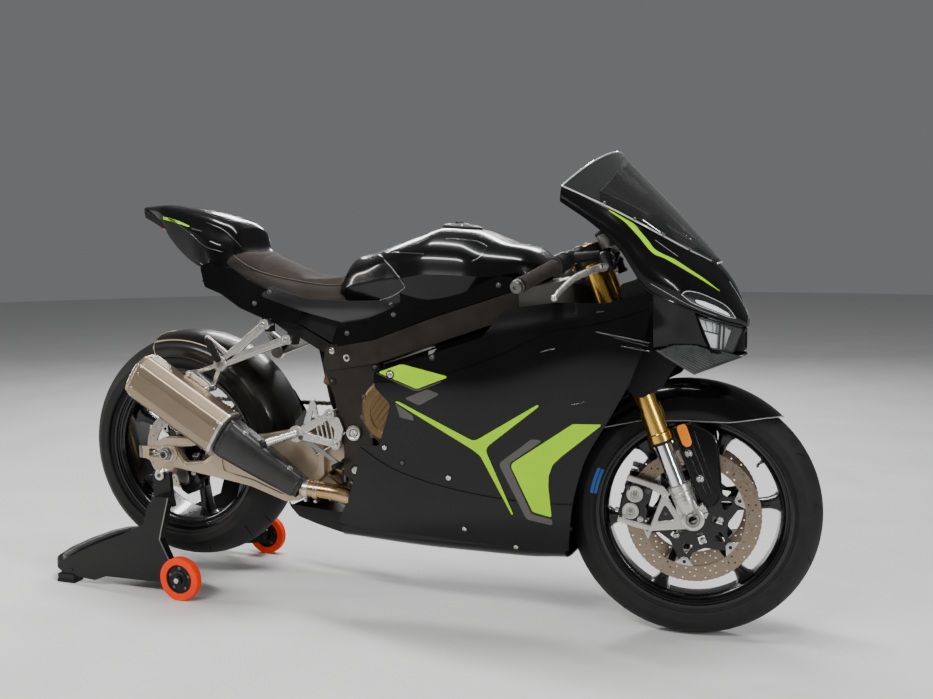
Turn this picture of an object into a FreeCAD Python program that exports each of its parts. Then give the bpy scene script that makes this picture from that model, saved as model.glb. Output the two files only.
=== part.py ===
import FreeCAD, Part
import math
import os

os.makedirs("parts", exist_ok=True)
V = FreeCAD.Vector

# ---------------------------------------------------------------- driving dimensions (mm)
# Bike frame while modelling: x forward from the rear axle, y to the rider's left, z up from
# the floor. Every finished piece is moved back by ORIGIN_X, so the origin is on the floor
# under the middle of the whole outline.
ORIGIN_X = 650.2
ORIGIN_Y = 16.145                        # the turned bars make the outline wider on the right
WHEELBASE = 1400.0
FRONT_R, FRONT_HALF_W = 300.0, 60.0      # 120/70-17
REAR_R, REAR_HALF_W = 315.0, 92.0        # 180/55-17
REAR_AXLE_Z = 377.0                      # lifted by the paddock stand
RAKE = 21.7                              # degrees, as it stands nose-down on the stand
TRAIL = 86.0
STEER_NOW = 8.3                          # degrees to the left, as photographed
FORK_HALF = 105.0                        # fork leg to centre plane
FORK_U = 27.0                            # fork legs ahead of the steering axis
AXLE_U = 31.0
AXLE_R, AXLE_BORE_R = 12.5, 9.5
RUN_FIT = 0.06                           # radial clearance of a running fit
OUTER_TUBE_R, INNER_TUBE_R = 26.0, 20.5
DISC_Y, DISC_T, DISC_R = 72.0, 5.0, 157.0
REAR_DISC_R = 110.0
CHAIN_Y, CHAIN_W = 106.0, 15.0
SKIN = 3.0                               # fairing wall
STAND_WHEEL_R, STAND_HALF, STAND_WHEEL_X = 58.5, 224.0, 83.0

SR, CR = math.sin(math.radians(RAKE)), math.cos(math.radians(RAKE))
AXIS = V(-SR, 0, CR)                     # steering axis, pointing up
FWD = V(CR, 0, SR)                       # square to it, pointing forward
GROUND = V(WHEELBASE + TRAIL, 0, 0)      # where the steering axis meets the floor


def steer_xyz(t, u, y):
    """t along the steering axis from the floor, u ahead of it, y to the left."""
    return GROUND + AXIS * t + FWD * u + V(0, y, 0)


FRONT_AXLE_T = (300.0 - AXLE_U * SR) / CR
_c = steer_xyz(FRONT_AXLE_T, AXLE_U, 0)
# with the wheel steered, the lowest point of the tyre has to be at the floor
_camber = math.asin(math.sin(math.radians(STEER_NOW)) * SR)
_crown = 65.6
_drop = AXLE_U * SR * (1 - math.cos(math.radians(STEER_NOW)))
FRONT_AXLE_DZ = FRONT_R - (FRONT_R - _crown) * (1 - math.cos(_camber)) - (_c.z - _drop)
FRONT_C = V(_c.x, 0, _c.z + FRONT_AXLE_DZ)
REAR_C = V(0, 0, REAR_AXLE_Z)


# ---------------------------------------------------------------- helpers
def face(pts):
    return Part.Face(Part.makePolygon(list(pts) + [pts[0]]))


def side_prism(xz, y0, y1):
    """Side-view outline [(x, z)] between two planes of constant y."""
    return face([V(x, y0, z) for x, z in xz]).extrude(V(0, y1 - y0, 0))


def local_prism(tu, y0, y1):
    """Outline in the steering group's (t, u) plane between two y planes."""
    return face([steer_xyz(t, u, y0) for t, u in tu]).extrude(V(0, y1 - y0, 0))


def cyl(p, d, r, h):
    return Part.makeCylinder(r, h, p, d)


def rod(a, b, r):
    return Part.makeCylinder(r, (b - a).Length, a, b - a)


def y_cyl(x, z, y0, y1, r):
    return Part.makeCylinder(r, y1 - y0, V(x, y0, z), V(0, 1, 0))


def box(x0, x1, y0, y1, z0, z1):
    return Part.makeBox(x1 - x0, y1 - y0, z1 - z0, V(x0, y0, z0))


def mirror(s):
    return s.mirror(V(0, 0, 0), V(0, 1, 0))


def fuse(items):
    s = items[0]
    if len(items) > 1:
        s = s.multiFuse(items[1:])
    return s.removeSplitter()


def spin(profile, centre, y_shift=0.0):
    """Turned shape: profile [(y, r)] revolved about the wheel's own axle line."""
    pts = [V(centre.x, y + y_shift, centre.z + r) for y, r in profile]
    return face(pts).revolve(centre, V(0, 1, 0), 360)


def ring(centre, y0, y1, r0, r1):
    s = y_cyl(centre.x, centre.z, y0, y1, r1)
    return s.cut(y_cyl(centre.x, centre.z, y0 - 1, y1 + 1, r0))


def strut(p, q, w, t, y0=None):
    """Flat bar with round ends between two side-view points (x, z), w wide, from y0 to y0+t."""
    a, b = V(p[0], 0, p[1]), V(q[0], 0, q[1])
    d = b - a
    n = V(-d.z, 0, d.x).normalize() * (w / 2)
    body = face([a + n + V(0, y0, 0), b + n + V(0, y0, 0), b - n + V(0, y0, 0), a - n + V(0, y0, 0)]).extrude(V(0, t, 0))
    return fuse([body, y_cyl(p[0], p[1], y0, y0 + t, w / 2), y_cyl(q[0], q[1], y0, y0 + t, w / 2)])


def loft(sections, ruled=True):
    return Part.makeLoft([Part.makePolygon(s + [s[0]]) for s in sections], True, ruled)


def half_body(table):
    """Solid symmetric about y = 0. Each row: x, then right-half points (half width, z) from the
    top centre down to the bottom centre."""
    secs = []
    for x, pts in table:
        right = [V(x, -w, z) for w, z in pts]
        left = [V(x, w, z) for w, z in reversed(pts) if w > 0]
        secs.append(right + left)
    return loft(secs)


def offset_line(pts, d):
    """Polyline [(a, b)] moved by d to the right-hand side of its direction, mitred."""
    out = []
    n = len(pts)
    for i in range(n):
        def nrm(p, q):
            dx, dz = q[0] - p[0], q[1] - p[1]
            l = math.hypot(dx, dz)
            return (dz / l, -dx / l)
        ns = []
        if i > 0:
            ns.append(nrm(pts[i - 1], pts[i]))
        if i < n - 1:
            ns.append(nrm(pts[i], pts[i + 1]))
        mx, mz = sum(v[0] for v in ns) / len(ns), sum(v[1] for v in ns) / len(ns)
        k = d / max(mx * mx + mz * mz, 0.4)
        out.append((pts[i][0] + mx * k, pts[i][1] + mz * k))
    return out


def skin_sections(table, t=SKIN, side=1):
    """Thin wall: each row is x, [(y, z) ...] of the outer line; the wall lies on one side."""
    secs = []
    for x, pts in table:
        inner = offset_line(pts, t * side)
        secs.append([V(x, y, z) for y, z in pts] + [V(x, y, z) for y, z in reversed(inner)])
    return loft(secs)


def hexa(a, b):
    """Solid between two four-cornered ends whose corners need not lie in one plane."""
    q = [(a[0], a[1], a[2], a[3]), (b[3], b[2], b[1], b[0])]
    q += [(a[i], b[i], b[(i + 1) % 4], a[(i + 1) % 4]) for i in range(4)]
    tri = []
    for c in q:
        tri += [face([c[0], c[1], c[2]]), face([c[0], c[2], c[3]])]
    s = Part.Solid(Part.Shell(tri))
    if s.Volume < 0:
        s.reverse()
    return s


def mitred(path, r, n=12):
    """Tube of n flat sides along a path, mitred at each corner."""
    d = [(path[i + 1] - path[i]).normalize() for i in range(len(path) - 1)]
    a = d[0].cross(V(0, 0, 1)).normalize()
    b = d[0].cross(a).normalize()
    rings = [[path[0] + a * (r * math.cos(2 * math.pi * k / n)) + b * (r * math.sin(2 * math.pi * k / n)) for k in range(n)]]
    for i in range(1, len(path)):
        nn = d[-1] if i == len(path) - 1 else (d[i - 1] + d[i]).normalize()
        rings.append([p + d[i - 1] * ((path[i] - p).dot(nn) / d[i - 1].dot(nn)) for p in rings[-1]])
    fs = [face(rings[0]), face(rings[-1][::-1])]
    for i in range(len(rings) - 1):
        for k in range(n):
            j = (k + 1) % n
            fs.append(face([rings[i][k], rings[i + 1][k], rings[i + 1][j], rings[i][j]]))
    s = Part.Solid(Part.Shell(fs))
    if s.Volume < 0:
        s.reverse()
    return s


nodes = {}
steered = set()                          # nodes that turn with the handlebars


# ---------------------------------------------------------------- wheels
def tyre(centre, R, half_w, bead_w):
    """Closed ring: bead to sidewall, one crown arc over the top, flat inside on the rim."""
    shoulder = R - (38.0 if half_w < 80 else 52.0)
    p = lambda y, r: V(centre.x, y, centre.z + r)
    e = [Part.makeLine(p(-bead_w, 219), p(-bead_w, 229)),
         Part.Arc(p(-bead_w, 229), p(-half_w + 1.5, (229 + shoulder) / 2.0), p(-half_w, shoulder)).toShape(),
         Part.Arc(p(-half_w, shoulder), p(0, R), p(half_w, shoulder)).toShape(),
         Part.Arc(p(half_w, shoulder), p(half_w - 1.5, (229 + shoulder) / 2.0), p(bead_w, 229)).toShape(),
         Part.makeLine(p(bead_w, 229), p(bead_w, 219)),
         Part.makeLine(p(bead_w, 219), p(-bead_w, 219))]
    return Part.Face(Part.Wire(e)).revolve(centre, V(0, 1, 0), 360)


def rim(centre, bead_w, flange_w, hub_r, hub_w, first_angle, hub_bore):
    """Flanged barrel, hub with a through bore and six slim tapered spokes."""
    b, f = bead_w, flange_w
    barrel = spin([(-f, 232), (-b, 232), (-b, 219), (b, 219), (b, 232), (f, 232),
                   (f, 222), (b - 8, 208), (b - 20, 202), (20 - b, 202), (8 - b, 208), (-f, 222)], centre)
    hub = y_cyl(centre.x, centre.z, -hub_w, hub_w, hub_r)
    arms = []
    for k in range(6):
        # columns: radius, half width along the rim, half width across
        secs = []
        for r, wt, wy in ((hub_r - 8, 17.0, 24.0), (110, 10.5, 17.0), (205, 14.5, 20.0)):
            secs.append([V(r, -wy, -wt), V(r, wy, -wt), V(r, wy, wt), V(r, -wy, wt)])
        arm = loft(secs)
        arm.rotate(V(0, 0, 0), V(0, 1, 0), -(first_angle + 60.0 * k))
        arm.translate(centre)
        arms.append(arm)
    s = fuse([barrel, hub] + arms)
    return s.cut(y_cyl(centre.x, centre.z, -hub_w - 5, hub_w + 5, hub_bore))


def brake_disc(centre, y, R, band, carrier_r, hub_r, t=DISC_T, arms=6):
    parts = [ring(centre, y - t / 2, y + t / 2, R - band, R),
             ring(centre, y - t / 2, y + t / 2, hub_r, carrier_r)]
    for k in range(arms):
        a = math.radians(30 + 360.0 / arms * k)
        d, n = V(math.cos(a), 0, math.sin(a)), V(-math.sin(a), 0, math.cos(a))
        c = V(centre.x, y - t / 2, centre.z)
        q = [c + d * (carrier_r - 4) - n * 12, c + d * (R - band + 4) - n * 9,
             c + d * (R - band + 4) + n * 9, c + d * (carrier_r - 4) + n * 12]
        parts.append(face(q).extrude(V(0, t, 0)))
    return fuse(parts)


nodes["front_tyre"] = tyre(FRONT_C, FRONT_R, FRONT_HALF_W, 46.0)
nodes["front_rim"] = rim(FRONT_C, 46.0, 51.0, 36.0, 62.0, 8.0, AXLE_R + RUN_FIT)
discs = []
for s in (-1, 1):
    d = brake_disc(FRONT_C, s * DISC_Y, DISC_R, 36.0, 82.0, 37.0)
    collar = ring(FRONT_C, min(s * 62, s * (DISC_Y + 2.5)), max(s * 62, s * (DISC_Y + 2.5)), 22.0, 44.0)
    discs.append(fuse([d, collar]))
nodes["front_discs"] = Part.makeCompound(discs)

nodes["rear_tyre"] = tyre(REAR_C, REAR_R, REAR_HALF_W, 72.0)
nodes["rear_rim"] = rim(REAR_C, 72.0, 77.0, 42.0, 66.0, -22.0, AXLE_R + RUN_FIT)
nodes["rear_disc"] = fuse([brake_disc(REAR_C, -82.0, REAR_DISC_R, 30.0, 52.0, 30.0),
                           ring(REAR_C, -84.5, -66.0, 22.0, 44.0)])
teeth = 43
pts = []
for i in range(teeth * 2):
    a = math.pi * i / teeth
    r = 104.0 if i % 2 == 0 else 98.0
    pts.append(V(r * math.cos(a), CHAIN_Y - 3.5, REAR_AXLE_Z + r * math.sin(a)))
sprocket = face(pts).extrude(V(0, 7, 0))
sprocket = sprocket.cut(y_cyl(0, REAR_AXLE_Z, 90, 120, 46))
for k in range(6):
    a = math.radians(60 * k)
    sprocket = sprocket.cut(y_cyl(72 * math.cos(a), REAR_AXLE_Z + 72 * math.sin(a), 90, 120, 12))
nodes["rear_sprocket"] = fuse([sprocket, ring(REAR_C, 66.0, CHAIN_Y + 3.5, 22.0, 56.0)])

# ---------------------------------------------------------------- steering group (built straight)
FRONT = []


def steering(name, s):
    nodes[name] = s
    steered.add(name)


ends = (-1, 1)
outer, inner, lugs = [], [], []
LOCK_T, OUTER_LOW, OUTER_TOP = 383.0, 512.0, 992.0
for s in ends:
    y = s * FORK_HALF
    o = fuse([cyl(steer_xyz(OUTER_LOW, FORK_U, y), AXIS, OUTER_TUBE_R, OUTER_TOP - OUTER_LOW),
              cyl(steer_xyz(OUTER_LOW - 10, FORK_U, y), AXIS, OUTER_TUBE_R + 2, 22.0)])
    bore = cyl(steer_xyz(OUTER_LOW - 20, FORK_U, y), AXIS, INNER_TUBE_R, 160.0)
    outer.append(o.cut(bore))
    inner.append(cyl(steer_xyz(LOCK_T, FORK_U, y), AXIS, INNER_TUBE_R, 250.0))
    lug = [cyl(steer_xyz(LOCK_T - 62, FORK_U + 1, y), AXIS, 25.0, 72.0),
           y_cyl(FRONT_C.x, FRONT_C.z, y - 22, y + 22, 27.0),
           local_prism([(LOCK_T + 2, FORK_U + 26), (LOCK_T + 2, FORK_U - 20), (LOCK_T - 80, FORK_U - 20), (LOCK_T - 80, FORK_U + 26)],
                       y - 16, y + 16)]
    # radial caliper bracket behind the leg
    y0, y1 = (y - 6, y + 8) if s < 0 else (y - 8, y + 6)
    lug.append(local_prism([(395, 15), (452, -52), (447, -70), (420, -66), (372, -88), (318, -92), (303, -80), (300, 20)], y0, y1))
    l = fuse(lug)
    l = l.cut(cyl(steer_xyz(LOCK_T, FORK_U, y), AXIS, INNER_TUBE_R, 80.0))
    l = l.cut(y_cyl(FRONT_C.x, FRONT_C.z, y - 40, y + 40, AXLE_R))
    lugs.append(l)

# front calipers, straddling each disc behind the fork leg
cal = []
ang = math.radians(168.0)
rd, tg = V(math.cos(ang), 0, math.sin(ang)), V(-math.sin(ang), 0, math.cos(ang))
for s in ends:
    def cq(rt):
        return [V(FRONT_C.x, 0, FRONT_C.z) + rd * r + tg * q for r, q in rt]
    outline = cq([(100, -50), (100, 50), (150, 58), (171, 40), (171, -40), (150, -58)])
    lo, hi = (-118, -50) if s < 0 else (50, 118)
    b = face([p + V(0, lo, 0) for p in outline]).extrude(V(0, hi - lo, 0))
    slot = ring(FRONT_C, min(s * 64.0, s * 80.0), max(s * 64.0, s * 80.0), 30.0, 163.0)
    b = b.cut(slot)
    for q in (-21, 21):                   # piston bosses
        c = V(FRONT_C.x, 0, FRONT_C.z) + rd * 134 + tg * q
        b = b.fuse(y_cyl(c.x, c.z, min(s * 116, s * 121), max(s * 116, s * 121), 17))
    cal.append(b.removeSplitter())
lugs = [l.cut(c) for l, c in zip(lugs, cal)]
steering("fork_outer_tubes", Part.makeCompound(outer))
steering("fork_inner_tubes", Part.makeCompound(inner))
steering("fork_lugs", Part.makeCompound(lugs))
steering("front_calipers", Part.makeCompound(cal))

axle = y_cyl(FRONT_C.x, FRONT_C.z, -131, 131, AXLE_R)
for s in ends:
    axle = axle.fuse(y_cyl(FRONT_C.x, FRONT_C.z, min(s * 127, s * 135), max(s * 127, s * 135), 17.0))
    # spacer between the wheel hub and the fork lug
    axle = axle.fuse(y_cyl(FRONT_C.x, FRONT_C.z, min(s * 62.5, s * 83), max(s * 62.5, s * 83), 17.0))
steering("front_axle", axle.removeSplitter().cut(y_cyl(FRONT_C.x, FRONT_C.z, -140, 140, AXLE_BORE_R)))

# triple clamps with the steering stem
clamps = []
for t0, h in ((690.0, 32.0), (946.0, 20.0)):
    plate = local_prism_pts = None
    pl = []
    for dt in (0,):
        pl = [steer_xyz(t0, u, y) for u, y in ((52, -105), (38, -50), (30, 0), (38, 50), (52, 105),
                                               (2, 105), (-22, 45), (-26, 0), (-22, -45), (2, -105))]
    plate = face(pl).extrude(AXIS * h)
    parts = [plate]
    for s in ends:
        parts.append(cyl(steer_xyz(t0, FORK_U, s * FORK_HALF), AXIS, 35.0, h))
    parts.append(cyl(steer_xyz(t0, 0, 0), AXIS, 27.0, h))
    c = fuse(parts)
    for s in ends:
        c = c.cut(cyl(steer_xyz(t0 - 5, FORK_U, s * FORK_HALF), AXIS, OUTER_TUBE_R, h + 10))
    clamps.append(c)
stem = cyl(steer_xyz(690, 0, 0), AXIS, 15.0, 286.0)
steering("triple_clamps", fuse(clamps + [stem, cyl(steer_xyz(966, 0, 0), AXIS, 18.0, 10.0)]))

# clip-on handlebars: collar on each fork leg, bar swept back 30 degrees and down
BAR_T, BAR_SWEEP, BAR_DROP = 985.0, math.tan(math.radians(30)), 0.150


def bar_point(d, s):
    """Point on the bar's centre line, d outboard of the fork leg."""
    return steer_xyz(BAR_T - BAR_DROP * d, FORK_U - BAR_SWEEP * d, s * (FORK_HALF + d))


bars, grips, levers = [], [], []
for s in ends:
    collar = cyl(steer_xyz(968, FORK_U, s * FORK_HALF), AXIS, 33.0, 22.0)
    b = fuse([collar, rod(bar_point(10, s), bar_point(250, s), 11.0)])
    bars.append(b.cut(cyl(steer_xyz(960, FORK_U, s * FORK_HALF), AXIS, OUTER_TUBE_R, 40)))
    g = rod(bar_point(125, s), bar_point(245, s), 16.5).fuse(rod(bar_point(122, s), bar_point(126, s), 21.0))
    g = g.cut(rod(bar_point(100, s), bar_point(250, s), 11.0))
    grips.append(g.removeSplitter())
    # bar-end weight
    bars[-1] = bars[-1].fuse(rod(bar_point(246, s), bar_point(262, s), 15.0))
    # switch housing, master cylinder, reservoir and lever
    house = rod(bar_point(82, s), bar_point(119, s), 22.0)
    clampb = rod(bar_point(62, s), bar_point(80, s), 17.0)
    d = steer_xyz(955, 60, s * 165)
    body = rod(bar_point(70, s), d, 13.0)
    cylm = rod(steer_xyz(955, 42, s * 135), steer_xyz(945, 66, s * 190), 14.0)
    pivot = cyl(steer_xyz(915, 66, s * 178), AXIS, 13.0, 36.0)
    res = cyl(steer_xyz(965, 78, s * 142), AXIS, 21.0, 44.0)
    arm = cyl(steer_xyz(948, 60, s * 145), V(*(steer_xyz(975, 76, s * 142) - steer_xyz(948, 60, s * 145))), 8.0, 30.0)
    # blade points: (t, u, y)
    bl = [steer_xyz(926, 62, s * 182), steer_xyz(928, 20, s * 222), steer_xyz(924, -10, s * 256), steer_xyz(908, -42, s * 300), steer_xyz(896, -58, s * 330)]
    blade = [rod(bl[i], bl[i + 1], 5.5) for i in range(4)] + [Part.makeSphere(5.5, p) for p in bl[1:4]] + [Part.makeSphere(8.0, bl[4])]
    levers.append(fuse([house, clampb, body, cylm, pivot, res, arm] + blade).cut(rod(bar_point(40, s), bar_point(130, s), 11.0)))
steering("handlebars", Part.makeCompound(bars))
steering("handlebar_grips", Part.makeCompound(grips))
steering("control_levers", Part.makeCompound(levers))

# front fender: arched skin with side skirts between the fork legs
FEND_HALF = 74.0
FEND_C = FRONT_C + V(-13.4, 0, 2.5)
prof_out = [(-FEND_HALF, 221), (-FEND_HALF, 278), (-58, 297), (-30, 312), (0, 317), (30, 312), (58, 297), (FEND_HALF, 278), (FEND_HALF, 221)]
prof_in = offset_line(prof_out, 3.0)
prof = [V(FEND_C.x, y, FEND_C.z + r) for y, r in prof_out + list(reversed(prof_in))]
fender = face(prof)
fender.rotate(FEND_C, V(0, 1, 0), 43.5)          # front tip, degrees ahead of straight up
fender = fender.revolve(FEND_C, V(0, 1, 0), -92.0)
keep = side_prism([(1640, 536), (1640, 700), (1100, 700), (1100, 480), (1270, 520), (1350, 522), (1480, 522), (1560, 534)], -90, 90)
fender = fender.common(keep)
steering("front_fender", fender)

guards = []
for s in ends:
    y0, y1 = (-97, -82) if s < 0 else (82, 97)
    g = local_prism([(508, 58), (506, 118), (458, 157), (326, 112), (316, 78), (330, 60), (420, 57)], y0, y1)
    guards.append(g)
steering("fork_guards", Part.makeCompound(guards))

# ---------------------------------------------------------------- main frame
# spar sections: x, inner |y|, outer |y|, z low, z high
SPAR = ((498, 126, 162, 618, 688), (640, 132, 170, 641, 716), (800, 136, 172, 695, 775), (935, 130, 168, 741, 818),
        (1010, 100, 158, 764, 842), (1100, 40, 90, 742, 862), (1160, 4, 56, 706, 846))
PIVOT = (575.0, 470.0)
frame_parts = []
for s in ends:
    secs = [[V(x, s * a, z0), V(x, s * b, z0 + 8), V(x, s * b, z1 - 8), V(x, s * a, z1)] for x, a, b, z0, z1 in SPAR]
    frame_parts.append(loft(secs))
    y0, y1 = (-160, -128) if s < 0 else (128, 160)
    frame_parts.append(side_prism([(500, 686), (560, 700), (645, 662), (652, 600), (622, 520), (626, 420), (604, 360), (570, 345), (542, 360), (545, 420), (520, 560), (488, 640)], y0, y1))
frame_parts.append(rod(steer_xyz(728, 0, 0), steer_xyz(912, 0, 0), 32.0))
for x, z, r in ((560, 660, 18), (576, 374, 16)):
    frame_parts.append(y_cyl(x, z, -140, 140, r))
main = fuse(frame_parts)
main = main.cut(cyl(steer_xyz(700, 0, 0), AXIS, 15.0 + RUN_FIT, 240))
main = main.cut(y_cyl(PIVOT[0], PIVOT[1], -200, 200, 12.0))
nodes["main_frame"] = main

# swingarm pivot shaft with its two end caps
nodes["swingarm_pivot"] = fuse([y_cyl(PIVOT[0], PIVOT[1], -166, 166, 12.0), y_cyl(PIVOT[0], PIVOT[1], -170, -160, 20.0), y_cyl(PIVOT[0], PIVOT[1], 160, 170, 20.0)])

sub = []
for s in ends:
    y0, y1 = (-118, -104) if s < 0 else (104, 118)
    sub.append(side_prism([(528, 700), (548, 740), (420, 770), (300, 806), (120, 866), (112, 846), (290, 776), (410, 735), (500, 690)], y0, y1))
    sub.append(side_prism([(500, 650), (520, 672), (300, 790), (286, 770), (300, 716), (322, 716), (322, 744), (366, 716), (366, 684), (392, 684), (396, 706)], y0, y1))
    sub.append(y_cyl(526, 690, min(s * 104, s * 134), max(s * 104, s * 134), 14))
sub.append(box(280, 300, -110, 110, 782, 800))
sub.append(box(150, 170, -110, 110, 836, 852))
nodes["subframe"] = fuse(sub)

# ---------------------------------------------------------------- engine and radiator
engine = fuse([
    side_prism([(600, 262), (930, 262), (968, 320), (960, 470), (900, 520), (612, 520), (640, 470), (640, 430), (612, 340)], -122, 122),
    side_prism([(700, 500), (900, 500), (1000, 690), (960, 728), (820, 728), (762, 660)], -118, 118),
    side_prism([(650, 300), (915, 300), (930, 330), (900, 470), (700, 500), (650, 430)], -165, 165),
    side_prism([(640, 262), (900, 262), (930, 330), (650, 330)], -145, 145)])
nodes["engine_block"] = engine
nodes["clutch_cover"] = fuse([y_cyl(691, 532, -184, -118, 88.0), y_cyl(691, 532, -191, -182, 80.0)]).cut(engine).cut(nodes["main_frame"])
nodes["clutch_cover"] = max(nodes["clutch_cover"].Solids, key=lambda q: q.Volume)
nodes["alternator_cover"] = fuse([y_cyl(800, 400, 165, 186, 70.0), y_cyl(706, 440, 165, 180, 58.0)])
nodes["radiator"] = fuse([side_prism([(1000, 300), (1034, 306), (1050, 640), (1018, 644)], -178, 178)])

# ---------------------------------------------------------------- swingarm and rear axle
# side view of each arm behind the frame plates; the pivot tube joins them between the plates
ARM = [(-88, 374), (-66, 356), (-34, 345), (-26, 316), (8, 314), (18, 340), (207, 313), (262, 304), (362, 272), (400, 277), (440, 316), (478, 350), (478, 488), (430, 474), (300, 446), (90, 424), (-14, 420), (-66, 394)]
ARM_WINDOW = [(22, 396), (76, 400), (112, 410), (138, 380), (112, 362), (52, 356)]
ARM_FRONT = [(420, 330), (478, 350), (560, 424), (606, 440), (610, 492), (566, 512), (478, 488), (420, 470)]
pivot_hole = y_cyl(PIVOT[0], PIVOT[1], -200, 200, 12.0)
for s, nm in ((-1, "swingarm_arm_right"), (1, "swingarm_arm_left")):
    y0, y1 = (-145, -119) if s < 0 else (124, 150)
    a = side_prism(ARM, y0, y1).cut(side_prism(ARM_WINDOW, y0 - 1, y1 + 1))
    a = a.fuse(side_prism(ARM_FRONT, min(s * 98.0, s * 126.0), max(s * 98.0, s * 126.0)))
    # stand spool below the axle
    a = a.fuse(y_cyl(-8, 322, min(s * 130, s * 176), max(s * 130, s * 176), 8.0))
    a = a.fuse(y_cyl(-8, 322, min(s * 171.5, s * 177), max(s * 171.5, s * 177), 14.0))
    nodes[nm] = a.cut(pivot_hole).cut(y_cyl(0, REAR_AXLE_Z, -200, 200, AXLE_R))
bridge = side_prism([(336, 300), (420, 306), (420, 420), (336, 430)], -121, 126)
for s in ends:
    bridge = bridge.fuse(side_prism([(345, 304), (470, 262), (480, 285), (420, 330)], min(s * 20, s * 34), max(s * 20, s * 34)))
nodes["swingarm_bridge"] = bridge.cut(nodes["swingarm_arm_right"]).cut(nodes["swingarm_arm_left"])
nodes["swingarm_cross_tube"] = y_cyl(PIVOT[0], PIVOT[1], -98, 98, 30.0).cut(pivot_hole)

ra = [y_cyl(0, REAR_AXLE_Z, -166, 166, AXLE_R)]
for s in ends:
    ra.append(y_cyl(0, REAR_AXLE_Z, min(s * (145 if s < 0 else 150), s * 160), max(s * (145 if s < 0 else 150), s * 160), 19.0))
ra.append(y_cyl(0, REAR_AXLE_Z, -119, -85.5, 17.0))
ra.append(y_cyl(0, REAR_AXLE_Z, CHAIN_Y + 4.5, 124, 17.0))
nodes["rear_axle"] = fuse(ra).cut(y_cyl(0, REAR_AXLE_Z, -180, 180, AXLE_BORE_R))

# rear shock: body and spring envelope between linkage and frame
nodes["rear_shock"] = fuse([rod(V(462, 0, 300), V(500, 0, 560), 12.0), rod(V(468, 0, 340), V(494, 0, 520), 31.0),
                            y_cyl(462, 282, -19.5, 19.5, 14.0), y_cyl(502, 572, -24, 24, 16.0), rod(V(462, 0, 282), V(464, 0, 310), 12.0)])

# rear caliper on the disc's lower front edge
cang = math.radians(-62.0)
crd, ctg = V(math.cos(cang), 0, math.sin(cang)), V(-math.sin(cang), 0, math.cos(cang))
co = [REAR_C + crd * r + ctg * q for r, q in ((62, -34), (62, 34), (104, 38), (124, 26), (124, -26), (104, -38))]
rc = face([p + V(0, -112, 0) for p in co]).extrude(V(0, 46, 0))
rc = rc.cut(ring(REAR_C, -90.0, -74.0, 20.0, REAR_DISC_R + 5))
rc = rc.fuse(strut((0, 377), (36, 300), 26, 8, -118.9).cut(y_cyl(0, REAR_AXLE_Z, -130, -100, 17.0)))
nodes["rear_caliper"] = rc.removeSplitter()

# ---------------------------------------------------------------- drive chain: one fixed loop
SPR_F, CH_R, CH_F = V(668, 0, 456), 113.0, 41.0


def belt(off, wide=0.0):
    dx, dz = SPR_F.x, SPR_F.z - REAR_AXLE_Z
    L = math.hypot(dx, dz)
    base = math.atan2(dz, dx)
    b = math.acos((CH_R - CH_F) / L)
    R, r = CH_R + off, CH_F + off
    p = lambda c, rr, a: V(c.x + rr * math.cos(a), CHAIN_Y - CHAIN_W / 2 - wide, c.z + rr * math.sin(a))
    e = [Part.Arc(p(REAR_C, R, base + b), p(REAR_C, R, base + math.pi), p(REAR_C, R, base - b)).toShape(),
         Part.makeLine(p(REAR_C, R, base - b), p(SPR_F, r, base - b)),
         Part.Arc(p(SPR_F, r, base - b), p(SPR_F, r, base), p(SPR_F, r, base + b)).toShape(),
         Part.makeLine(p(SPR_F, r, base + b), p(REAR_C, R, base + b))]
    return Part.Face(Part.Wire(e)).extrude(V(0, CHAIN_W + 2 * wide, 0))


nodes["drive_chain"] = belt(7.0).cut(belt(-7.0))

# ---------------------------------------------------------------- exhaust on the right
EX = [V(690, -60, 236), V(640, -92, 250), V(590, -132, 282), V(525, -166, 312), V(432, -180, 322)]
pipe = [mitred(EX, 21.0, 20)]
for k in range(3):                                        # header pipes under the engine front
    yy = -70 + 70 * k
    pipe.append(mitred([V(684, -60, 238), V(780, yy, 240), V(962, yy, 262), V(986, yy, 420), V(968, yy, 560)], 19.0 + 0.2 * k, 20))
pipe = fuse(pipe).cut(engine)
nodes["exhaust_pipe"] = max(pipe.Solids, key=lambda q: q.Volume)

S0, S1 = V(-30, -208, 605), V(224, -204, 452)             # silencer ends
sdir = (S1 - S0).normalize()
sy = V(0, 1, 0)
sy = (sy - sdir * sy.dot(sdir)).normalize()
sz = sdir.cross(sy)
if sz.z < 0:
    sz = sz * -1
secs = []
for k, sc in ((0.0, 0.93), (14.0, 1.0), (300.0, 1.0), ((S1 - S0).Length, 0.80)):
    c = S0 + sdir * k
    # hexagonal section with softened corners: columns across, up
    secs.append([c + sy * (a * sc) + sz * (b * sc) for a, b in
                 ((-50, -22), (-46, -42), (-20, -62), (20, -62), (46, -42), (50, -22), (50, 22), (46, 42), (20, 62), (-20, 62), (-46, 42), (-50, 22))])
sil = loft(secs)
sil = sil.cut(Part.makeCylinder(26.0, 60.0, S0 - sdir * 5, sdir))
nodes["silencer"] = sil
cone_end = EX[4]
cdir = (cone_end - S1).normalize()
cy = (V(0, 1, 0) - cdir * cdir.y).normalize()
cz = cdir.cross(cy)
if cz.z < 0:
    cz = cz * -1
csecs = []
for k, a_, b_ in ((0.0, 38.0, 54.0), (0.45, 34.0, 44.0), (1.0, 24.0, 29.0)):
    c = S1 + (cone_end - S1) * k
    csecs.append([c + cy * (a_ * a) + cz * (b_ * b) for a, b in ((-1, -0.4), (-0.5, -1), (0.5, -1), (1, -0.4), (1, 0.4), (0.5, 1), (-0.5, 1), (-1, 0.4))])
cone = loft(csecs).cut(sil)
nodes["heat_shield"] = max(cone.Solids, key=lambda q: q.Volume)
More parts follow.
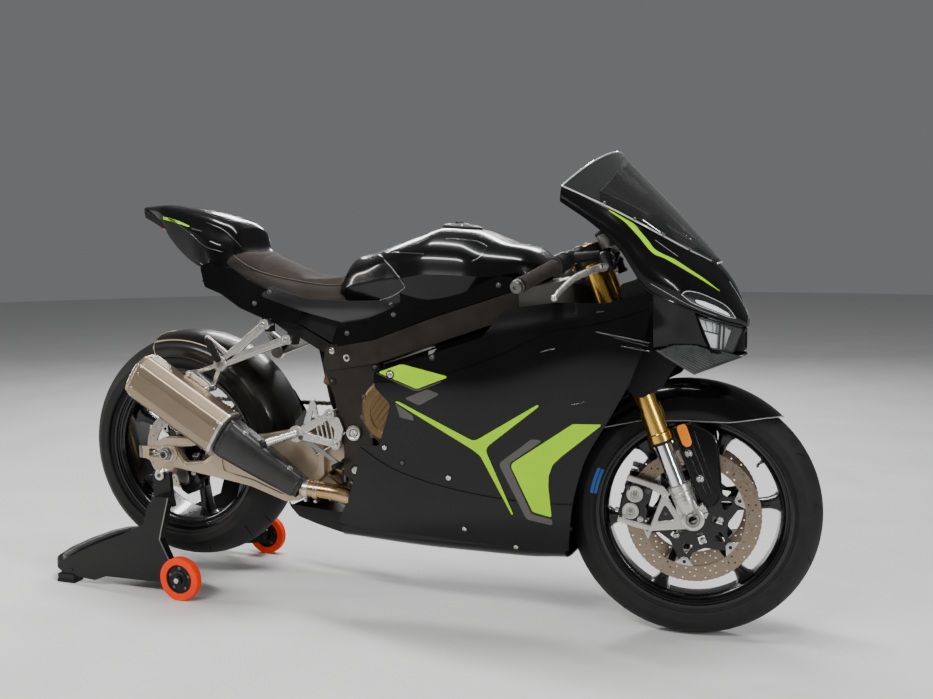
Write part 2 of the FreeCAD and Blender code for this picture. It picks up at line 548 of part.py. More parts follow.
nodes["exhaust_pipe"] = nodes["exhaust_pipe"].cut(cone).cut(sil)
nodes["exhaust_pipe"] = max(nodes["exhaust_pipe"].Solids, key=lambda q: q.Volume)

# ---------------------------------------------------------------- footrests
rs = []
for s in ends:
    y0 = -176.0 if s < 0 else 162.0
    parts = [strut((512, 515), (416, 460), 24, 12, y0), strut((528, 440), (416, 460), 24, 12, y0), strut((512, 515), (528, 440), 20, 12, y0),
             y_cyl(416, 460, y0, y0 + 12, 22), strut((464, 547), (440, 490), 16, 12, y0)]
    # peg points out to the side
    a = V(416, s * 172, 462)
    parts.append(rod(a, a + V(-62, s * 76, -20), 11.0))
    # pedal or gear lever
    parts.append(strut((430, 452), (536, 388), 12, 8, y0 + 2))
    parts.append(rod(V(536, s * 168, 388), V(536, s * 205, 388), 7.0))
    # spacers to the frame plates
    for x, z in ((512, 515), (528, 440)):
        parts.append(y_cyl(x, z, min(s * 127, s * 166), max(s * 127, s * 166), 9.0))
    rs.append(fuse(parts))
nodes["rider_footrests"] = Part.makeCompound(rs)
ph = []
for s in ends:
    y0 = -153.0 if s < 0 else 143.0
    parts = [strut((316, 738), (182, 630), 17, 10, y0), strut((380, 700), (182, 630), 17, 10, y0), y_cyl(182, 630, y0 - 4, y0 + 14, 21),
             strut((182, 630), (142, 700), 15, 10, y0)]
    if s < 0:                              # link down to the silencer
        parts += [strut((182, 630), (155, 566), 13, 10, y0), strut((182, 630), (104, 604), 13, 10, y0), strut((104, 604), (155, 566), 13, 10, y0)]
        parts.append(y_cyl(104, 604, -172, -150, 7.0))
        parts.append(y_cyl(155, 566, -172, -150, 7.0))
    # folded peg
    parts.append(strut((142, 700), (176, 640), 20, 16, y0 - (12 if s < 0 else -6)))
    for x, z in ((316, 738), (380, 700)):
        parts.append(y_cyl(x, z, min(s * 112, s * 150), max(s * 112, s * 150), 8.0))
    ph.append(fuse(parts))
ph[0] = ph[0].cut(sil)
nodes["passenger_footrests"] = Part.makeCompound([max(p.Solids, key=lambda q: q.Volume) for p in ph])

# ---------------------------------------------------------------- hugger
hp = [(-98, 262), (-98, 292), (-70, 316), (-30, 326), (30, 326), (70, 316), (97, 292), (97, 262)]
hin = offset_line(hp, 3.0)
hf = face([V(0, y, REAR_AXLE_Z + r) for y, r in hp + list(reversed(hin))])
hf.rotate(REAR_C, V(0, 1, 0), 98.0)
hug = hf.revolve(REAR_C, V(0, 1, 0), -88.0)
for s in ends:
    hug = hug.fuse(side_prism([(150, 600), (262, 530), (300, 470), (304, 430), (270, 432), (190, 520)], *((-119, -96) if s < 0 else (96, 99))))
nodes["rear_hugger"] = hug.removeSplitter()

# ---------------------------------------------------------------- tank, seat, tail
# rows: x, [(half width, z)] from the top centre down to the bottom centre
tank = half_body([
    (512, [(0, 866), (40, 860), (84, 846), (98, 822), (92, 790), (0, 790)]),
    (536, [(0, 908), (56, 900), (100, 870), (112, 835), (104, 790), (0, 790)]),
    (590, [(0, 920), (76, 912), (124, 885), (132, 845), (120, 790), (0, 790)]),
    (660, [(0, 944), (90, 936), (150, 905), (158, 856), (142, 795), (0, 795)]),
    (722, [(0, 965), (96, 955), (164, 918), (180, 862), (156, 800), (0, 800)]),
    (790, [(0, 985), (100, 972), (168, 930), (190, 872), (164, 800), (0, 800)]),
    (860, [(0, 977), (102, 966), (168, 925), (188, 870), (162, 815), (0, 815)]),
    (940, [(0, 946), (96, 938), (150, 905), (166, 866), (146, 840), (0, 840)]),
    (1003, [(0, 933), (84, 925), (120, 902), (132, 874), (124, 852), (0, 852)]),
    (1056, [(0, 898), (56, 892), (82, 884), (92, 870), (88, 856), (0, 856)])])
seat = half_body([
    (178, [(0, 903), (86, 903), (108, 901), (115, 893), (0, 887)]),
    (198, [(0, 922), (88, 923), (112, 910), (117, 876), (0, 868)]),
    (225, [(0, 922), (88, 916), (115, 896), (118, 855), (0, 848)]),
    (265, [(0, 911), (92, 889), (118, 868), (120, 836), (0, 828)]),
    (345, [(0, 878), (96, 858), (124, 838), (126, 806), (0, 800)]),
    (410, [(0, 850), (96, 845), (122, 822), (126, 796), (0, 796)]),
    (490, [(0, 858), (78, 844), (106, 826), (118, 788), (0, 788)]),
    (540, [(0, 884), (60, 870), (90, 850), (108, 792), (0, 792)])]).cut(tank)
tail = half_body([
    (-132, [(0, 1049), (22, 1045), (26, 1040), (20, 1034), (0, 1032)]),
    (-60, [(0, 1053), (44, 1048), (64, 1034), (50, 1010), (0, 1000)]),
    (-30, [(0, 1050), (52, 1044), (76, 1022), (58, 966), (0, 955)]),
    (85, [(0, 1032), (72, 1020), (106, 975), (90, 886), (0, 876)]),
    (150, [(0, 1014), (78, 1000), (114, 945), (116, 872), (0, 858)]),
    (198, [(0, 990), (76, 976), (96, 930), (120, 850), (0, 838)]),
    (211, [(0, 932), (74, 930), (92, 918), (122, 845), (0, 834)]),
    (300, [(0, 860), (84, 856), (122, 842), (134, 796), (0, 796)])]).cut(seat)
for n_, s_ in (("fuel_tank", tank), ("rider_seat", seat), ("tail_cowl", tail)):
    nodes[n_] = max(s_.Solids, key=lambda q: q.Volume)
nodes["tail_cowl"] = nodes["tail_cowl"].cut(nodes["subframe"])
nodes["tail_cowl"] = max(nodes["tail_cowl"].Solids, key=lambda q: q.Volume)
nodes["tail_light"] = side_prism([(-128, 1040), (-124, 1018), (-58, 984), (-40, 984), (-50, 1010)], -34, 34).cut(nodes["tail_cowl"])
nodes["tail_light"] = max(nodes["tail_light"].Solids, key=lambda q: q.Volume)

panels = []
for s in ends:
    y0, y1 = (-152, -140) if s < 0 else (140, 152)
    panels.append(side_prism([(300, 812), (420, 776), (560, 742), (600, 748), (700, 792), (690, 806), (560, 802), (440, 806), (330, 838)], y0, y1))
nodes["seat_side_panels"] = Part.makeCompound([p.cut(tank) for p in panels])

# ---------------------------------------------------------------- fairings
# half width of the side fairing's outer face: columns z = FZ, rows x
FZ = (212, 300, 420, 540, 660, 760, 850)
FW = ((480, (138, 166, 186, 196, 196, 190, 184)),
      (620, (146, 180, 206, 220, 220, 206, 190)),
      (800, (150, 186, 216, 236, 238, 220, 196)),
      (950, (152, 188, 220, 242, 245, 232, 206)),
      (1080, (150, 186, 214, 238, 248, 240, 218)),
      (1200, (142, 174, 200, 224, 240, 238, 222)),
      (1350, (118, 148, 176, 198, 210, 208, 196)))
# side-view outline of the right fairing (x, z)
OUT_R = [(512, 226), (560, 300), (600, 392), (612, 452), (668, 452), (708, 560), (664, 600), (662, 638), (760, 668), (944, 728), (1000, 796), (1120, 812), (1236, 812), (1322, 836),
         (1330, 790), (1316, 706), (1290, 640), (1236, 545), (1182, 452), (1150, 352), (1130, 240), (1122, 206), (830, 214)]
fair = {}
for s in ends:
    secs = []
    for x, ws in FW:
        line = [(s * w, z) for z, w in zip(FZ, ws)]
        inn = [(s * (w - SKIN * 1.02), z) for z, w in zip(FZ, ws)]
        secs.append([V(x, y, z) for y, z in line] + [V(x, y, z) for y, z in reversed(inn)])
    sh = loft(secs).common(side_prism(OUT_R, min(s * 100, s * 300), max(s * 100, s * 300)))
    fair[s] = max(sh.Solids, key=lambda q: q.Volume)
nodes["side_fairing_right"], nodes["side_fairing_left"] = fair[-1], fair[1]

belly = skin_sections([
    (520, [(-139, 214), (-128, 196), (-84, 184), (0, 180), (84, 184), (128, 196), (139, 214)]),
    (800, [(-146, 206), (-130, 186), (-84, 172), (0, 166), (84, 172), (130, 186), (146, 206)]),
    (1000, [(-148, 206), (-130, 186), (-84, 172), (0, 166), (84, 172), (130, 186), (148, 206)]),
    (1118, [(-146, 206), (-128, 192), (-84, 182), (0, 178), (84, 182), (128, 192), (146, 206)])], side=-1)
# low rear end of the pan, behind the side fairings
btail = side_prism([(368, 258), (394, 228), (516, 196), (566, 196), (566, 256)], -136, 126).cut(side_prism([(300, 300), (300, 262), (372, 262), (398, 233), (517, 200.5), (570, 200.5), (570, 300)], -131.5, 121.5))
btail = max(btail.cut(belly).Solids, key=lambda q: q.Volume)
nodes["belly_pan"] = fuse([belly, btail])

# nose cowl: right-half outer line per station, from the screen edge down
NOSE = ((1124, [(194, 1074), (203, 1060), (207, 1048), (207, 1038)]),
        (1200, [(192, 1035), (204, 1016), (210, 1000), (210, 986)]),
        (1260, [(182, 1002), (203, 980), (211, 958), (210, 930)]),
        (1318, [(158, 968), (192, 925), (208, 885), (206, 846)]),
        (1380, [(114, 934), (162, 890), (188, 846), (180, 812)]),
        (1440, [(46, 898), (104, 856), (136, 814), (124, 782)]))
CHEEK = ((1334, [(201, 836), (198, 800), (196, 750), (188, 704)]),
         (1376, [(178, 810), (172, 780), (166, 736), (152, 702)]),
         (1418, [(140, 788), (134, 760), (124, 722), (112, 698)]),
         (1440, [(120, 776), (118, 752), (110, 720), (100, 696)]))
cowl, cheeks = [], []
for s in ends:
    secs = []
    for x, pts in CHEEK:
        line = [(s * w, z) for w, z in pts]
        inn = offset_line(line, SKIN * (1 if s > 0 else -1))
        secs.append([V(x, y, z) for y, z in line] + [V(x, y, z) for y, z in reversed(inn)])
    cheeks.append(loft(secs))
    secs = []
    for x, pts in NOSE:
        line = [(s * w, z) for w, z in pts]
        inn = offset_line(line, SKIN * (1 if s > 0 else -1))
        secs.append([V(x, y, z) for y, z in line] + [V(x, y, z) for y, z in reversed(inn)])
    cowl.append(loft(secs))
front = []
for x, pts in ((1440, [(46, 898), (104, 856), (136, 814), (124, 782)]), (1484, [(24, 850), (62, 822), (84, 788), (74, 762)]), (1521, [(3, 774), (20, 766), (28, 758), (22, 748)])):
    line = [(-w, z) for w, z in pts]
    full = line + []
    right = [V(x, -w, z) for w, z in reversed(pts)]
    left = [V(x, w, z) for w, z in pts]
    inner = [V(x, (w - 4) if w > 6 else w * 0.5, z - 3.5) for w, z in pts]
    inner_r = [V(x, -((w - 4) if w > 6 else w * 0.5), z - 3.5) for w, z in reversed(pts)]
    front.append(right + left + list(reversed(inner)) + list(reversed(inner_r)))
cowl.append(loft(front))
up = fuse(cowl)
nodes["upper_fairing"] = up
front_of_lamp = side_prism([(1418, 830), (1450, 690), (1520, 690), (1520, 830)], -220, 220)
cheeks = [max(c.cut(front_of_lamp).cut(up).Solids, key=lambda q: q.Volume) for c in cheeks]
nodes["nose_cheeks"] = Part.makeCompound(cheeks)

# windscreen: arcs from edge over the top to edge; columns x, half width, z of the edge, then x, z of the top
SCR = ((1448, 24, 893, 1458, 897), (1366, 128, 946, 1396, 968), (1250, 184, 1014, 1302, 1068), (1124, 194, 1074, 1215, 1157))
sw_ = []
for xe, w, ze, xt, zt in SCR:
    e1, e2, top = V(xe, -w, ze), V(xe, w, ze), V(xt, 0, zt)
    mid = V(xe, 0, ze)
    d = (top - mid).normalize()
    i1, i2, it = e1 + V(0, 3, 0), e2 - V(0, 3, 0), top - d * 3
    sw_.append(Part.Wire([Part.Arc(e1, top, e2).toShape(), Part.makeLine(e2, i2), Part.Arc(i2, it, i1).toShape(), Part.makeLine(i1, e1)]))
nodes["windscreen"] = Part.makeLoft(sw_, True, True)

# headlights: corners front (x, |y|, z) and the same set back
lamps = []
LQ = ((1422, 134, 780), (1450, 107, 702), (1492, 44, 688), (1513, 36, 744))
for s in ends:
    f_ = [V(x, s * y, z) for x, y, z in LQ]
    b_ = [V(x - 60, s * (y * 0.62 + 14), z) for x, y, z in LQ]
    lamps.append(hexa(f_, b_))
lamps = [l.cut(up) for l in lamps]
for k in range(2):
    lamps[k] = max(lamps[k].cut(cheeks[k]).Solids, key=lambda q: q.Volume)
nodes["headlights"] = Part.makeCompound(lamps)

wings = []
for s in ends:
    a = [V(1404, s * 120, 722), V(1342, s * 192, 706), V(1342, s * 192, 700), V(1404, s * 120, 716)]
    b = [V(1512, s * 44, 680), V(1428, s * 202, 658), V(1428, s * 202, 652), V(1512, s * 44, 674)]
    wings.append(loft([a, b]))
wings = [w.cut(l).cut(c) for w, l, c in zip(wings, lamps, cheeks)]
nodes["winglets"] = Part.makeCompound([max(w.Solids, key=lambda q: q.Volume) for w in wings])

# chin between the lamps and the inner cheeks that carry the wings
chin = side_prism([(1420, 756), (1514, 744), (1494, 686), (1400, 700)], -34, 34)
chin = chin.cut(box(1380, 1540, -26, 26, 698, 734)).cut(up)
for l in lamps:
    chin = chin.cut(l)
chin = max(chin.Solids, key=lambda q: q.Volume)
nodes["nose_duct"] = chin

stay = fuse([rod(steer_xyz(820, 30, 0), V(1330, 0, 850), 14.0), box(1318, 1342, -100, 100, 836, 860), rod(V(1330, 0, 850), V(1318, 0, 930), 10.0)])
nodes["fairing_stay"] = stay.cut(nodes["main_frame"])
dash = box(-9, 9, -78, 78, -46, 46)
dash.rotate(V(0, 0, 0), V(0, 1, 0), -28)
dash.translate(V(1318, 0, 966))
nodes["instrument_panel"] = dash
nodes["fairing_stay"] = nodes["fairing_stay"].cut(dash)

# ---------------------------------------------------------------- side stand, folded, on the left
SS = V(498, 168, 262)
fold = V(-0.985, 0.03, -0.02).normalize()
deploy = V(0.30, 0.42, -0.86).normalize()
SS_AXIS = fold.cross(deploy).normalize()
SS_ANGLE = math.degrees(math.acos(fold.dot(deploy)))
leg = rod(SS + fold * 15.7, SS + fold * 205, 10.0)
foot = Part.makeBox(46, 40, 8, V(0, 0, 0))
foot.translate(SS + fold * 232 + V(0, -10, -12))
pad = rod(SS + fold * 200, SS + fold * 236, 12.0)
eye = Part.makeCylinder(17.0, 16.0, SS - SS_AXIS * 8, SS_AXIS)
bolt_hole = Part.makeCylinder(6.0 + RUN_FIT, 60.0, SS - SS_AXIS * 30, SS_AXIS)
nodes["side_stand"] = fuse([leg, foot, pad, eye]).cut(bolt_hole)
# bracket with its bolt, on the frame: cheeks each side of the stand's eye
brk = Part.makeCylinder(6.0, 34.0, SS - SS_AXIS * 17, SS_AXIS)
brk_dir = V(564, 144, 372) - SS
brk_dir = (brk_dir - SS_AXIS * brk_dir.dot(SS_AXIS)).normalize()
for k in (8.5, -15.5):
    c0 = SS + SS_AXIS * k
    brk = brk.fuse(Part.makeCylinder(15.0, 7.0, c0, SS_AXIS))
    mid = SS_AXIS * (12.0 if k > 0 else -12.0)
    brk = brk.fuse(rod(SS + mid, SS + mid + brk_dir * 27, 3.5)).fuse(rod(SS + mid + brk_dir * 26, V(564, 144, 372), 4.5))
nodes["side_stand_bracket"] = brk.cut(main)

# ---------------------------------------------------------------- paddock stand
# each side is a deep box-section plate, with a cup for the swingarm's spool
ST_PLATE = [(-10, 268), (36, 270), (2, 152), (30, 97), (60, 92), (97, 74), (97, 46), (55, 40), (0, 32), (-179, 30), (-217, 15), (-286, 20), (-316, 20), (-336, 34), (-334, 50), (-320, 66), (-48, 187), (-32, 239)]
st = []
for s in ends:
    st.append(side_prism(ST_PLATE, min(s * 176.0, s * 202), max(s * 176.0, s * 202)))
    st.append(y_cyl(STAND_WHEEL_X, STAND_WHEEL_R, min(s * 180, s * 241), max(s * 180, s * 241), 8.0))
    st.append(y_cyl(STAND_WHEEL_X, STAND_WHEEL_R, min(s * 180, s * 211.5), max(s * 180, s * 211.5), 15.0))
    st.append(y_cyl(STAND_WHEEL_X, STAND_WHEEL_R, min(s * 237, s * 243), max(s * 237, s * 243), 12.0))
    st.append(side_prism([(-32, 236), (30, 236), (24, 268), (20, 330), (3, 330), (3, 312), (-19, 312), (-19, 330), (-32, 330)], min(s * 156, s * 170), max(s * 156, s * 170)))
    st.append(side_prism([(-32, 236), (26, 236), (26, 262), (-26, 262)], min(s * 165, s * 190), max(s * 165, s * 190)))
    # rear foot
    st.append(box(-340, -286, min(s * 170, s * 206), max(s * 170, s * 206), 0, 24))
# handle tube turning across the back
back = [V(-290, -189, 38), V(-340, -184, 42), V(-370, -150, 46), V(-380, -90, 50), V(-382, 0, 52)]
st.append(mitred(back + [V(p.x, -p.y, p.z) for p in back[3::-1]], 15.2))
stand = fuse(st)
for s in ends:
    stand = stand.cut(y_cyl(-8, 322, min(s * 150, s * 171.4), max(s * 150, s * 171.4), 8.0))
nodes["paddock_stand"] = stand
for s, nm in ((-1, "stand_wheel_right"), (1, "stand_wheel_left")):
    c = V(STAND_WHEEL_X, 0, STAND_WHEEL_R)
    w = ring(c, min(s * 213, s * 235.5), max(s * 213, s * 235.5), 8.0 + RUN_FIT, STAND_WHEEL_R)
    nodes[nm] = w

# ---------------------------------------------------------------- room for what passes through
def largest(shape):
    return max(shape.Solids, key=lambda q: q.Volume)


slot = belt(8.6, 1.2).cut(belt(-8.6, 1.2))
for name in ("engine_block", "main_frame", "rear_hugger", "swingarm_arm_left", "swingarm_bridge"):
    nodes[name] = largest(nodes[name].cut(slot))
nodes["side_fairing_right"] = largest(nodes["side_fairing_right"].cut(mitred([p + V(0, 0, 0) for p in EX], 23.0, 20)))
nodes["front_tyre"] = largest(nodes["front_tyre"].cut(nodes["front_rim"]))
nodes["rear_tyre"] = largest(nodes["rear_tyre"].cut(nodes["rear_rim"]))
nodes["subframe"] = nodes["subframe"].cut(nodes["main_frame"])
nodes["passenger_footrests"] = nodes["passenger_footrests"].cut(nodes["subframe"])
nodes["fork_lugs"] = nodes["fork_lugs"].cut(nodes["front_axle"])
nodes["control_levers"] = nodes["control_levers"].cut(nodes["triple_clamps"])

# ---------------------------------------------------------------- write
for name in sorted(nodes):
    s = nodes[name].copy()
    if name in steered or name in ("front_rim", "front_tyre", "front_discs"):
        s.rotate(GROUND, AXIS, STEER_NOW)
    s.translate(V(-ORIGIN_X, ORIGIN_Y, 0))
    if not s.isValid():
        print("INVALID", name)
    b = s.BoundBox
    print("%-22s solids %d vol %.3f l  x %.0f..%.0f y %.0f..%.0f z %.1f..%.0f" % (name, len(s.Solids), s.Volume / 1e6, b.XMin, b.XMax, b.YMin, b.YMax, b.ZMin, b.ZMax))
    s.exportStep("parts/%s.step" % name)
print("nodes", len(nodes), "side stand axis", SS_AXIS, "angle", SS_ANGLE, "pivot", SS)
print("front wheel centre", FRONT_C)
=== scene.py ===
import bpy, bmesh, math, random
import numpy as np
from mathutils import Vector, Matrix
from mathutils.bvhtree import BVHTree
from mathutils.geometry import delaunay_2d_cdt


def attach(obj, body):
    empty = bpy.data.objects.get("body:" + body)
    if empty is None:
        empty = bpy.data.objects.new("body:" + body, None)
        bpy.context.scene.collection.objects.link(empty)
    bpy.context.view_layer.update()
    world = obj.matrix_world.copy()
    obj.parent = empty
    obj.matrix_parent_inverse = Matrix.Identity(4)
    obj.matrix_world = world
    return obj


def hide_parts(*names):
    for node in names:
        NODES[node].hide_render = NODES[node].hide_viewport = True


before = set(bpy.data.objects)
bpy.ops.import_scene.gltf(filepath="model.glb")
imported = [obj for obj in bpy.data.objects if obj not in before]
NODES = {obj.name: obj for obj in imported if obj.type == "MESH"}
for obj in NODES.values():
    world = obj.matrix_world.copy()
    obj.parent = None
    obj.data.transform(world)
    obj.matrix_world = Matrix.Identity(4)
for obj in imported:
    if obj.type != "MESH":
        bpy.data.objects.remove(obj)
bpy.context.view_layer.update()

random.seed(7)

# ------------------------------------------------------------------ frames and numbers, in millimetres
OX = 650.2                                    # the row's origin on the bike's own x, measured from the rear axle
OY = -16.145                                  # and on the bike's own y, measured from its centre plane
REAR = np.array([0.0, 0.0, 377.0])
FRONT0 = np.array([1399.98, 0.0, 299.786])    # front wheel centre before the bars turn
FRONT = np.array([1399.679, 4.464, 299.666])
_r = math.radians(21.7)
GROUND = np.array([1486.0, 0.0, 0.0])
AXIS = np.array([-math.sin(_r), 0.0, math.cos(_r)])
FWD = np.array([math.cos(_r), 0.0, math.sin(_r)])
YY = np.array([0.0, 1.0, 0.0])
M_STEER = np.array(Matrix.Rotation(math.radians(8.3), 3, Vector(AXIS)))


def a3(*p):
    return np.array(p, float)


def st(t, u, y):
    """A point in the fork's own frame: t up the steering axis, u ahead of it, y to the left."""
    return GROUND + AXIS * t + FWD * u + YY * y


def turned(v):
    return (np.asarray(v) - GROUND) @ M_STEER.T + GROUND


def unit(v):
    v = np.asarray(v, float)
    return v / max(np.linalg.norm(v), 1e-12)


# ------------------------------------------------------------------ camera of the photograph
CAM = a3(1772.01, -2584.90, 980.15)
_yaw, _pitch, _roll = 0.3532, -0.1116, -0.0092
F_ = a3(-math.sin(_yaw) * math.cos(_pitch), math.cos(_yaw) * math.cos(_pitch), math.sin(_pitch))
_r1 = a3(math.cos(_yaw), math.sin(_yaw), 0)
_u1 = np.cross(_r1, F_)
R_ = math.cos(_roll) * _r1 + math.sin(_roll) * _u1
U_ = -math.sin(_roll) * _r1 + math.cos(_roll) * _u1
FPX = 1080.70


def ray(u, v):
    return unit(F_ * FPX + R_ * (u - 466.5) - U_ * (v - 349.5))


def on_y(u, v, y):
    d = ray(u, v)
    return CAM + d * ((y - CAM[1]) / d[1])


def on_x(u, v, x):
    d = ray(u, v)
    return CAM + d * ((x - CAM[0]) / d[0])


cam = bpy.data.objects.new("camera", bpy.data.cameras.new("camera"))
bpy.context.scene.collection.objects.link(cam)
cam.data.sensor_width = 36.0
cam.data.lens = FPX / 933.0 * 36.0
cam.data.clip_start, cam.data.clip_end = 0.05, 80.0
cam.matrix_world = Matrix((
    (R_[0], U_[0], -F_[0], (CAM[0] - OX) / 1000),
    (R_[1], U_[1], -F_[1], (CAM[1] - OY) / 1000),
    (R_[2], U_[2], -F_[2], CAM[2] / 1000),
    (0, 0, 0, 1)))
bpy.context.scene.camera = cam


# ------------------------------------------------------------------ curves
def pchip(xs, ys, xq):
    """Smooth curve through points, with no overshoot. ys may have several columns."""
    xs, ys, xq = np.asarray(xs, float), np.asarray(ys, float), np.asarray(xq, float)
    one = ys.ndim == 1
    if one:
        ys = ys[:, None]
    h = np.diff(xs)[:, None]
    d = np.diff(ys, axis=0) / h
    m = np.zeros_like(ys)
    if len(xs) > 2:
        w1, w2 = 2 * h[1:] + h[:-1], h[1:] + 2 * h[:-1]
        with np.errstate(divide="ignore", invalid="ignore"):
            hm = (w1 + w2) / (w1 / d[:-1] + w2 / d[1:])
        m[1:-1] = np.where(d[:-1] * d[1:] > 0, np.nan_to_num(hm), 0.0)
    m[0], m[-1] = d[0], d[-1]
    i = np.clip(np.searchsorted(xs, xq, side="right") - 1, 0, len(xs) - 2)
    t = ((xq - xs[i]) / h[i, 0])[:, None]
    t = np.clip(t, 0, 1)
    hh = h[i]
    out = (2 * t**3 - 3 * t**2 + 1) * ys[i] + (t**3 - 2 * t**2 + t) * hh * m[i] + (-2 * t**3 + 3 * t**2) * ys[i + 1] + (t**3 - t**2) * hh * m[i + 1]
    return out[:, 0] if one else out


def cubic(xs, ys, xq):
    """Natural cubic spline, smooth to the second derivative."""
    xs, ys, xq = np.asarray(xs, float), np.asarray(ys, float), np.asarray(xq, float)
    one = ys.ndim == 1
    if one:
        ys = ys[:, None]
    n = len(xs)
    h = np.diff(xs)
    A = np.zeros((n, n))
    b = np.zeros_like(ys)
    A[0, 0] = A[-1, -1] = 1
    for i in range(1, n - 1):
        A[i, i - 1], A[i, i], A[i, i + 1] = h[i - 1], 2 * (h[i - 1] + h[i]), h[i]
        b[i] = 6 * ((ys[i + 1] - ys[i]) / h[i] - (ys[i] - ys[i - 1]) / h[i - 1])
    m = np.linalg.solve(A, b)
    xq = np.clip(xq, xs[0], xs[-1])
    i = np.clip(np.searchsorted(xs, xq, side="right") - 1, 0, n - 2)
    hi = h[i][:, None]
    a = (xs[i + 1] - xq)[:, None]
    c = (xq - xs[i])[:, None]
    out = m[i] * a**3 / (6 * hi) + m[i + 1] * c**3 / (6 * hi) + (ys[i] / hi - m[i] * hi / 6) * a + (ys[i + 1] / hi - m[i + 1] * hi / 6) * c
    return out[:, 0] if one else out


def crom(pts, n, sharp=(), closed=False):
    """Centripetal Catmull-Rom through pts, n spans between neighbours; corners in sharp stay sharp."""
    P = np.asarray(pts, float)
    m = len(P)
    out = []
    last = m if closed else m - 1
    for i in range(last):
        p1, p2 = P[i], P[(i + 1) % m]
        p0 = P[(i - 1) % m] if (closed or i > 0) else p1 * 2 - p2
        p3 = P[(i + 2) % m] if (closed or i + 2 < m) else p2 * 2 - p1
        if i in sharp:
            p0 = p1 * 2 - p2
        if (i + 1) % m in sharp:
            p3 = p2 * 2 - p1
        d = [max(np.linalg.norm(b - a), 1e-6) ** 0.5 for a, b in ((p0, p1), (p1, p2), (p2, p3))]
        t0, t1, t2, t3 = 0.0, d[0], d[0] + d[1], d[0] + d[1] + d[2]
        for k in range(n):
            t = t1 + (t2 - t1) * k / n
            A1 = p0 * (t1 - t) / (t1 - t0) + p1 * (t - t0) / (t1 - t0)
            A2 = p1 * (t2 - t) / (t2 - t1) + p2 * (t - t1) / (t2 - t1)
            A3 = p2 * (t3 - t) / (t3 - t2) + p3 * (t - t2) / (t3 - t2)
            B1 = A1 * (t2 - t) / (t2 - t0) + A2 * (t - t0) / (t2 - t0)
            B2 = A2 * (t3 - t) / (t3 - t1) + A3 * (t - t1) / (t3 - t1)
            out.append(B1 * (t2 - t) / (t2 - t1) + B2 * (t - t1) / (t2 - t1))
    if not closed:
        out.append(P[-1])
    return np.array(out)


def round_poly(pts, r, seg=4, closed=True):
    """The polygon with each corner rounded; r is one radius or one per corner."""
    P = [np.asarray(p, float) for p in pts]
    n = len(P)
    rr = [r] * n if np.isscalar(r) else list(r)
    out = []
    for i in range(n):
        if not closed and i in (0, n - 1):
            out.append(P[i])
            continue
        a, b, c = P[i - 1], P[i], P[(i + 1) % n]
        u, v = a - b, c - b
        lu, lv = np.linalg.norm(u), np.linalg.norm(v)
        u, v = u / lu, v / lv
        ang = math.acos(max(-1, min(1, float(np.dot(u, v)))))
        if rr[i] <= 0 or ang > math.pi - 0.05:
            out.append(b)
            continue
        cut = min(rr[i] / math.tan(ang / 2), lu * 0.45, lv * 0.45)
        p, q = b + u * cut, b + v * cut
        for k in range(seg + 1):
            t = k / seg
            out.append(p * (1 - t) ** 2 + b * 2 * t * (1 - t) + q * t * t)
    return np.array(out)


def resample(pts, step, closed=False):
    P = np.asarray(pts, float)
    if closed:
        P = np.vstack([P, P[:1]])
    d = np.r_[0, np.cumsum(np.linalg.norm(np.diff(P, axis=0), axis=1))]
    keep = np.r_[True, np.diff(d) > 1e-9]
    P, d = P[keep], d[keep]
    n = max(2, int(round(d[-1] / step)) + 1)
    q = np.linspace(0, d[-1], n)
    out = np.stack([np.interp(q, d, P[:, k]) for k in range(P.shape[1])], axis=1)
    return out[:-1] if closed else out


def inside(poly, p):
    """Which of the points p lie inside the polygon."""
    poly, p = np.asarray(poly, float), np.asarray(p, float)
    x, y = p[:, 0], p[:, 1]
    res = np.zeros(len(p), bool)
    n = len(poly)
    for i in range(n):
        x1, y1 = poly[i]
        x2, y2 = poly[(i + 1) % n]
        if y1 == y2:
            continue
        c = ((y1 > y) != (y2 > y)) & (x < (x2 - x1) * (y - y1) / (y2 - y1) + x1)
        res ^= c
    return res


def edge_dist(poly, p, closed=True):
    """Distance of each point p to the polyline."""
    poly, p = np.asarray(poly, float), np.asarray(p, float)
    best = np.full(len(p), 1e9)
    n = len(poly)
    for i in range(n if closed else n - 1):
        a, b = poly[i], poly[(i + 1) % n]
        ab = b - a
        t = np.clip(((p - a) @ ab) / max(float(ab @ ab), 1e-12), 0, 1)
        best = np.minimum(best, np.linalg.norm(p - (a + t[:, None] * ab), axis=1))
    return best


# ------------------------------------------------------------------ solids as (vertices, faces)
def basis(axis, up=None):
    w = unit(axis)
    h = a3(0, 0, 1) if up is None else unit(up)
    if abs(float(w @ h)) > 0.98:
        h = a3(1, 0, 0)
    u = unit(np.cross(h, w))
    return u, np.cross(w, u), w


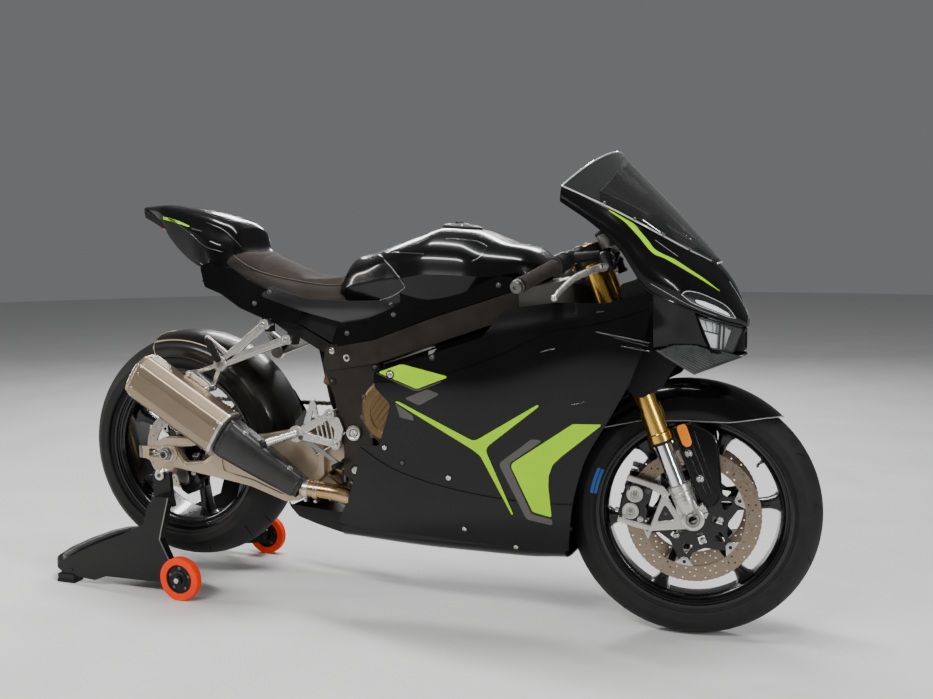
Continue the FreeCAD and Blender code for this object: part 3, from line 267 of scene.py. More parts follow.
def g_tube(path, r, n=14, cap=True, sect=None, up=None):
    """Tube along a path; r one radius or one per point. sect: unit cross-section instead of a circle."""
    P = np.asarray(path, float)
    m = len(P)
    rr = np.full(m, float(r)) if np.isscalar(r) else np.asarray(r, float)
    T = np.gradient(P, axis=0)
    T /= np.maximum(np.linalg.norm(T, axis=1)[:, None], 1e-12)
    u, v, _ = basis(T[0], up)
    if sect is None:
        a = np.linspace(0, 2 * math.pi, n, endpoint=False)
        S = np.stack([np.cos(a), np.sin(a)], axis=1)
    else:
        S = np.asarray(sect, float)
        n = len(S)
    V = []
    for i in range(m):
        if i:
            u = u - T[i] * float(u @ T[i])
            u /= np.linalg.norm(u)
            v = np.cross(T[i], u)
        V.append(P[i] + (S[:, :1] * u + S[:, 1:] * v) * rr[i])
    V = np.vstack(V)
    F = [(i * n + k, i * n + (k + 1) % n, (i + 1) * n + (k + 1) % n, (i + 1) * n + k) for i in range(m - 1) for k in range(n)]
    if cap:
        F.append(tuple(range(n))[::-1])
        F.append(tuple((m - 1) * n + k for k in range(n)))
    return V, F


def g_lathe(profile, origin, axis, n=48, closed=False, up=None, arc=None):
    """Turned form: profile of (radius, height along the axis). closed joins the profile's ends."""
    u, v, w = basis(axis, up)
    o = np.asarray(origin, float)
    pr = [tuple(p) for p in profile]
    full = arc is None
    a0, a1 = (0, 2 * math.pi) if full else (math.radians(arc[0]), math.radians(arc[1]))
    k = n if full else n + 1
    ang = a0 + (a1 - a0) * np.arange(k) / n
    V, rings = [], []
    for r, h in pr:
        if r < 1e-6 and full:
            rings.append([len(V)] * k)
            V.append(o + w * h)
        else:
            rings.append(list(range(len(V), len(V) + k)))
            V += [o + w * h + (u * math.cos(t) + v * math.sin(t)) * r for t in ang]
    F = []
    m = len(pr)
    for i in range(m if closed else m - 1):
        A, B = rings[i], rings[(i + 1) % m]
        for j in range(n):
            j2 = (j + 1) % k if full else j + 1
            q = []
            for c in (A[j], B[j], B[j2], A[j2]):
                if c not in q:
                    q.append(c)
            if len(q) > 2:
                F.append(tuple(q))
    if not full and closed:
        F.append(tuple(r[0] for r in rings))
        F.append(tuple(r[-1] for r in rings)[::-1])
    return np.array(V), F


def g_rows(rows, wrap=False, close=False, caps=False):
    """Skin through rows of points. wrap closes each row on itself."""
    R = np.asarray(rows, float)
    m, n = R.shape[:2]
    V = R.reshape(-1, 3)
    F = []
    for i in range(m if close else m - 1):
        i2 = (i + 1) % m
        for k in range(n if wrap else n - 1):
            k2 = (k + 1) % n
            F.append((i * n + k, i * n + k2, i2 * n + k2, i2 * n + k))
    if caps:
        F.append(tuple(range(n))[::-1])
        F.append(tuple((m - 1) * n + k for k in range(n)))
    return V, F


def g_skin(rows, t):
    """Skin through rows of points, given thickness t inwards (along minus the skin's normal)."""
    R = np.asarray(rows, float)
    m, n = R.shape[:2]
    du, dv = np.gradient(R, axis=0), np.gradient(R, axis=1)
    N = np.cross(du, dv)
    N /= np.maximum(np.linalg.norm(N, axis=2)[..., None], 1e-9)
    I = R - N * t
    V = np.vstack([R.reshape(-1, 3), I.reshape(-1, 3)])
    o = m * n
    F = []
    for i in range(m - 1):
        for k in range(n - 1):
            a, b, c, d = i * n + k, i * n + k + 1, (i + 1) * n + k + 1, (i + 1) * n + k
            F.append((a, b, c, d))
            F.append((a + o, d + o, c + o, b + o))
    for i in range(m - 1):
        for k in (0, n - 1):
            a, d = i * n + k, (i + 1) * n + k
            F.append((a, d, d + o, a + o))
    for k in range(n - 1):
        for i in (0, m - 1):
            a, b = i * n + k, i * n + k + 1
            F.append((a, b, b + o, a + o))
    return V, F


def g_plate(outline, t0, t1, holes=(), bev=0.8, place=None, seg=2):
    """Flat plate with rounded edges. outline in the plane, thickness t0..t1 along its normal.

    place(x, y, t) maps plane points to space; by default the plane is the side view (x, z) and t is y.
    """
    cu = bpy.data.curves.new("plate", "CURVE")
    cu.dimensions = "2D"
    cu.fill_mode = "BOTH"
    cu.extrude = max((abs(t1 - t0) / 2 - bev), 0.01)
    cu.bevel_depth = bev
    cu.bevel_resolution = seg
    cu.offset = -bev
    loops = [np.asarray(outline, float)]
    for h in holes:
        if len(h) == 3 and np.isscalar(h[0]):
            k = max(12, int(h[2] * 1.6)) if h[2] < 30 else 40
            loops.append(np.array([(h[0] + h[2] * math.cos(2 * math.pi * i / k), h[1] + h[2] * math.sin(2 * math.pi * i / k)) for i in range(k)]))
        else:
            loops.append(np.asarray(h, float))
    for j, lp in enumerate(loops):
        area = 0.5 * np.sum(lp[:, 0] * np.roll(lp[:, 1], -1) - np.roll(lp[:, 0], -1) * lp[:, 1])
        if (area < 0) != (j > 0):
            lp = lp[::-1]
        sp = cu.splines.new("POLY")
        sp.points.add(len(lp) - 1)
        sp.points.foreach_set("co", np.c_[lp, np.zeros(len(lp)), np.ones(len(lp))].ravel())
        sp.use_cyclic_u = True
    ob = bpy.data.objects.new("plate", cu)
    bpy.context.scene.collection.objects.link(ob)
    dg = bpy.context.evaluated_depsgraph_get()
    me = bpy.data.meshes.new_from_object(ob.evaluated_get(dg))
    V = np.empty(len(me.vertices) * 3)
    me.vertices.foreach_get("co", V)
    V = V.reshape(-1, 3)
    F = [tuple(p.vertices) for p in me.polygons]
    bpy.data.objects.remove(ob)
    bpy.data.curves.remove(cu)
    bpy.data.meshes.remove(me)
    mid = (t0 + t1) / 2
    if place is None:
        out = np.c_[V[:, 0], mid + V[:, 2], V[:, 1]]
    else:
        out = np.array([place(v[0], v[1], mid + v[2]) for v in V])
    return clean(out, F)


def clean(V, F, dist=1e-4):
    """Merge doubles and make the faces point outwards."""
    bm = bmesh.new()
    vs = [bm.verts.new(v) for v in V]
    for f in F:
        f = [i for k, i in enumerate(f) if i != f[k - 1]]
        if len(set(f)) > 2:
            try:
                bm.faces.new([vs[i] for i in f])
            except ValueError:
                pass
    bmesh.ops.remove_doubles(bm, verts=bm.verts[:], dist=dist)
    bmesh.ops.dissolve_degenerate(bm, dist=dist, edges=bm.edges[:])
    loose = [v for v in bm.verts if not v.link_faces]
    bmesh.ops.delete(bm, geom=loose, context="VERTS")
    bmesh.ops.recalc_face_normals(bm, faces=bm.faces[:])
    bm.verts.index_update()
    out = np.array([v.co[:] for v in bm.verts]), [tuple(v.index for v in f.verts) for f in bm.faces]
    bm.free()
    return out


def g_bev(V, F, width, seg=2, angle=25):
    """The same solid with its sharp edges rounded."""
    bm = bmesh.new()
    vs = [bm.verts.new(v) for v in V]
    for f in F:
        try:
            bm.faces.new([vs[i] for i in f])
        except ValueError:
            pass
    bmesh.ops.remove_doubles(bm, verts=bm.verts[:], dist=1e-3)
    bmesh.ops.recalc_face_normals(bm, faces=bm.faces[:])
    es = [e for e in bm.edges if len(e.link_faces) == 2 and e.calc_face_angle(0) > math.radians(angle)]
    bmesh.ops.bevel(bm, geom=es, offset=width, segments=seg, profile=0.5, affect="EDGES", clamp_overlap=True)
    bm.verts.index_update()
    out = np.array([v.co[:] for v in bm.verts]), [tuple(v.index for v in f.verts) for f in bm.faces]
    bm.free()
    return out


def g_box(x0, x1, y0, y1, z0, z1, bev=1.5, seg=2):
    V = np.array([(x, y, z) for x in (x0, x1) for y in (y0, y1) for z in (z0, z1)], float)
    F = [(0, 1, 3, 2), (4, 6, 7, 5), (0, 4, 5, 1), (2, 3, 7, 6), (0, 2, 6, 4), (1, 5, 7, 3)]
    return g_bev(V, F, bev, seg)


def g_prism(poly, t0, t1, bev=1.5, place=None, seg=2):
    """Prism over a polygon in the side view, its edges bevelled."""
    P = np.asarray(poly, float)
    n = len(P)
    if place is None:
        V = np.vstack([np.c_[P[:, 0], np.full(n, t), P[:, 1]] for t in (t0, t1)])
    else:
        V = np.array([place(p[0], p[1], t) for t in (t0, t1) for p in P])
    F = [tuple(range(n)), tuple(range(n, 2 * n))[::-1]] + [(k, (k + 1) % n, n + (k + 1) % n, n + k) for k in range(n)]
    return g_bev(V, F, bev, seg) if bev else clean(V, F)


def g_bolt(o, axis, r=5.0, h=4.0, kind="socket", washer=0.0):
    """Bolt head standing on o along axis, with its own socket or hexagon."""
    parts = []
    o = np.asarray(o, float)
    w = unit(axis)
    if washer:
        parts.append(g_lathe([(0, -0.5), (washer, -0.5), (washer, 1.1), (washer - 0.6, 1.6), (0, 1.6)], o, w, 24))
        o = o + w * 1.5
    if kind == "hex":
        u, v, _ = basis(w)
        hexa = [o + (u * math.cos(a) + v * math.sin(a)) * r for a in np.arange(6) * math.pi / 3]
        V = np.array(hexa + [p + w * h for p in hexa])
        F = [tuple(range(6)), tuple(range(6, 12))[::-1]] + [(k, (k + 1) % 6, 6 + (k + 1) % 6, 6 + k) for k in range(6)]
        parts.append(g_bev(V, F, r * 0.09, 1))
        parts.append(g_lathe([(0, h), (r * 0.5, h), (r * 0.5, h + r * 0.16), (r * 0.42, h + r * 0.24), (0, h + r * 0.24)], o, w, 16))
    elif kind == "button":
        pr = [(r * 0.36, h * 0.35), (r * 0.36, h), (r * 0.55, h * 0.97), (r * 0.8, h * 0.75), (r * 0.95, h * 0.4), (r, 0), (0, -0.5)]
        parts.append(g_lathe([(0, h * 0.35)] + pr, o, w, 24))
    else:
        pr = [(r * 0.48, h * 0.35), (r * 0.48, h), (r * 0.86, h), (r, h * 0.86), (r, 0), (0, -0.5)]
        parts.append(g_lathe([(0, h * 0.35)] + pr, o, w, 24))
    return join(parts)


def join(parts):
    V, F, o = [], [], 0
    for v, f in parts:
        V.append(np.asarray(v))
        F += [tuple(i + o for i in q) for q in f]
        o += len(v)
    return np.vstack(V), F


def mirror(part):
    V, F = part
    V = np.array(V)
    V[:, 1] *= -1
    return V, [tuple(f)[::-1] for f in F]


def moved(part, d):
    return np.asarray(part[0]) + np.asarray(d, float), part[1]


def both(part):
    return join([part, mirror(part)])


MADE = {}


def piece(name, parts, body="root", steer=None, sharp=38, rep=(), clean_it=True, bevel=0.0):
    """One Blender object. parts: list of ((V, F), material)."""
    V, F, mi, mats, o = [], [], [], [], 0
    for (v, f), m in parts:
        if m not in mats:
            mats.append(m)
        k = mats.index(m)
        V.append(np.asarray(v, float))
        F += [tuple(i + o for i in q) for q in f]
        mi += [k] * len(f)
        o += len(v)
    V = np.vstack(V)
    if steer is None:
        steer = body in ("steering", "front_wheel")
    if steer:
        V = turned(V)
    V = (V - a3(OX, OY, 0)) / 1000.0
    me = bpy.data.meshes.new(name)
    bm = bmesh.new()
    vs = [bm.verts.new(v) for v in V]
    for q, k in zip(F, mi):
        q = [i for j, i in enumerate(q) if i != q[j - 1]]
        if len(set(q)) < 3:
            continue
        try:
            f = bm.faces.new([vs[i] for i in q])
            f.material_index = k
        except ValueError:
            pass
    if clean_it:
        bmesh.ops.recalc_face_normals(bm, faces=bm.faces[:])
    loose = [v for v in bm.verts if not v.link_faces]
    bmesh.ops.delete(bm, geom=loose, context="VERTS")
    for f in bm.faces:
        f.smooth = True
    bm.to_mesh(me)
    bm.free()
    for m in mats:
        me.materials.append(m)
    me.set_sharp_from_angle(angle=math.radians(sharp))
    ob = bpy.data.objects.new(name, me)
    bpy.context.scene.collection.objects.link(ob)
    if bevel:
        b = ob.modifiers.new("round", "BEVEL")
        b.width, b.segments, b.limit_method, b.angle_limit = bevel / 1000, 2, "ANGLE", math.radians(35)
    wn = ob.modifiers.new("flat", "WEIGHTED_NORMAL")
    wn.keep_sharp, wn.weight = True, 60
    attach(ob, body)
    if rep:
        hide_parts(*rep)
    MADE[name] = ob
    return ob


def dress(node, mat, bevel=1.2, angle=32, weld=True):
    """A kept CAD node: its material, and its sharp edges rounded by modifiers."""
    o = NODES[node]
    o.data.materials.clear()
    o.data.materials.append(mat)
    if bevel:
        if weld:
            w = o.modifiers.new("weld", "WELD")
            w.merge_threshold = 0.00002
        b = o.modifiers.new("round", "BEVEL")
        b.width, b.segments, b.limit_method, b.angle_limit = bevel / 1000, 2, "ANGLE", math.radians(angle)
        b.use_clamp_overlap = True
        b.harden_normals = True
    return o


# ------------------------------------------------------------------ materials, all made of nodes
class Nodes:
    def __init__(self, name):
        self.m = bpy.data.materials.new(name)
        self.m.use_nodes = True
        self.t = self.m.node_tree
        self.t.nodes.clear()
        self.out = self.n("ShaderNodeOutputMaterial")
        self.b = self.n("ShaderNodeBsdfPrincipled")
        self.link(self.b.outputs[0], self.out.inputs["Surface"])
        self.co = self.n("ShaderNodeTexCoord").outputs["Object"]

    def n(self, kind, **kw):
        x = self.t.nodes.new(kind)
        for k, v in kw.items():
            setattr(x, k, v)
        return x

    def link(self, a, b):
        self.t.links.new(a, b)

    def put(self, sock, v):
        if isinstance(v, (int, float, tuple, list)):
            sock.default_value = v
        else:
            self.link(v, sock)

    def math(self, op, a, b=0.0, c=None, clamp=False):
        x = self.n("ShaderNodeMath", operation=op, use_clamp=clamp)
        self.put(x.inputs[0], a)
        self.put(x.inputs[1], b)
        if c is not None:
            self.put(x.inputs[2], c)
        return x.outputs[0]

    def mapped(self, scale=(1, 1, 1), loc=(0, 0, 0), rot=(0, 0, 0), co=None):
        x = self.n("ShaderNodeMapping")
        self.link(co or self.co, x.inputs["Vector"])
        x.inputs["Scale"].default_value = scale
        x.inputs["Location"].default_value = loc
        x.inputs["Rotation"].default_value = rot
        return x.outputs[0]

    def noise(self, scale, detail=2.0, rough=0.5, vec=None):
        x = self.n("ShaderNodeTexNoise")
        self.link(vec or self.co, x.inputs["Vector"])
        x.inputs["Scale"].default_value = scale
        x.inputs["Detail"].default_value = detail
        x.inputs["Roughness"].default_value = rough
        return x.outputs["Fac"]

    def range(self, v, a, b, lo=0.3, hi=0.7):
        x = self.n("ShaderNodeMapRange")
        self.put(x.inputs["Value"], v)
        x.inputs["From Min"].default_value = lo
        x.inputs["From Max"].default_value = hi
        x.inputs["To Min"].default_value = a
        x.inputs["To Max"].default_value = b
        return x.outputs[0]

    def mix(self, f, a, b):
        x = self.n("ShaderNodeMix", data_type="RGBA")
        self.put(x.inputs["Factor"], f)
        self.put(x.inputs["A"], (*a, 1) if isinstance(a, tuple) and len(a) == 3 else a)
        self.put(x.inputs["B"], (*b, 1) if isinstance(b, tuple) and len(b) == 3 else b)
        return x.outputs["Result"]

    def bump(self, h, strength=0.3, dist=0.0005, normal=None):
        x = self.n("ShaderNodeBump")
        x.inputs["Strength"].default_value = strength
        x.inputs["Distance"].default_value = dist
        self.put(x.inputs["Height"], h)
        if normal is not None:
            self.link(normal, x.inputs["Normal"])
        return x.outputs["Normal"]

    def set(self, **kw):
        names = {"color": "Base Color", "rough": "Roughness", "metal": "Metallic", "normal": "Normal", "coat": "Coat Weight",
                 "coat_rough": "Coat Roughness", "spec": "Specular IOR Level", "sheen": "Sheen Weight", "sheen_rough": "Sheen Roughness",
                 "trans": "Transmission Weight", "ior": "IOR", "alpha": "Alpha", "aniso": "Anisotropic", "emit": "Emission Color",
                 "emit_s": "Emission Strength", "coat_n": "Coat Normal"}
        for k, v in kw.items():
            if isinstance(v, tuple) and len(v) == 3:
                v = (*v, 1)
            self.put(self.b.inputs[names[k]], v)
        return self


def plain(name, c1, c2, rough, metal=0.0, scale=30.0, bump=0.0, bump_scale=400.0, dist=0.0003, stretch=(1, 1, 1), detail=3.0, **kw):
    """Two close colours and a roughness range spread by noise, with an optional fine bump."""
    g = Nodes(name)
    vec = g.mapped(stretch)
    f = g.noise(scale, detail, 0.55, vec)
    g.set(color=g.mix(g.range(f, 0.0, 1.0), c1, c2), rough=g.range(f, rough[0], rough[1]), metal=metal)
    if bump:
        g.set(normal=g.bump(g.noise(bump_scale, 2.0, 0.5, vec), bump, dist))
    g.set(**kw)
    return g.m


def carbon(name, pitch=2.0, axes=("X", "Z"), dark=(0.010, 0.010, 0.011), light=(0.075, 0.076, 0.08), rough=0.28, coat=0.9, turn=0.0, ribs=False):
    """Twill weave of flat tows under lacquer."""
    g = Nodes(name)
    s = 1000.0 / pitch
    vec = g.mapped((s, s, s), rot=(0, 0, turn) if axes == ("X", "Y") else (0, turn, 0))
    sep = g.n("ShaderNodeSeparateXYZ")
    g.link(vec, sep.inputs[0])
    u, v = sep.outputs[axes[0]], sep.outputs[axes[1]]
    a, b = g.math("FLOOR", u), g.math("FLOOR", v)
    t = g.math("FLOORED_MODULO", g.math("ADD", a, b), 4.0)
    warp = g.math("LESS_THAN", t, 1.5)
    fu = g.math("SINE", g.math("MULTIPLY", g.math("FRACT", u), math.pi))
    fv = g.math("SINE", g.math("MULTIPLY", g.math("FRACT", v), math.pi))
    h = g.math("ADD", g.math("MULTIPLY", warp, fu), g.math("MULTIPLY", g.math("SUBTRACT", 1.0, warp), fv))
    base = g.mix(warp, dark, light)
    big = g.noise(9.0, 2.0)
    # the colour darkens towards each tow's edges: painted shade in the gaps between tows
    col = g.mix(g.math("MULTIPLY", g.math("SUBTRACT", 1.0, h), 0.75), base, (0.004, 0.004, 0.004))
    col = g.mix(g.range(big, 0.0, 0.25), col, (0.03, 0.03, 0.032))
    g.set(color=col, rough=g.range(big, rough, rough + 0.08), metal=0.25, normal=g.bump(h, 0.35, 0.0002), coat=coat, coat_rough=0.05)
    return g.m


def turned_metal(name, c1, c2, centre, rough=(0.22, 0.4), axis="Y", rings=1400.0, metal=1.0, bump=0.12, **kw):
    """Metal with fine circular tool marks round an axis. centre in bike millimetres."""
    g = Nodes(name)
    loc = (-(centre[0] - OX) / 1000.0, -(centre[1] - OY) / 1000.0, -centre[2] / 1000.0)
    sep = g.n("ShaderNodeSeparateXYZ")
    g.link(g.mapped(loc=loc), sep.inputs[0])
    sq = [g.math("MULTIPLY", sep.outputs[k], sep.outputs[k]) for k in ("X", "Y", "Z")]
    r = g.math("SQRT", g.math("ADD", g.math("ADD", sq[0], sq[1]), sq[2]))
    comb = g.n("ShaderNodeCombineXYZ")
    g.link(g.math("MULTIPLY", r, rings), comb.inputs[0])
    ring = g.n("ShaderNodeTexNoise", noise_dimensions="3D")
    g.link(comb.outputs[0], ring.inputs["Vector"])
    ring.inputs["Scale"].default_value = 1.0
    f = g.math("ADD", g.math("MULTIPLY", ring.outputs["Fac"], 0.5), g.math("MULTIPLY", g.noise(60.0, 4.0), 0.5))
    g.set(color=g.mix(g.range(f, 0.0, 1.0, 0.35, 0.65), c1, c2), rough=g.range(f, rough[0], rough[1], 0.35, 0.65), metal=metal,
          normal=g.bump(ring.outputs["Fac"], bump, 0.0001))
    g.set(**kw)
    return g.m


def brushed(name, c1, c2, along, rough=(0.25, 0.42), metal=1.0, fine=900.0, bump=0.1, **kw):
    """Metal brushed along one direction (a vector in space)."""
    g = Nodes(name)
    d = Vector(along).normalized()
    e = Vector((0, 0, 1)) if abs(d.z) < 0.9 else Vector((1, 0, 0))
    p = d.cross(e).normalized()
    q = d.cross(p).normalized()
    comb = g.n("ShaderNodeCombineXYZ")
    for i, (vv, s) in enumerate(((d, fine * 0.03), (p, fine), (q, fine))):
        dot = g.n("ShaderNodeVectorMath", operation="DOT_PRODUCT")
        g.link(g.co, dot.inputs[0])
        dot.inputs[1].default_value = vv * s
        g.link(dot.outputs["Value"], comb.inputs[i])
    f = g.n("ShaderNodeTexNoise")
    g.link(comb.outputs[0], f.inputs["Vector"])
    f.inputs["Scale"].default_value = 1.0
    f.inputs["Detail"].default_value = 3.0
    big = g.noise(12.0, 3.0)
    mix = g.math("ADD", g.math("MULTIPLY", f.outputs["Fac"], 0.6), g.math("MULTIPLY", big, 0.4))
    g.set(color=g.mix(g.range(mix, 0.0, 1.0, 0.35, 0.65), c1, c2), rough=g.range(mix, rough[0], rough[1], 0.35, 0.65), metal=metal,
          normal=g.bump(f.outputs["Fac"], bump, 0.0001))
    g.set(**kw)
    return g.m


GLOSS = plain("gloss_black_paint", (0.0022, 0.0022, 0.0025), (0.0032, 0.0032, 0.0036), (0.18, 0.26), scale=6.0, bump=0.03, bump_scale=900.0, dist=0.0001, coat=0.34, coat_rough=0.035, spec=0.10)
# the film carries a fixed glow: painted light that makes it brighter than the studio lamps alone
NEON = plain("neon_film_painted_glow", (0.27, 0.56, 0.0), (0.31, 0.61, 0.0), (0.40, 0.50), scale=20.0, bump=0.03, bump_scale=700.0, dist=0.0001, coat=0.04, coat_rough=0.1, spec=0.06, emit=(0.42, 0.90, 0.0), emit_s=0.10)
# dark grey: the real film graphics, and also painted highlights along the winglets' edges
GREY_FILM_AND_EDGE_HIGHLIGHT = plain("dark_grey_film_and_edge_highlight", (0.040, 0.038, 0.034), (0.050, 0.047, 0.043), (0.30, 0.38), metal=0.3, scale=300.0, coat=0.6, coat_rough=0.08)
# light grey for thin beads along edges: painted highlights of the bodywork's edges
EDGE_HIGHLIGHT_LINE = plain("painted_edge_highlight", (0.16, 0.16, 0.165), (0.22, 0.22, 0.225), (0.2, 0.3), scale=40.0, coat=0.8, coat_rough=0.05)
SATIN = plain("satin_black_moulding", (0.0050, 0.0050, 0.0050), (0.0085, 0.0085, 0.0085), (0.40, 0.52), scale=60.0, bump=0.25, bump_scale=1400.0, dist=0.0002, spec=0.2)
# black for fills inside slots and outlets: painted shade where the hollows would fall dark
SHADE_FILL = plain("painted_shade_fill_black", (0.008, 0.008, 0.008), (0.013, 0.013, 0.013), (0.55, 0.7), scale=40.0, bump=0.2, bump_scale=900.0)
FRAME = plain("frame_dark_coat", (0.0125, 0.0100, 0.0055), (0.0190, 0.0150, 0.0085), (0.36, 0.48), metal=0.5, scale=25.0, bump=0.18, bump_scale=1100.0, dist=0.0002, coat=0.15, coat_rough=0.2)
ARMCOAT = plain("swingarm_warm_alloy", (0.39, 0.305, 0.215), (0.46, 0.37, 0.27), (0.30, 0.42), metal=0.7, scale=25.0, bump=0.15, bump_scale=900.0, dist=0.0002)
ENGINE = plain("engine_grey_coat", (0.014, 0.014, 0.0145), (0.023, 0.023, 0.0235), (0.45, 0.6), metal=0.5, scale=40.0, bump=0.3, bump_scale=700.0, dist=0.0004)
RUBBER = plain("tyre_rubber", (0.0080, 0.0080, 0.0080), (0.0160, 0.0157, 0.0152), (0.60, 0.76), scale=35.0, bump=0.35, bump_scale=1300.0, dist=0.0003, spec=0.22)
BLUEPATCH = plain("blue_sidewall_patch", (0.010, 0.075, 0.30), (0.016, 0.10, 0.36), (0.5, 0.6), scale=60.0, bump=0.2, bump_scale=900.0)
RIM = plain("rim_black_coat", (0.0035, 0.0035, 0.004), (0.0060, 0.0060, 0.0065), (0.24, 0.34), scale=25.0, bump=0.08, bump_scale=900.0, dist=0.0001, coat=0.5, coat_rough=0.08, spec=0.2)
ALLOY = plain("machined_alloy", (0.51, 0.49, 0.455), (0.56, 0.54, 0.505), (0.26, 0.31), metal=0.85, scale=60.0, bump=0.03, bump_scale=1500.0, dist=0.0001)
ALLOYDK = plain("grey_alloy", (0.20, 0.195, 0.185), (0.27, 0.265, 0.25), (0.32, 0.44), metal=0.95, scale=40.0, bump=0.15, bump_scale=1100.0, dist=0.0002)
GOLD = brushed("gold_anodised", (0.62, 0.36, 0.06), (0.74, 0.46, 0.10), a3(-0.37, 0, 0.93), (0.20, 0.30), coat=0.3, coat_rough=0.1)
CHROME = brushed("chrome_tube", (0.66, 0.66, 0.67), (0.74, 0.74, 0.75), a3(-0.37, 0, 0.93), (0.06, 0.12), bump=0.02)
STEEL = plain("bright_steel", (0.48, 0.47, 0.45), (0.58, 0.57, 0.55), (0.20, 0.34), metal=1.0, scale=80.0, bump=0.06, bump_scale=1500.0, dist=0.0001)
DARKSTEEL = plain("dark_steel", (0.09, 0.088, 0.085), (0.14, 0.137, 0.13), (0.32, 0.45), metal=1.0, scale=80.0, bump=0.1, bump_scale=1200.0, dist=0.0001)
CHAINST = plain("chain_steel", (0.26, 0.23, 0.17), (0.36, 0.32, 0.25), (0.28, 0.45), metal=1.0, scale=120.0, bump=0.1, bump_scale=1200.0, dist=0.0001)
DISC_F = plain("front_disc_steel", (0.235, 0.185, 0.135), (0.30, 0.24, 0.18), (0.26, 0.36), metal=1.0, scale=120.0, bump=0.05, bump_scale=1800.0, dist=0.0001)
DISC_R = plain("rear_disc_steel", (0.33, 0.295, 0.25), (0.41, 0.37, 0.32), (0.26, 0.36), metal=1.0, scale=120.0, bump=0.05, bump_scale=1800.0, dist=0.0001)
BRONZE = plain("bronze_cover", (0.150, 0.095, 0.045), (0.195, 0.125, 0.062), (0.33, 0.45), metal=0.85, scale=22.0, bump=0.3, bump_scale=700.0, dist=0.0003)
SILAX = a3(254, 4, -153)
TITAN = brushed("silencer_titanium", (0.265, 0.205, 0.145), (0.300, 0.235, 0.170), SILAX, (0.34, 0.42), fine=900.0, bump=0.05)
TITANLT = brushed("silencer_band", (0.36, 0.30, 0.23), (0.46, 0.39, 0.31), SILAX, (0.24, 0.36), fine=600.0)
PIPE = plain("heated_pipe", (0.42, 0.25, 0.10), (0.50, 0.36, 0.20), (0.20, 0.32), metal=1.0, scale=14.0, bump=0.06, bump_scale=900.0, dist=0.0001)
SHIELD = plain("heat_shield_black", (0.006, 0.006, 0.006), (0.012, 0.012, 0.012), (0.34, 0.46), scale=30.0, bump=0.15, bump_scale=1100.0, dist=0.0002)
SUEDE = plain("seat_suede", (0.0200, 0.0150, 0.0120), (0.0340, 0.0265, 0.0215), (0.82, 0.92), scale=45.0, bump=0.5, bump_scale=1500.0, dist=0.0004, sheen=0.08, sheen_rough=0.5, spec=0.12)
# darker brown than the suede top: leather grain, with painted shade on the seat's side in its tone
SIDE_LEATHER_SHADED = plain("seat_side_leather_painted_shade", (0.0150, 0.0110, 0.0082), (0.0245, 0.0185, 0.0140), (0.58, 0.70), scale=30.0, bump=0.4, bump_scale=520.0, dist=0.0005, spec=0.15)
PIPING = plain("seat_piping", (0.050, 0.039, 0.030), (0.070, 0.055, 0.042), (0.5, 0.6), scale=60.0, bump=0.2, bump_scale=900.0)
GRIP = plain("grip_rubber", (0.0150, 0.0120, 0.0105), (0.0270, 0.0220, 0.0190), (0.6, 0.75), scale=60.0, bump=0.4, bump_scale=1200.0, spec=0.2)
# the rollers' rubber carries a fixed glow: painted light, not a lamp
ORANGE = plain("orange_wheel_rubber_painted_glow", (0.74, 0.030, 0.002), (0.82, 0.042, 0.004), (0.50, 0.62), scale=35.0, bump=0.2, bump_scale=600.0, spec=0.08, emit=(1.0, 0.05, 0.0), emit_s=0.10)
AMBER = plain("amber_reflector", (0.66, 0.17, 0.0), (0.78, 0.23, 0.004), (0.16, 0.24), scale=300.0, bump=0.5, bump_scale=900.0, coat=0.6, coat_rough=0.03, spec=0.2)
STANDBLK = plain("stand_black_coat", (0.0060, 0.0060, 0.0060), (0.0100, 0.0100, 0.0098), (0.36, 0.48), scale=30.0, bump=0.3, bump_scale=900.0, dist=0.0003, spec=0.25)
CARBON_SIDE = carbon("carbon_side", 2.1, ("X", "Z"), turn=0.35, dark=(0.004, 0.004, 0.0045), light=(0.016, 0.0165, 0.018), coat=0.5)
CARBON_TOP = carbon("carbon_top", 2.1, ("X", "Y"), turn=0.3, dark=(0.004, 0.004, 0.0045), light=(0.016, 0.0165, 0.018), coat=0.5)


def smoked(name, tint, alpha, rough=0.04):
    g = Nodes(name)
    f = g.noise(5.0, 2.0)
    g.set(color=g.mix(g.range(f, 0.0, 1.0), tint, tuple(c * 1.3 for c in tint)), rough=g.range(f, rough, rough + 0.03), spec=0.6,
          alpha=g.range(f, alpha - 0.03, alpha + 0.03), coat=1.0, coat_rough=0.02,
          normal=g.bump(g.noise(300.0, 2.0), 0.02, 0.0001))
    g.m.surface_render_method = "BLENDED" if hasattr(g.m, "surface_render_method") else g.m.blend_method
    return g.m


SCREEN = smoked("smoked_screen", (0.012, 0.0125, 0.012), 0.62)
# pale grey: painted highlight along the screen's edges and round the daytime lamp; the headlamps' inner floors use it
# too
SCREENEDGE = plain("screen_edge", (0.42, 0.43, 0.42), (0.52, 0.53, 0.52), (0.1, 0.2), scale=60.0, coat=1.0)
LENS = smoked("lamp_lens", (0.22, 0.23, 0.23), 0.08, 0.02)
DARKLENS = smoked("dark_lens", (0.012, 0.013, 0.014), 0.80, 0.03)
LIGHTBAR = plain("light_bar_white", (0.74, 0.77, 0.78), (0.84, 0.87, 0.88), (0.25, 0.35), scale=90.0, bump=0.3, bump_scale=500.0, coat=1.0, emit=(0.85, 0.93, 1.0), emit_s=0.16)
MIRROR = plain("lamp_reflector", (0.72, 0.73, 0.74), (0.82, 0.83, 0.84), (0.05, 0.10), metal=1.0, scale=20.0)
TAILRED = plain("tail_lens_red", (0.20, 0.004, 0.004), (0.30, 0.008, 0.008), (0.10, 0.18), scale=300.0, bump=0.4, bump_scale=700.0, coat=1.0, coat_rough=0.03)
GLASSDK = plain("display_glass", (0.004, 0.005, 0.006), (0.010, 0.012, 0.014), (0.05, 0.09), scale=12.0, coat=1.0, coat_rough=0.02)


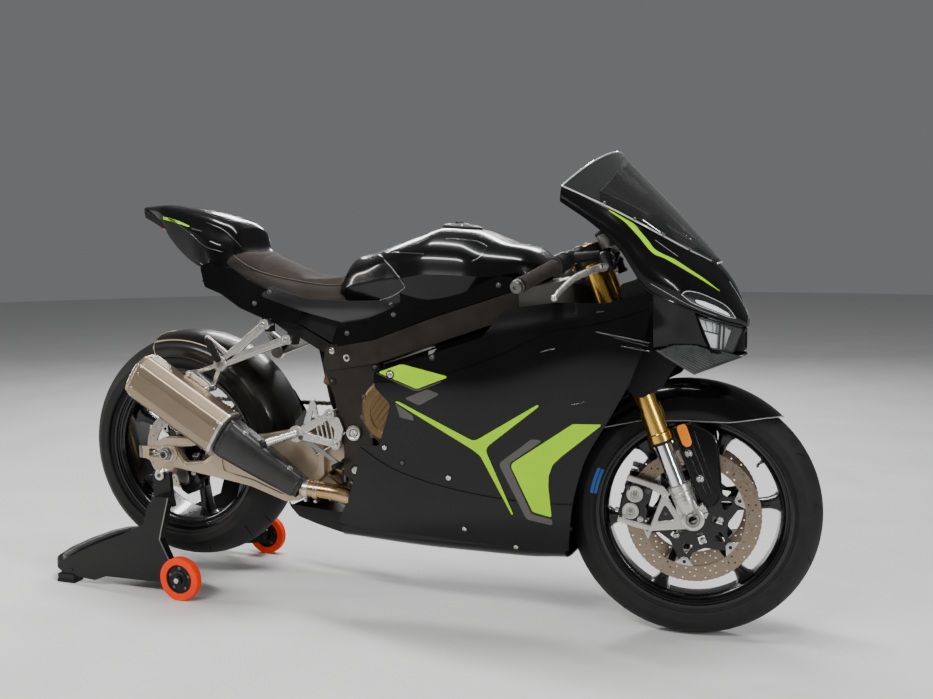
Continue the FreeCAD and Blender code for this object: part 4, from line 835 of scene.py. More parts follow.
def radiator_mat():
    g = Nodes("radiator_core")
    vec = g.mapped((1, 1, 1))
    sep = g.n("ShaderNodeSeparateXYZ")
    g.link(vec, sep.inputs[0])
    rows = g.math("SINE", g.math("MULTIPLY", sep.outputs["Z"], 2 * math.pi / 0.009))
    fins = g.math("SINE", g.math("MULTIPLY", sep.outputs["Y"], 2 * math.pi / 0.0022))
    tube = g.math("GREATER_THAN", rows, 0.55)
    h = g.math("ADD", g.math("MULTIPLY", tube, 1.0), g.math("MULTIPLY", g.math("SUBTRACT", 1.0, tube), g.math("MULTIPLY", fins, 0.4)))
    # fin stripes whose gaps go near black: the fin pattern, with painted shade between the fins
    g.set(color=g.mix(tube, g.mix(g.range(fins, 0, 1, -1, 1), (0.006, 0.006, 0.006), (0.05, 0.05, 0.048)), (0.05, 0.05, 0.05)),
          rough=g.range(g.noise(60.0), 0.45, 0.6), metal=0.7, normal=g.bump(h, 0.6, 0.001))
    return g.m


RADMAT = radiator_mat()

# ------------------------------------------------------------------ studio: pale floor, soft light
scene = bpy.context.scene
w = bpy.data.worlds.new("studio")
scene.world = w
w.use_nodes = True
bg = w.node_tree.nodes.get("Background") or w.node_tree.nodes.new("ShaderNodeBackground")
bg.inputs[0].default_value = (0.80, 0.81, 0.83, 1)
bg.inputs[1].default_value = 0.19

fm = plain("studio_floor", (0.66, 0.66, 0.655), (0.70, 0.70, 0.695), (0.55, 0.7), scale=3.0, bump=0.05, bump_scale=120.0)
ang = np.linspace(0, 2 * math.pi, 72, endpoint=False)
fv = [(0, 0, 0)] + [(14 * math.cos(t), 14 * math.sin(t), 0) for t in ang]
me = bpy.data.meshes.new("floor")
me.from_pydata(fv, [], [(0, 1 + k, 1 + (k + 1) % 72) for k in range(72)])
me.materials.append(fm)
floor = bpy.data.objects.new("floor", me)
scene.collection.objects.link(floor)


def area(name, loc, target, size, power, color=(1, 1, 1)):
    L = bpy.data.lights.new(name, "AREA")
    L.shape = "RECTANGLE"
    L.size, L.size_y = size
    L.energy = power
    L.color = color
    o = bpy.data.objects.new(name, L)
    scene.collection.objects.link(o)
    d = Vector(target) - Vector(loc)
    o.matrix_world = Matrix.Translation(Vector(loc)) @ d.to_track_quat("-Z", "Y").to_matrix().to_4x4()
    return o


area("key", (-1.0, -3.4, 3.4), (0, 0, 0.5), (2.8, 0.30), 150, (1.0, 0.985, 0.96))
area("top", (0.1, 0.3, 4.2), (0, 0, 0.4), (3.6, 0.26), 190)
area("front", (3.6, -2.2, 1.7), (0.3, 0, 0.6), (0.22, 1.8), 70, (0.96, 0.98, 1.0))
area("back", (-1.2, 4.0, 2.6), (0, 0, 0.6), (3.0, 0.30), 120)
area("rear", (-4.0, -1.2, 1.5), (-0.3, 0, 0.6), (0.22, 1.6), 55, (1.0, 0.98, 0.95))


# ------------------------------------------------------------------ side fairings
FZ = [212, 300, 420, 540, 660, 760, 850]
FX = [480, 620, 800, 950, 1080, 1200, 1350]
FT = np.array([(138, 166, 186, 196, 196, 190, 184), (146, 180, 206, 220, 220, 206, 190), (150, 186, 216, 236, 238, 220, 196),
               (152, 188, 220, 242, 245, 232, 206), (150, 186, 214, 238, 248, 240, 218), (142, 174, 200, 224, 240, 238, 222),
               (118, 148, 176, 198, 210, 208, 196)], float)
_K = cubic(FX, np.eye(len(FX)), np.arange(FX[0], FX[-1] + 1, 1.0))       # weight of every station along x


def W(x, z):
    """Half width of the side fairing at x, z."""
    x, z = np.atleast_1d(np.asarray(x, float)), np.atleast_1d(np.asarray(z, float))
    at = cubic(FZ, FT.T, np.clip(z, FZ[0], FZ[-1]))
    q = np.clip(x, FX[0], FX[-1]) - FX[0]
    i = np.clip(q.astype(int), 0, len(_K) - 2)
    k = _K[i] * (1 - (q - i))[:, None] + _K[i + 1] * (q - i)[:, None]
    w = (at * k).sum(axis=1)
    w += np.where(z < FZ[0], (z - FZ[0]) * 0.4, 0.0) + np.where(z > FZ[-1], (z - FZ[-1]) * -0.25, 0.0)
    # a soft swage runs from the tank's side towards the nose
    d = z - (700 + (x - 760) * 0.17)
    w += 3.2 * np.exp(-(d / 20.0) ** 2) * np.clip((x - 740) / 90, 0, 1) * np.clip((1240 - x) / 90, 0, 1)
    return w


OUT_R = [(512, 226), (560, 300), (600, 392), (612, 452), (668, 452), (708, 560), (664, 600), (662, 638), (760, 668), (944, 728), (1000, 796), (1120, 812),
         (1236, 812), (1322, 836), (1330, 790), (1316, 706), (1290, 640), (1236, 545), (1182, 452), (1150, 352), (1130, 240), (1122, 206), (830, 214)]


def shell_panel(outline, yfun, side, thick=3.0, step=11.0, grooves=(), holes=(), edge=7.0):
    """Thin panel over an outline in the side view, its outer face at y = side * yfun(x, z)."""
    ol = resample(outline, edge, closed=True)
    x0, z0 = ol.min(axis=0)
    x1, z1 = ol.max(axis=0)
    g = []
    for j, zz in enumerate(np.arange(z0, z1, step * 0.87)):
        for xx in np.arange(x0 + (j % 2) * step / 2, x1, step):
            g.append((xx, zz))
    g = np.array(g)
    g = g[inside(ol, g)]
    g = g[edge_dist(ol, g) > min(edge, step) * 0.5]
    hl = [resample(h, 5.0, closed=True) for h in holes]
    for h in hl:
        g = g[~inside(h, g)]
        g = g[edge_dist(h, g) > 3.0]
    pts = [ol]
    edges = [(i, (i + 1) % len(ol)) for i in range(len(ol))]
    drop = [np.zeros(len(ol))]
    o = len(ol)
    for h in hl:
        pts.append(h)
        drop.append(np.zeros(len(h)))
        edges += [(o + i, o + (i + 1) % len(h)) for i in range(len(h))]
        o += len(h)
    for line, half, depth in grooves:
        L = resample(line, 6.0)
        t = np.gradient(L, axis=0)
        t /= np.linalg.norm(t, axis=1)[:, None]
        n = np.c_[-t[:, 1], t[:, 0]]
        g = g[edge_dist(L, g, closed=False) > half * 1.7 + 1.0]
        for k, dd in ((-half, 0.0), (-half * 0.45, depth), (half * 0.45, depth), (half, 0.0)):
            q = L + n * k
            ok = inside(ol, q) & (edge_dist(ol, q) > 1.0)
            idx = np.where(ok)[0]
            pts.append(q[idx])
            drop.append(np.full(len(idx), dd))
            edges += [(o + a, o + a + 1) for a in range(len(idx) - 1) if idx[a + 1] == idx[a] + 1]
            o += len(idx)
    pts.append(g)
    drop.append(np.zeros(len(g)))
    P = np.vstack(pts)
    D = np.concatenate(drop)
    vs, es, fs, ov, oe, of_ = delaunay_2d_cdt([Vector(p) for p in P], edges, [], 0, 1e-5)
    Q = np.array([v[:] for v in vs])
    dq = np.array([D[o_[0]] if len(o_) else 0.0 for o_ in ov])
    T = np.array([tuple(f) for f in fs])
    c = Q[T].mean(axis=1)
    keep = inside(ol, c)
    for h in hl:
        keep &= ~inside(h, c)
    T = T[keep]
    used = np.unique(T)
    remap = -np.ones(len(Q), int)
    remap[used] = np.arange(len(used))
    Q, dq, T = Q[used], dq[used], remap[T]
    y = yfun(Q[:, 0], Q[:, 1])
    outer = np.c_[Q[:, 0], side * (y - dq), Q[:, 1]]
    inner = np.c_[Q[:, 0], side * (y - thick - dq * 0.3), Q[:, 1]]
    n = len(Q)
    V = np.vstack([outer, inner])
    F = [tuple(t) for t in T] + [tuple(t[::-1] + n) for t in T]
    cnt = {}
    for t in T:
        for a, b in ((t[0], t[1]), (t[1], t[2]), (t[2], t[0])):
            cnt[(a, b)] = cnt.get((a, b), 0) + 1
    for (a, b) in cnt:
        if (b, a) not in cnt:
            F.append((b, a, a + n, b + n))
    return V, F


def px_to_fairing(p):
    """A pixel of the photograph as (x, z) on the right side fairing."""
    y = -220.0
    for _ in range(12):
        q = on_y(p[0], p[1], y)
        y = -float(W(q[0], q[2])[0])
    return (q[0], q[2])


SEAMS = [([(612, 448), (690, 402), (782, 372), (890, 352), (1010, 340), (1152, 338)], 2.2, 2.0),
         ([(664, 612), (742, 618), (850, 640), (990, 690), (1100, 742), (1236, 770), (1330, 800)], 1.8, 1.6)]
fair_out = round_poly(OUT_R, [14, 20, 30, 10, 10, 16, 16, 12, 30, 40, 24, 30, 20, 8, 12, 30, 40, 60, 60, 60, 20, 16, 60], 4)
seams = [(crom(l, 8), h, d) for l, h, d in SEAMS]
for s, nm in ((-1, "right"), (1, "left")):
    body_ = shell_panel(fair_out, W, s, 3.0, 11.0, seams)
    # the front edge turns in towards the radiator
    fe = crom([(1290, 640), (1236, 545), (1182, 452), (1150, 352), (1130, 240), (1124, 212)], 8)
    yy = W(fe[:, 0], fe[:, 1])
    rows = []
    for k, (dx, dy) in enumerate(((0, -1.2), (-0.5, -6), (-2, -12), (-5, -19))):
        rows.append(np.c_[fe[:, 0] + dx, s * (yy + dy), fe[:, 1]])
    lip = g_skin(rows, 2.2)
    parts = [(body_, GLOSS), (clean(*lip), GLOSS)]
    piece("fairing_panel_" + nm, parts, rep=("side_fairing_" + nm,), sharp=30)

# film shapes on the fairing, outlined in the photograph's pixels
FILM = {
    "quad": (NEON, round_poly([(377.8, 372.3), (399.4, 364.7), (403.5, 364.6), (449.1, 376.9), (418.5, 388.3), (415.5, 388.5)], [1, 3, 3, 1.5, 1, 1], 3)),
    "under": (GREY_FILM_AND_EDGE_HIGHLIGHT, [(375.8, 373.2), (377.6, 373.0), (415.3, 389.4), (418.8, 389.3), (441.5, 381.0), (441.0, 382.4), (419.0, 391.0), (413.6, 390.6)]),
    "para": (GREY_FILM_AND_EDGE_HIGHLIGHT, round_poly([(404.2, 398.4), (427.3, 389.2), (439.8, 394.2), (419.1, 405.5)], 1.2, 3)),
    "wedge": (GREY_FILM_AND_EDGE_HIGHLIGHT, [(395.5, 403.6), (412.7, 415.5), (414.0, 420.9), (400.0, 417.3)]),
    "stroke": (NEON, round_poly([(393.8, 401.2), (399.1, 401.9), (474.0, 441.6), (538.0, 404.4), (539.0, 406.4), (484.6, 448.6), (513.2, 514.4), (512.2, 515.6), (480.4, 456.0), (472.5, 449.6)],
                                [0.5, 4, 9, 0.6, 0.6, 8, 0.5, 0.5, 8, 6], 5)),
    "chevron": (NEON, round_poly([(572.7, 424.2), (602.6, 424.6), (561.5, 456.5), (552.5, 465.0), (548.6, 476.0), (548.2, 487.0), (551.6, 517.4), (532.7, 512.0), (510.0, 464.6)],
                                 [2, 1, 14, 8, 8, 10, 1, 4, 5], 5)),
    "band": (GREY_FILM_AND_EDGE_HIGHLIGHT, round_poly([(531.5, 439.2), (543.6, 440.4), (508.4, 463.9), (531.4, 513.9), (552.0, 519.4), (552.6, 525.6), (526.6, 519.4), (498.4, 463.6)],
                                  [3, 3, 5, 4, 1, 1, 5, 5], 5)),
}
for nm, (mt, poly) in FILM.items():
    xz = np.array([px_to_fairing(p) for p in resample(poly, 1.6, closed=True)])
    keep = np.r_[True, np.linalg.norm(np.diff(xz, axis=0), axis=1) > 0.6]
    xz = xz[keep]
    shells = []
    for s in (-1, 1):
        shells.append((shell_panel(xz, lambda x, z: W(x, z) + 0.5, s, 0.8, 9.0, edge=4.0), mt))
    piece("film_" + nm, shells, sharp=50)

# fasteners of the fairing
fb = []
for (u, v), r in (((390.2, 374.6), 8.0), ((448.4, 478.0), 7.0), ((384.4, 447.8), 6.5), ((402.0, 463.0), 5.0), ((464.5, 529.0), 6.0), ((516.0, 547.0), 6.0), ((432.0, 357.5), 5.5)):
    x, z = px_to_fairing((u, v))
    e = 2.0
    wy = float(W(x, z)[0])
    nx, nz = float((W(x + e, z) - W(x - e, z))[0]) / (2 * e), float((W(x, z + e) - W(x, z - e))[0]) / (2 * e)
    for s in (-1, 1):
        ax = unit(a3(-nx, s, -nz))
        o = a3(x, s * wy, z)
        fb.append((g_lathe([(0, -1), (r + 3.0, -1), (r + 3.0, 0.9), (r + 2.2, 1.5), (r + 0.3, 1.5), (r + 0.2, 0.4), (0, 0.4)], o, ax, 28), SATIN))
        fb.append((g_bolt(o + ax * 0.4, ax, r, 2.6, "button"), STEEL if r > 5.6 else DARKSTEEL))
piece("fairing_fasteners", fb)

# ------------------------------------------------------------------ belly
bx = [520, 800, 1000, 1118]
bt = np.array([[(141, 222), (137, 208), (124, 194), (84, 184), (0, 180)], [(152.5, 220), (146, 203), (130, 186), (84, 172), (0, 166)],
               [(152.5, 220), (146, 203), (130, 186), (84, 172), (0, 166)], [(149, 220), (144, 205), (128, 192), (84, 182), (0, 178)]], float)
xs = np.linspace(520, 1118, 52)
B = pchip(bx, bt.reshape(4, -1), xs).reshape(len(xs), 5, 2)
rows = []
for x, r in zip(xs, B):
    P = [(-w - (-3.0 if k == 0 else 0), z) for k, (w, z) in enumerate(r)] + [(w + (-3.0 if k == 3 else 0), z) for k, (w, z) in enumerate(r[:-1][::-1])]
    c = crom(P, 6)
    rows.append(np.c_[np.full(len(c), x), c])
belly = g_skin(rows, -3.0)
tr = []
for x, z, zt in ((368, 258, 266), (372, 250, 264), (394, 228, 262), (450, 212, 258), (516, 197, 254), (566, 196, 252)):
    tr.append([(x, -136, zt), (x, -136, z + 12), (x, -133, z + 4), (x, -126, z), (x, -60, z - 1), (x, 50, z - 1), (x, 116, z), (x, 123, z + 4), (x, 126, z + 12), (x, 126, zt)])
trough = g_skin(tr, -3.0)
piece("belly_skin", [(clean(*belly), GLOSS), (clean(*trough), SATIN)], rep=("belly_pan",), sharp=40)

# ------------------------------------------------------------------ upper fairing, from the cowl's rear edge to the nose
NX = [1124, 1200, 1260, 1318, 1380, 1440, 1484, 1521]
NR = np.array([[(194, 1074), (203, 1060), (207, 1048), (207, 1038)], [(192, 1035), (204, 1016), (210, 1000), (210, 986)],
               [(182, 1002), (203, 980), (211, 958), (210, 930)], [(158, 968), (192, 925), (208, 885), (206, 846)],
               [(114, 934), (162, 890), (188, 846), (180, 812)], [(46, 898), (104, 856), (136, 814), (124, 782)],
               [(24, 850), (62, 822), (84, 788), (74, 762)], [(3, 774), (20, 766), (28, 758), (22, 748)]], float)


def nose_row(x):
    return pchip(NX, NR.reshape(8, -1), [x]).reshape(4, 2)


nxs = np.r_[np.linspace(1124, 1440, 54), np.linspace(1446, 1521, 22)]
NRD = pchip(NX, NR.reshape(8, -1), nxs).reshape(len(nxs), 4, 2)
nose_rows = {}
cowl = []
for s in (-1, 1):
    rows = []
    for x, r in zip(nxs, NRD):
        c = crom([(s * w, z) for w, z in r], 9)
        rows.append(np.c_[np.full(len(c), x), c])
    nose_rows[s] = np.array(rows)
    sk = g_skin(rows, -3.0 if s < 0 else 3.0)
    cowl.append((clean(*sk), GLOSS))
# the beak between the screen's foot and the tip
beak = []
for x, r in zip(nxs, NRD):
    if x < 1440:
        continue
    w, z = r[0]
    t = (x - 1440) / 81.0
    cr = 7.0 * (1 - t) + 1.0
    beak.append([(x, -w + 2 * w * k / 12, z + cr * math.sin(math.pi * k / 12) ** 0.8) for k in range(13)])
cowl.append((clean(*g_skin(beak, 3.0)), GLOSS))
# closing face of the tip
tip = NRD[-1]
tv = [(1521, -w, z) for w, z in tip] + [(1521, w, z) for w, z in tip[::-1]]
tip_ring = np.array(tv)
tipb = np.vstack([tip_ring, tip_ring * 1.0 + a3(-3, 0, 0)])
n8 = len(tv)
cowl.append(((tipb, [tuple(range(n8)), tuple(range(n8, 2 * n8))[::-1]] + [(k, (k + 1) % n8, n8 + (k + 1) % n8, n8 + k) for k in range(n8)]), GLOSS))
# rear hem of the cowl, rolled inwards, and the raised moulding along its lower edge
for s in (-1, 1):
    r0 = nose_rows[s][0]
    hem = [r0, r0 + a3(-2, -s * 3, 0), r0 + a3(-1, -s * 12, -1)]
    cowl.append((clean(*g_skin(hem, 1.8)), GLOSS))
    low = nose_rows[s][:, -1]
    tube = [low[k] + a3(0, s * 0.5, -1.0) for k in range(30, len(low) - 3, 2)]
    cowl.append((g_tube(tube, np.linspace(2.2, 3.6, len(tube)), 10), GLOSS))
_cv, _cf = join([q for q, m_ in cowl])
COWL_TREE = BVHTree.FromPolygons([Vector(v) for v in _cv], [tuple(f) for f in _cf])
piece("cowl_shell", cowl, rep=("upper_fairing",), sharp=32)


def bvh_of(rows):
    R = np.asarray(rows, float)
    m, n = R.shape[:2]
    return BVHTree.FromPolygons([Vector(p) for p in R.reshape(-1, 3)], [(i * n + k, i * n + k + 1, (i + 1) * n + k + 1, (i + 1) * n + k) for i in range(m - 1) for k in range(n - 1)])


COWL_R = bvh_of(nose_rows[-1])


def on_tree(tree, u, v):
    h = tree.ray_cast(Vector(CAM), Vector(ray(u, v)))
    if h[0] is None:
        q = tree.find_nearest(Vector(CAM + ray(u, v) * 2700))
        best = None
        for d in np.linspace(2300, 3500, 60):
            p = CAM + ray(u, v) * d
            q = tree.find_nearest(Vector(p))
            if best is None or q[3] < best[3]:
                best = q
        h = best
    n = np.array(h[1])
    if n @ ray(u, v) > 0:
        n = -n
    return np.array(h[0]), n


def film_strip(name, upper, lower, mt, tree=None, off=0.5, n=60, m=3, thick=0.8):
    """A film strip between two pixel lines, on the right of the cowl and mirrored to the left."""
    du = np.r_[0, np.cumsum(np.linalg.norm(np.diff(crom(upper, 10), axis=0), axis=1))]
    dl = np.r_[0, np.cumsum(np.linalg.norm(np.diff(crom(lower, 10), axis=0), axis=1))]
    cu, cl = crom(upper, 10), crom(lower, 10)
    rows = []
    for t in np.linspace(0, 1, n):
        a = np.array([np.interp(t * du[-1], du, cu[:, k]) for k in (0, 1)])
        b = np.array([np.interp(t * dl[-1], dl, cl[:, k]) for k in (0, 1)])
        row = []
        for k in range(m + 1):
            q = a + (b - a) * k / m
            p, nn = on_tree(tree or COWL_R, q[0], q[1])
            row.append(p + nn * off)
        rows.append(row)
    R = np.array(rows)
    sk = clean(*g_skin(R, thick if np.cross(R[1, 0] - R[0, 0], R[0, 1] - R[0, 0]) @ a3(0, -1, 0) > 0 else -thick))
    return piece(name, [(sk, mt), (mirror(sk), mt)], sharp=60)


film_strip("film_cowl", [(608.6, 210), (615, 212.1), (627.1, 219.6), (634.3, 224.3), (640, 231.2), (648.6, 241.4), (654.3, 248.9), (662.9, 254.1), (674.3, 259.3), (688.6, 268.6), (702.9, 277.9), (719.3, 290.5)],
           [(608.9, 210.6), (611.5, 212.6), (624.3, 221.6), (631.4, 228.8), (640, 238.3), (648.6, 249.0), (655, 254.6), (662.9, 257.6), (674.3, 263.8), (688.6, 272.1), (702.9, 280.7), (719.5, 291.2)], NEON)

# ------------------------------------------------------------------ screen
SC = np.array([(1448, 24, 893, 1458, 897), (1366, 128, 946, 1396, 968), (1250, 184, 1014, 1302, 1068), (1124, 194, 1074, 1215, 1157)], float)
tt = np.r_[0, np.cumsum(np.linalg.norm(np.diff(SC[:, [3, 4]], axis=0), axis=1))]
SD = pchip(tt, SC, np.linspace(0, tt[-1], 60))
rows = []
for xe, wd, ze, xt, zt in SD:
    row = []
    for k in range(41):
        th = -math.pi / 2 + math.pi * k / 40
        c = max(math.cos(th), 0.0)
        b = c ** 1.12
        row.append((xe + (xt - xe) * b, wd * math.copysign(abs(math.sin(th)) ** 0.92, math.sin(th)), ze + (zt - ze) * b))
    rows.append(row)
SCR = np.array(rows)
screen = clean(*g_skin(SCR, -2.6))
piece("screen_shell", [(screen, SCREEN)], rep=("windscreen",), sharp=40)
# pale tubes along the screen's top edge and foot: painted highlights of its edges
edge = [(g_tube(SCR[-1], 1.9, 8), SCREENEDGE)]
foot = [SCR[k, 0] for k in range(len(SCR))][::-1] + [SCR[0, k] for k in range(41)] + [SCR[k, -1] for k in range(len(SCR))]
edge.append((g_tube(np.array(foot[::2]), 1.9, 8), SCREENEDGE))
for k in (10, 20, 32, 44):
    for c in (1, -2):
        p, q = SCR[k, c], SCR[k, 20]
        ax = unit(a3(0.2, -1 if c == 1 else 1, 0.6))
        edge.append((g_bolt(p + ax * 0.5, ax, 4.2, 2.0, "button"), DARKSTEEL))
piece("screen_edge_highlights_and_bolts", edge)

# ------------------------------------------------------------------ front fender
FC = FRONT0 + a3(-13.4, 0, 2.5)
FP = [(0, 317), (30, 312), (58, 297), (74, 278), (75.5, 250), (74, 221)]
LINE = np.array([(1640, 536), (1560, 534), (1480, 522), (1350, 522), (1270, 520), (1100, 480)], float)[::-1]
prof = crom([(-y, r) for y, r in FP[::-1]] + FP[1:], 7, sharp=(2, 8))
mid = len(prof) // 2
rows = []
for a in np.radians(np.linspace(43.5, -48.5, 64)):
    full = []
    for y, r in prof:
        full.append((y, r, FC[0] + r * math.sin(a), FC[2] + r * math.cos(a)))
    full = np.array(full)
    row = []
    for sgn in (-1, 1):
        half = full[:mid + 1][::-1] if sgn < 0 else full[mid:]
        zl = np.interp(half[:, 2], LINE[:, 0], LINE[:, 1])
        ok = half[:, 3] >= zl
        n_ok = int(np.argmin(ok)) if not ok.all() else len(half)
        n_ok = max(n_ok, 2)
        d = np.r_[0, np.cumsum(np.linalg.norm(np.diff(half[:, [0, 1]], axis=0), axis=1))]
        if n_ok < len(half):
            g0, g1 = (half[n_ok - 1, 3] - zl[n_ok - 1]), (zl[n_ok] - half[n_ok, 3])
            f = g0 / max(g0 + g1, 1e-6)
            end = d[n_ok - 1] + (d[n_ok] - d[n_ok - 1]) * max(0.0, min(1.0, f))
        else:
            end = d[-1]
        q = np.linspace(0, end, 22)
        pts = np.c_[np.interp(q, d, half[:, 2]), np.interp(q, d, half[:, 0]), np.interp(q, d, half[:, 3])]
        row.append(pts)
    rows.append(np.vstack([row[0][::-1], row[1][1:]]))
fr = np.array(rows)
fender = clean(*g_skin(fr, -3.0))
fparts = [(fender, GLOSS)]
# pale beads along the fender's edges: painted highlights
for e in (fr[0], fr[-1]):
    fparts.append((g_tube(resample(e, 9), 1.4, 8), EDGE_HIGHLIGHT_LINE))
for c in (0, -1):
    fparts.append((g_tube(resample(fr[:, c], 9), 1.4, 8), EDGE_HIGHLIGHT_LINE))
piece("fender_shell", fparts, "steering", rep=("front_fender",), sharp=34)

CAM_S = (CAM - GROUND) @ M_STEER + GROUND


def tu(u, v, y):
    """A pixel as (t, u) in the fork's own frame, on the plane y."""
    d = ray(u, v) @ M_STEER
    p = CAM_S + d * ((y - CAM_S[1]) / d[1])
    return (float((p - GROUND) @ AXIS), float((p - GROUND) @ FWD))



# fork guards: moulded blades down each leg
gp = []
gout = round_poly([(524, 56), (520, 112), (470, 150), (330, 112), (316, 82), (330, 60), (420, 57)], [10, 20, 30, 26, 14, 14, 60], 5)
rc0 = tu(684.5, 435.8, -103.0)
for s in (-1, 1):
    pl = lambda a, b, t, s=s: st(a, b, s * (90.0 + t * 1.0))
    gp.append((g_plate(gout, -6.4, 6.4, bev=3.2, place=pl, seg=3), GLOSS))
    # long ribs down the blade and a raised rim along its front edge
    for u0, u1, w_ in ((72, 78, 3.2), (88, 90, 2.4), (103, 101, 2.4)):
        rib = round_poly([(500, u0 - w_), (500, u0 + w_), (346, u1 + w_ * 0.6), (346, u1 - w_ * 0.6)], 2.0, 3)
        gp.append((g_plate(rib, 5.2, 8.6, bev=1.4, place=pl, seg=2), GLOSS))
    edge_ = crom([(516, 108), (470, 142), (400, 124), (334, 104), (322, 86)], 8)
    gp.append((g_tube([st(q[0], q[1], s * 96.6) for q in edge_], 2.2, 8), GLOSS))
    # reflector, an oblong lens along the leg
    rt, ru = rc0
    rf = round_poly([(rt + 27, ru - 9), (rt + 27, ru + 9), (rt + 18, ru + 12), (rt - 20, ru + 11), (rt - 27, ru + 5), (rt - 27, ru - 6), (rt - 18, ru - 12), (rt + 18, ru - 12)], 5, 3)
    gp.append((g_plate(rf, 5.0, 13.0, bev=2.4, place=pl, seg=3), AMBER))
    for k in (-1, 0, 1):
        gp.append((g_plate(round_poly([(rt + 12 * k + 2, ru - 7), (rt + 12 * k + 2, ru + 7), (rt + 12 * k - 2, ru + 7), (rt + 12 * k - 2, ru - 7)], 1.5, 2), 12.4, 13.8, bev=0.6, place=pl, seg=1), AMBER))
    for q in ((688.5, 453.6), (700.2, 479.0)):
        tq, uq = tu(q[0], q[1], -98.0)
        gp.append((g_bolt(st(tq, uq, s * 96.6), YY * s, 6.2, 3.4, "button", washer=9.0), STEEL))
piece("fork_guard_blades", gp, "steering", rep=("fork_guards",))


# ------------------------------------------------------------------ closed lofts: tank, tail, seat
def ring_rows(stations, step=8.0, n=8, sharp=(), xs=None, soft=None):
    """Dense closed rings from stations {x: [(half width, z) top to bottom]}."""
    X = sorted(stations)
    A = np.array([stations[x] for x in X], float)
    m = A.shape[1]
    if xs is None:
        xs = np.linspace(X[0], X[-1], int((X[-1] - X[0]) / step) + 1)
    D = pchip(X, A.reshape(len(X), -1), xs).reshape(len(xs), m, 2)
    rows = []
    for x, r in zip(xs, D):
        right = [(-w, z) for w, z in r[::-1]]
        left = [(w, z) for w, z in r[1:]] if r[0, 0] < 1e-6 else [(w, z) for w, z in r]
        P = right + left
        sh = set()
        for q in sharp:
            sh.add(m - 1 - q)
            sh.add(len(P) - m + q)
        c = crom(P, n, sharp=sh)
        if r[-1, 0] < 1e-6:
            c = c[:-1]
        rows.append(np.c_[np.full(len(c), x), c])
    return np.array(rows)


TANK = {512: [(0, 866), (40, 860), (84, 846), (98, 822), (92, 790)], 536: [(0, 908), (56, 900), (100, 870), (112, 835), (104, 790)],
        590: [(0, 920), (76, 912), (124, 885), (132, 845), (120, 790)], 660: [(0, 944), (90, 936), (150, 905), (158, 856), (142, 795)],
        722: [(0, 965), (96, 955), (164, 918), (180, 862), (156, 800)], 790: [(0, 985), (100, 972), (168, 930), (190, 872), (164, 800)],
        860: [(0, 977), (102, 966), (168, 925), (188, 870), (162, 815)], 940: [(0, 946), (96, 938), (150, 905), (166, 866), (146, 840)],
        1003: [(0, 933), (84, 925), (120, 902), (132, 874), (124, 852)], 1056: [(0, 898), (56, 892), (82, 884), (92, 870), (88, 856)]}
tr_ = ring_rows(TANK, 7.0, 9, sharp=(3,))
tank = clean(*g_rows(tr_, wrap=True, caps=True))
TANK_TREE = BVHTree.FromPolygons([Vector(v) for v in tank[0]], tank[1])
tp = [(tank, GLOSS)]
piece("tank_shell", tp, rep=("fuel_tank",), sharp=34)


def drop_to(tree, x, y, z0=1300):
    h = tree.ray_cast(Vector((x, y, z0)), Vector((0, 0, -1)))
    return np.array(h[0]), np.array(h[1])


# filler cap with its ring of screws
cp, cn = drop_to(TANK_TREE, 812, 0)
cap = [(g_lathe([(0, 6.5), (30, 6.5), (33, 5.6), (34.5, 4.0), (44, 4.0), (48, 2.6), (50, 0.4), (50, -10), (0, -10)], cp, cn, 56), SATIN),
       (g_lathe([(0, 9.0), (14, 9.0), (16, 8.0), (16, 5), (0, 5)], cp + a3(0, 0, 0), cn, 40), ALLOYDK),
       (g_box(-19, 5, -5.5, 5.5, 7, 12.5, 2.0), SATIN)]
cap[2] = ((np.array([cp + cn * v[2] + unit(np.cross(a3(0, 1, 0), cn)) * v[0] + a3(0, 1, 0) * v[1] for v in cap[2][0][0]]), cap[2][0][1]), SATIN)
u_, v_, _ = basis(cn)
for k in range(6):
    a = 2 * math.pi * k / 6 + 0.3
    cap.append((g_bolt(cp + (u_ * math.cos(a) + v_ * math.sin(a)) * 39.5 + cn * 3.8, cn, 3.4, 2.0, "button"), STEEL))
piece("filler_cap", cap)

TAIL = {-132: [(0, 1049), (22, 1045), (26, 1040), (20, 1034), (0, 1032)], -60: [(0, 1053), (44, 1048), (64, 1034), (50, 1010), (0, 1000)],
        -30: [(0, 1050), (52, 1044), (76, 1022), (58, 966), (0, 955)], 85: [(0, 1032), (72, 1020), (106, 975), (90, 886), (0, 876)],
        150: [(0, 1014), (78, 1000), (114, 945), (116, 872), (0, 858)], 198: [(0, 990), (76, 976), (96, 930), (120, 850), (0, 838)],
        211: [(0, 932), (74, 930), (92, 918), (122, 845), (0, 834)], 300: [(0, 860), (84, 856), (122, 842), (134, 796), (0, 796)]}
xs = np.r_[np.linspace(-132, 198, 46), np.linspace(200, 211, 5), np.linspace(217, 258, 8)]
tl = ring_rows(TAIL, n=8, sharp=(2, 3), xs=xs)
tailv = clean(*g_rows(tl, wrap=True, caps=True))
TAIL_TREE = BVHTree.FromPolygons([Vector(v) for v in tailv[0]], tailv[1])
piece("tail_shell", [(tailv, GLOSS)], rep=("tail_cowl",), sharp=33)


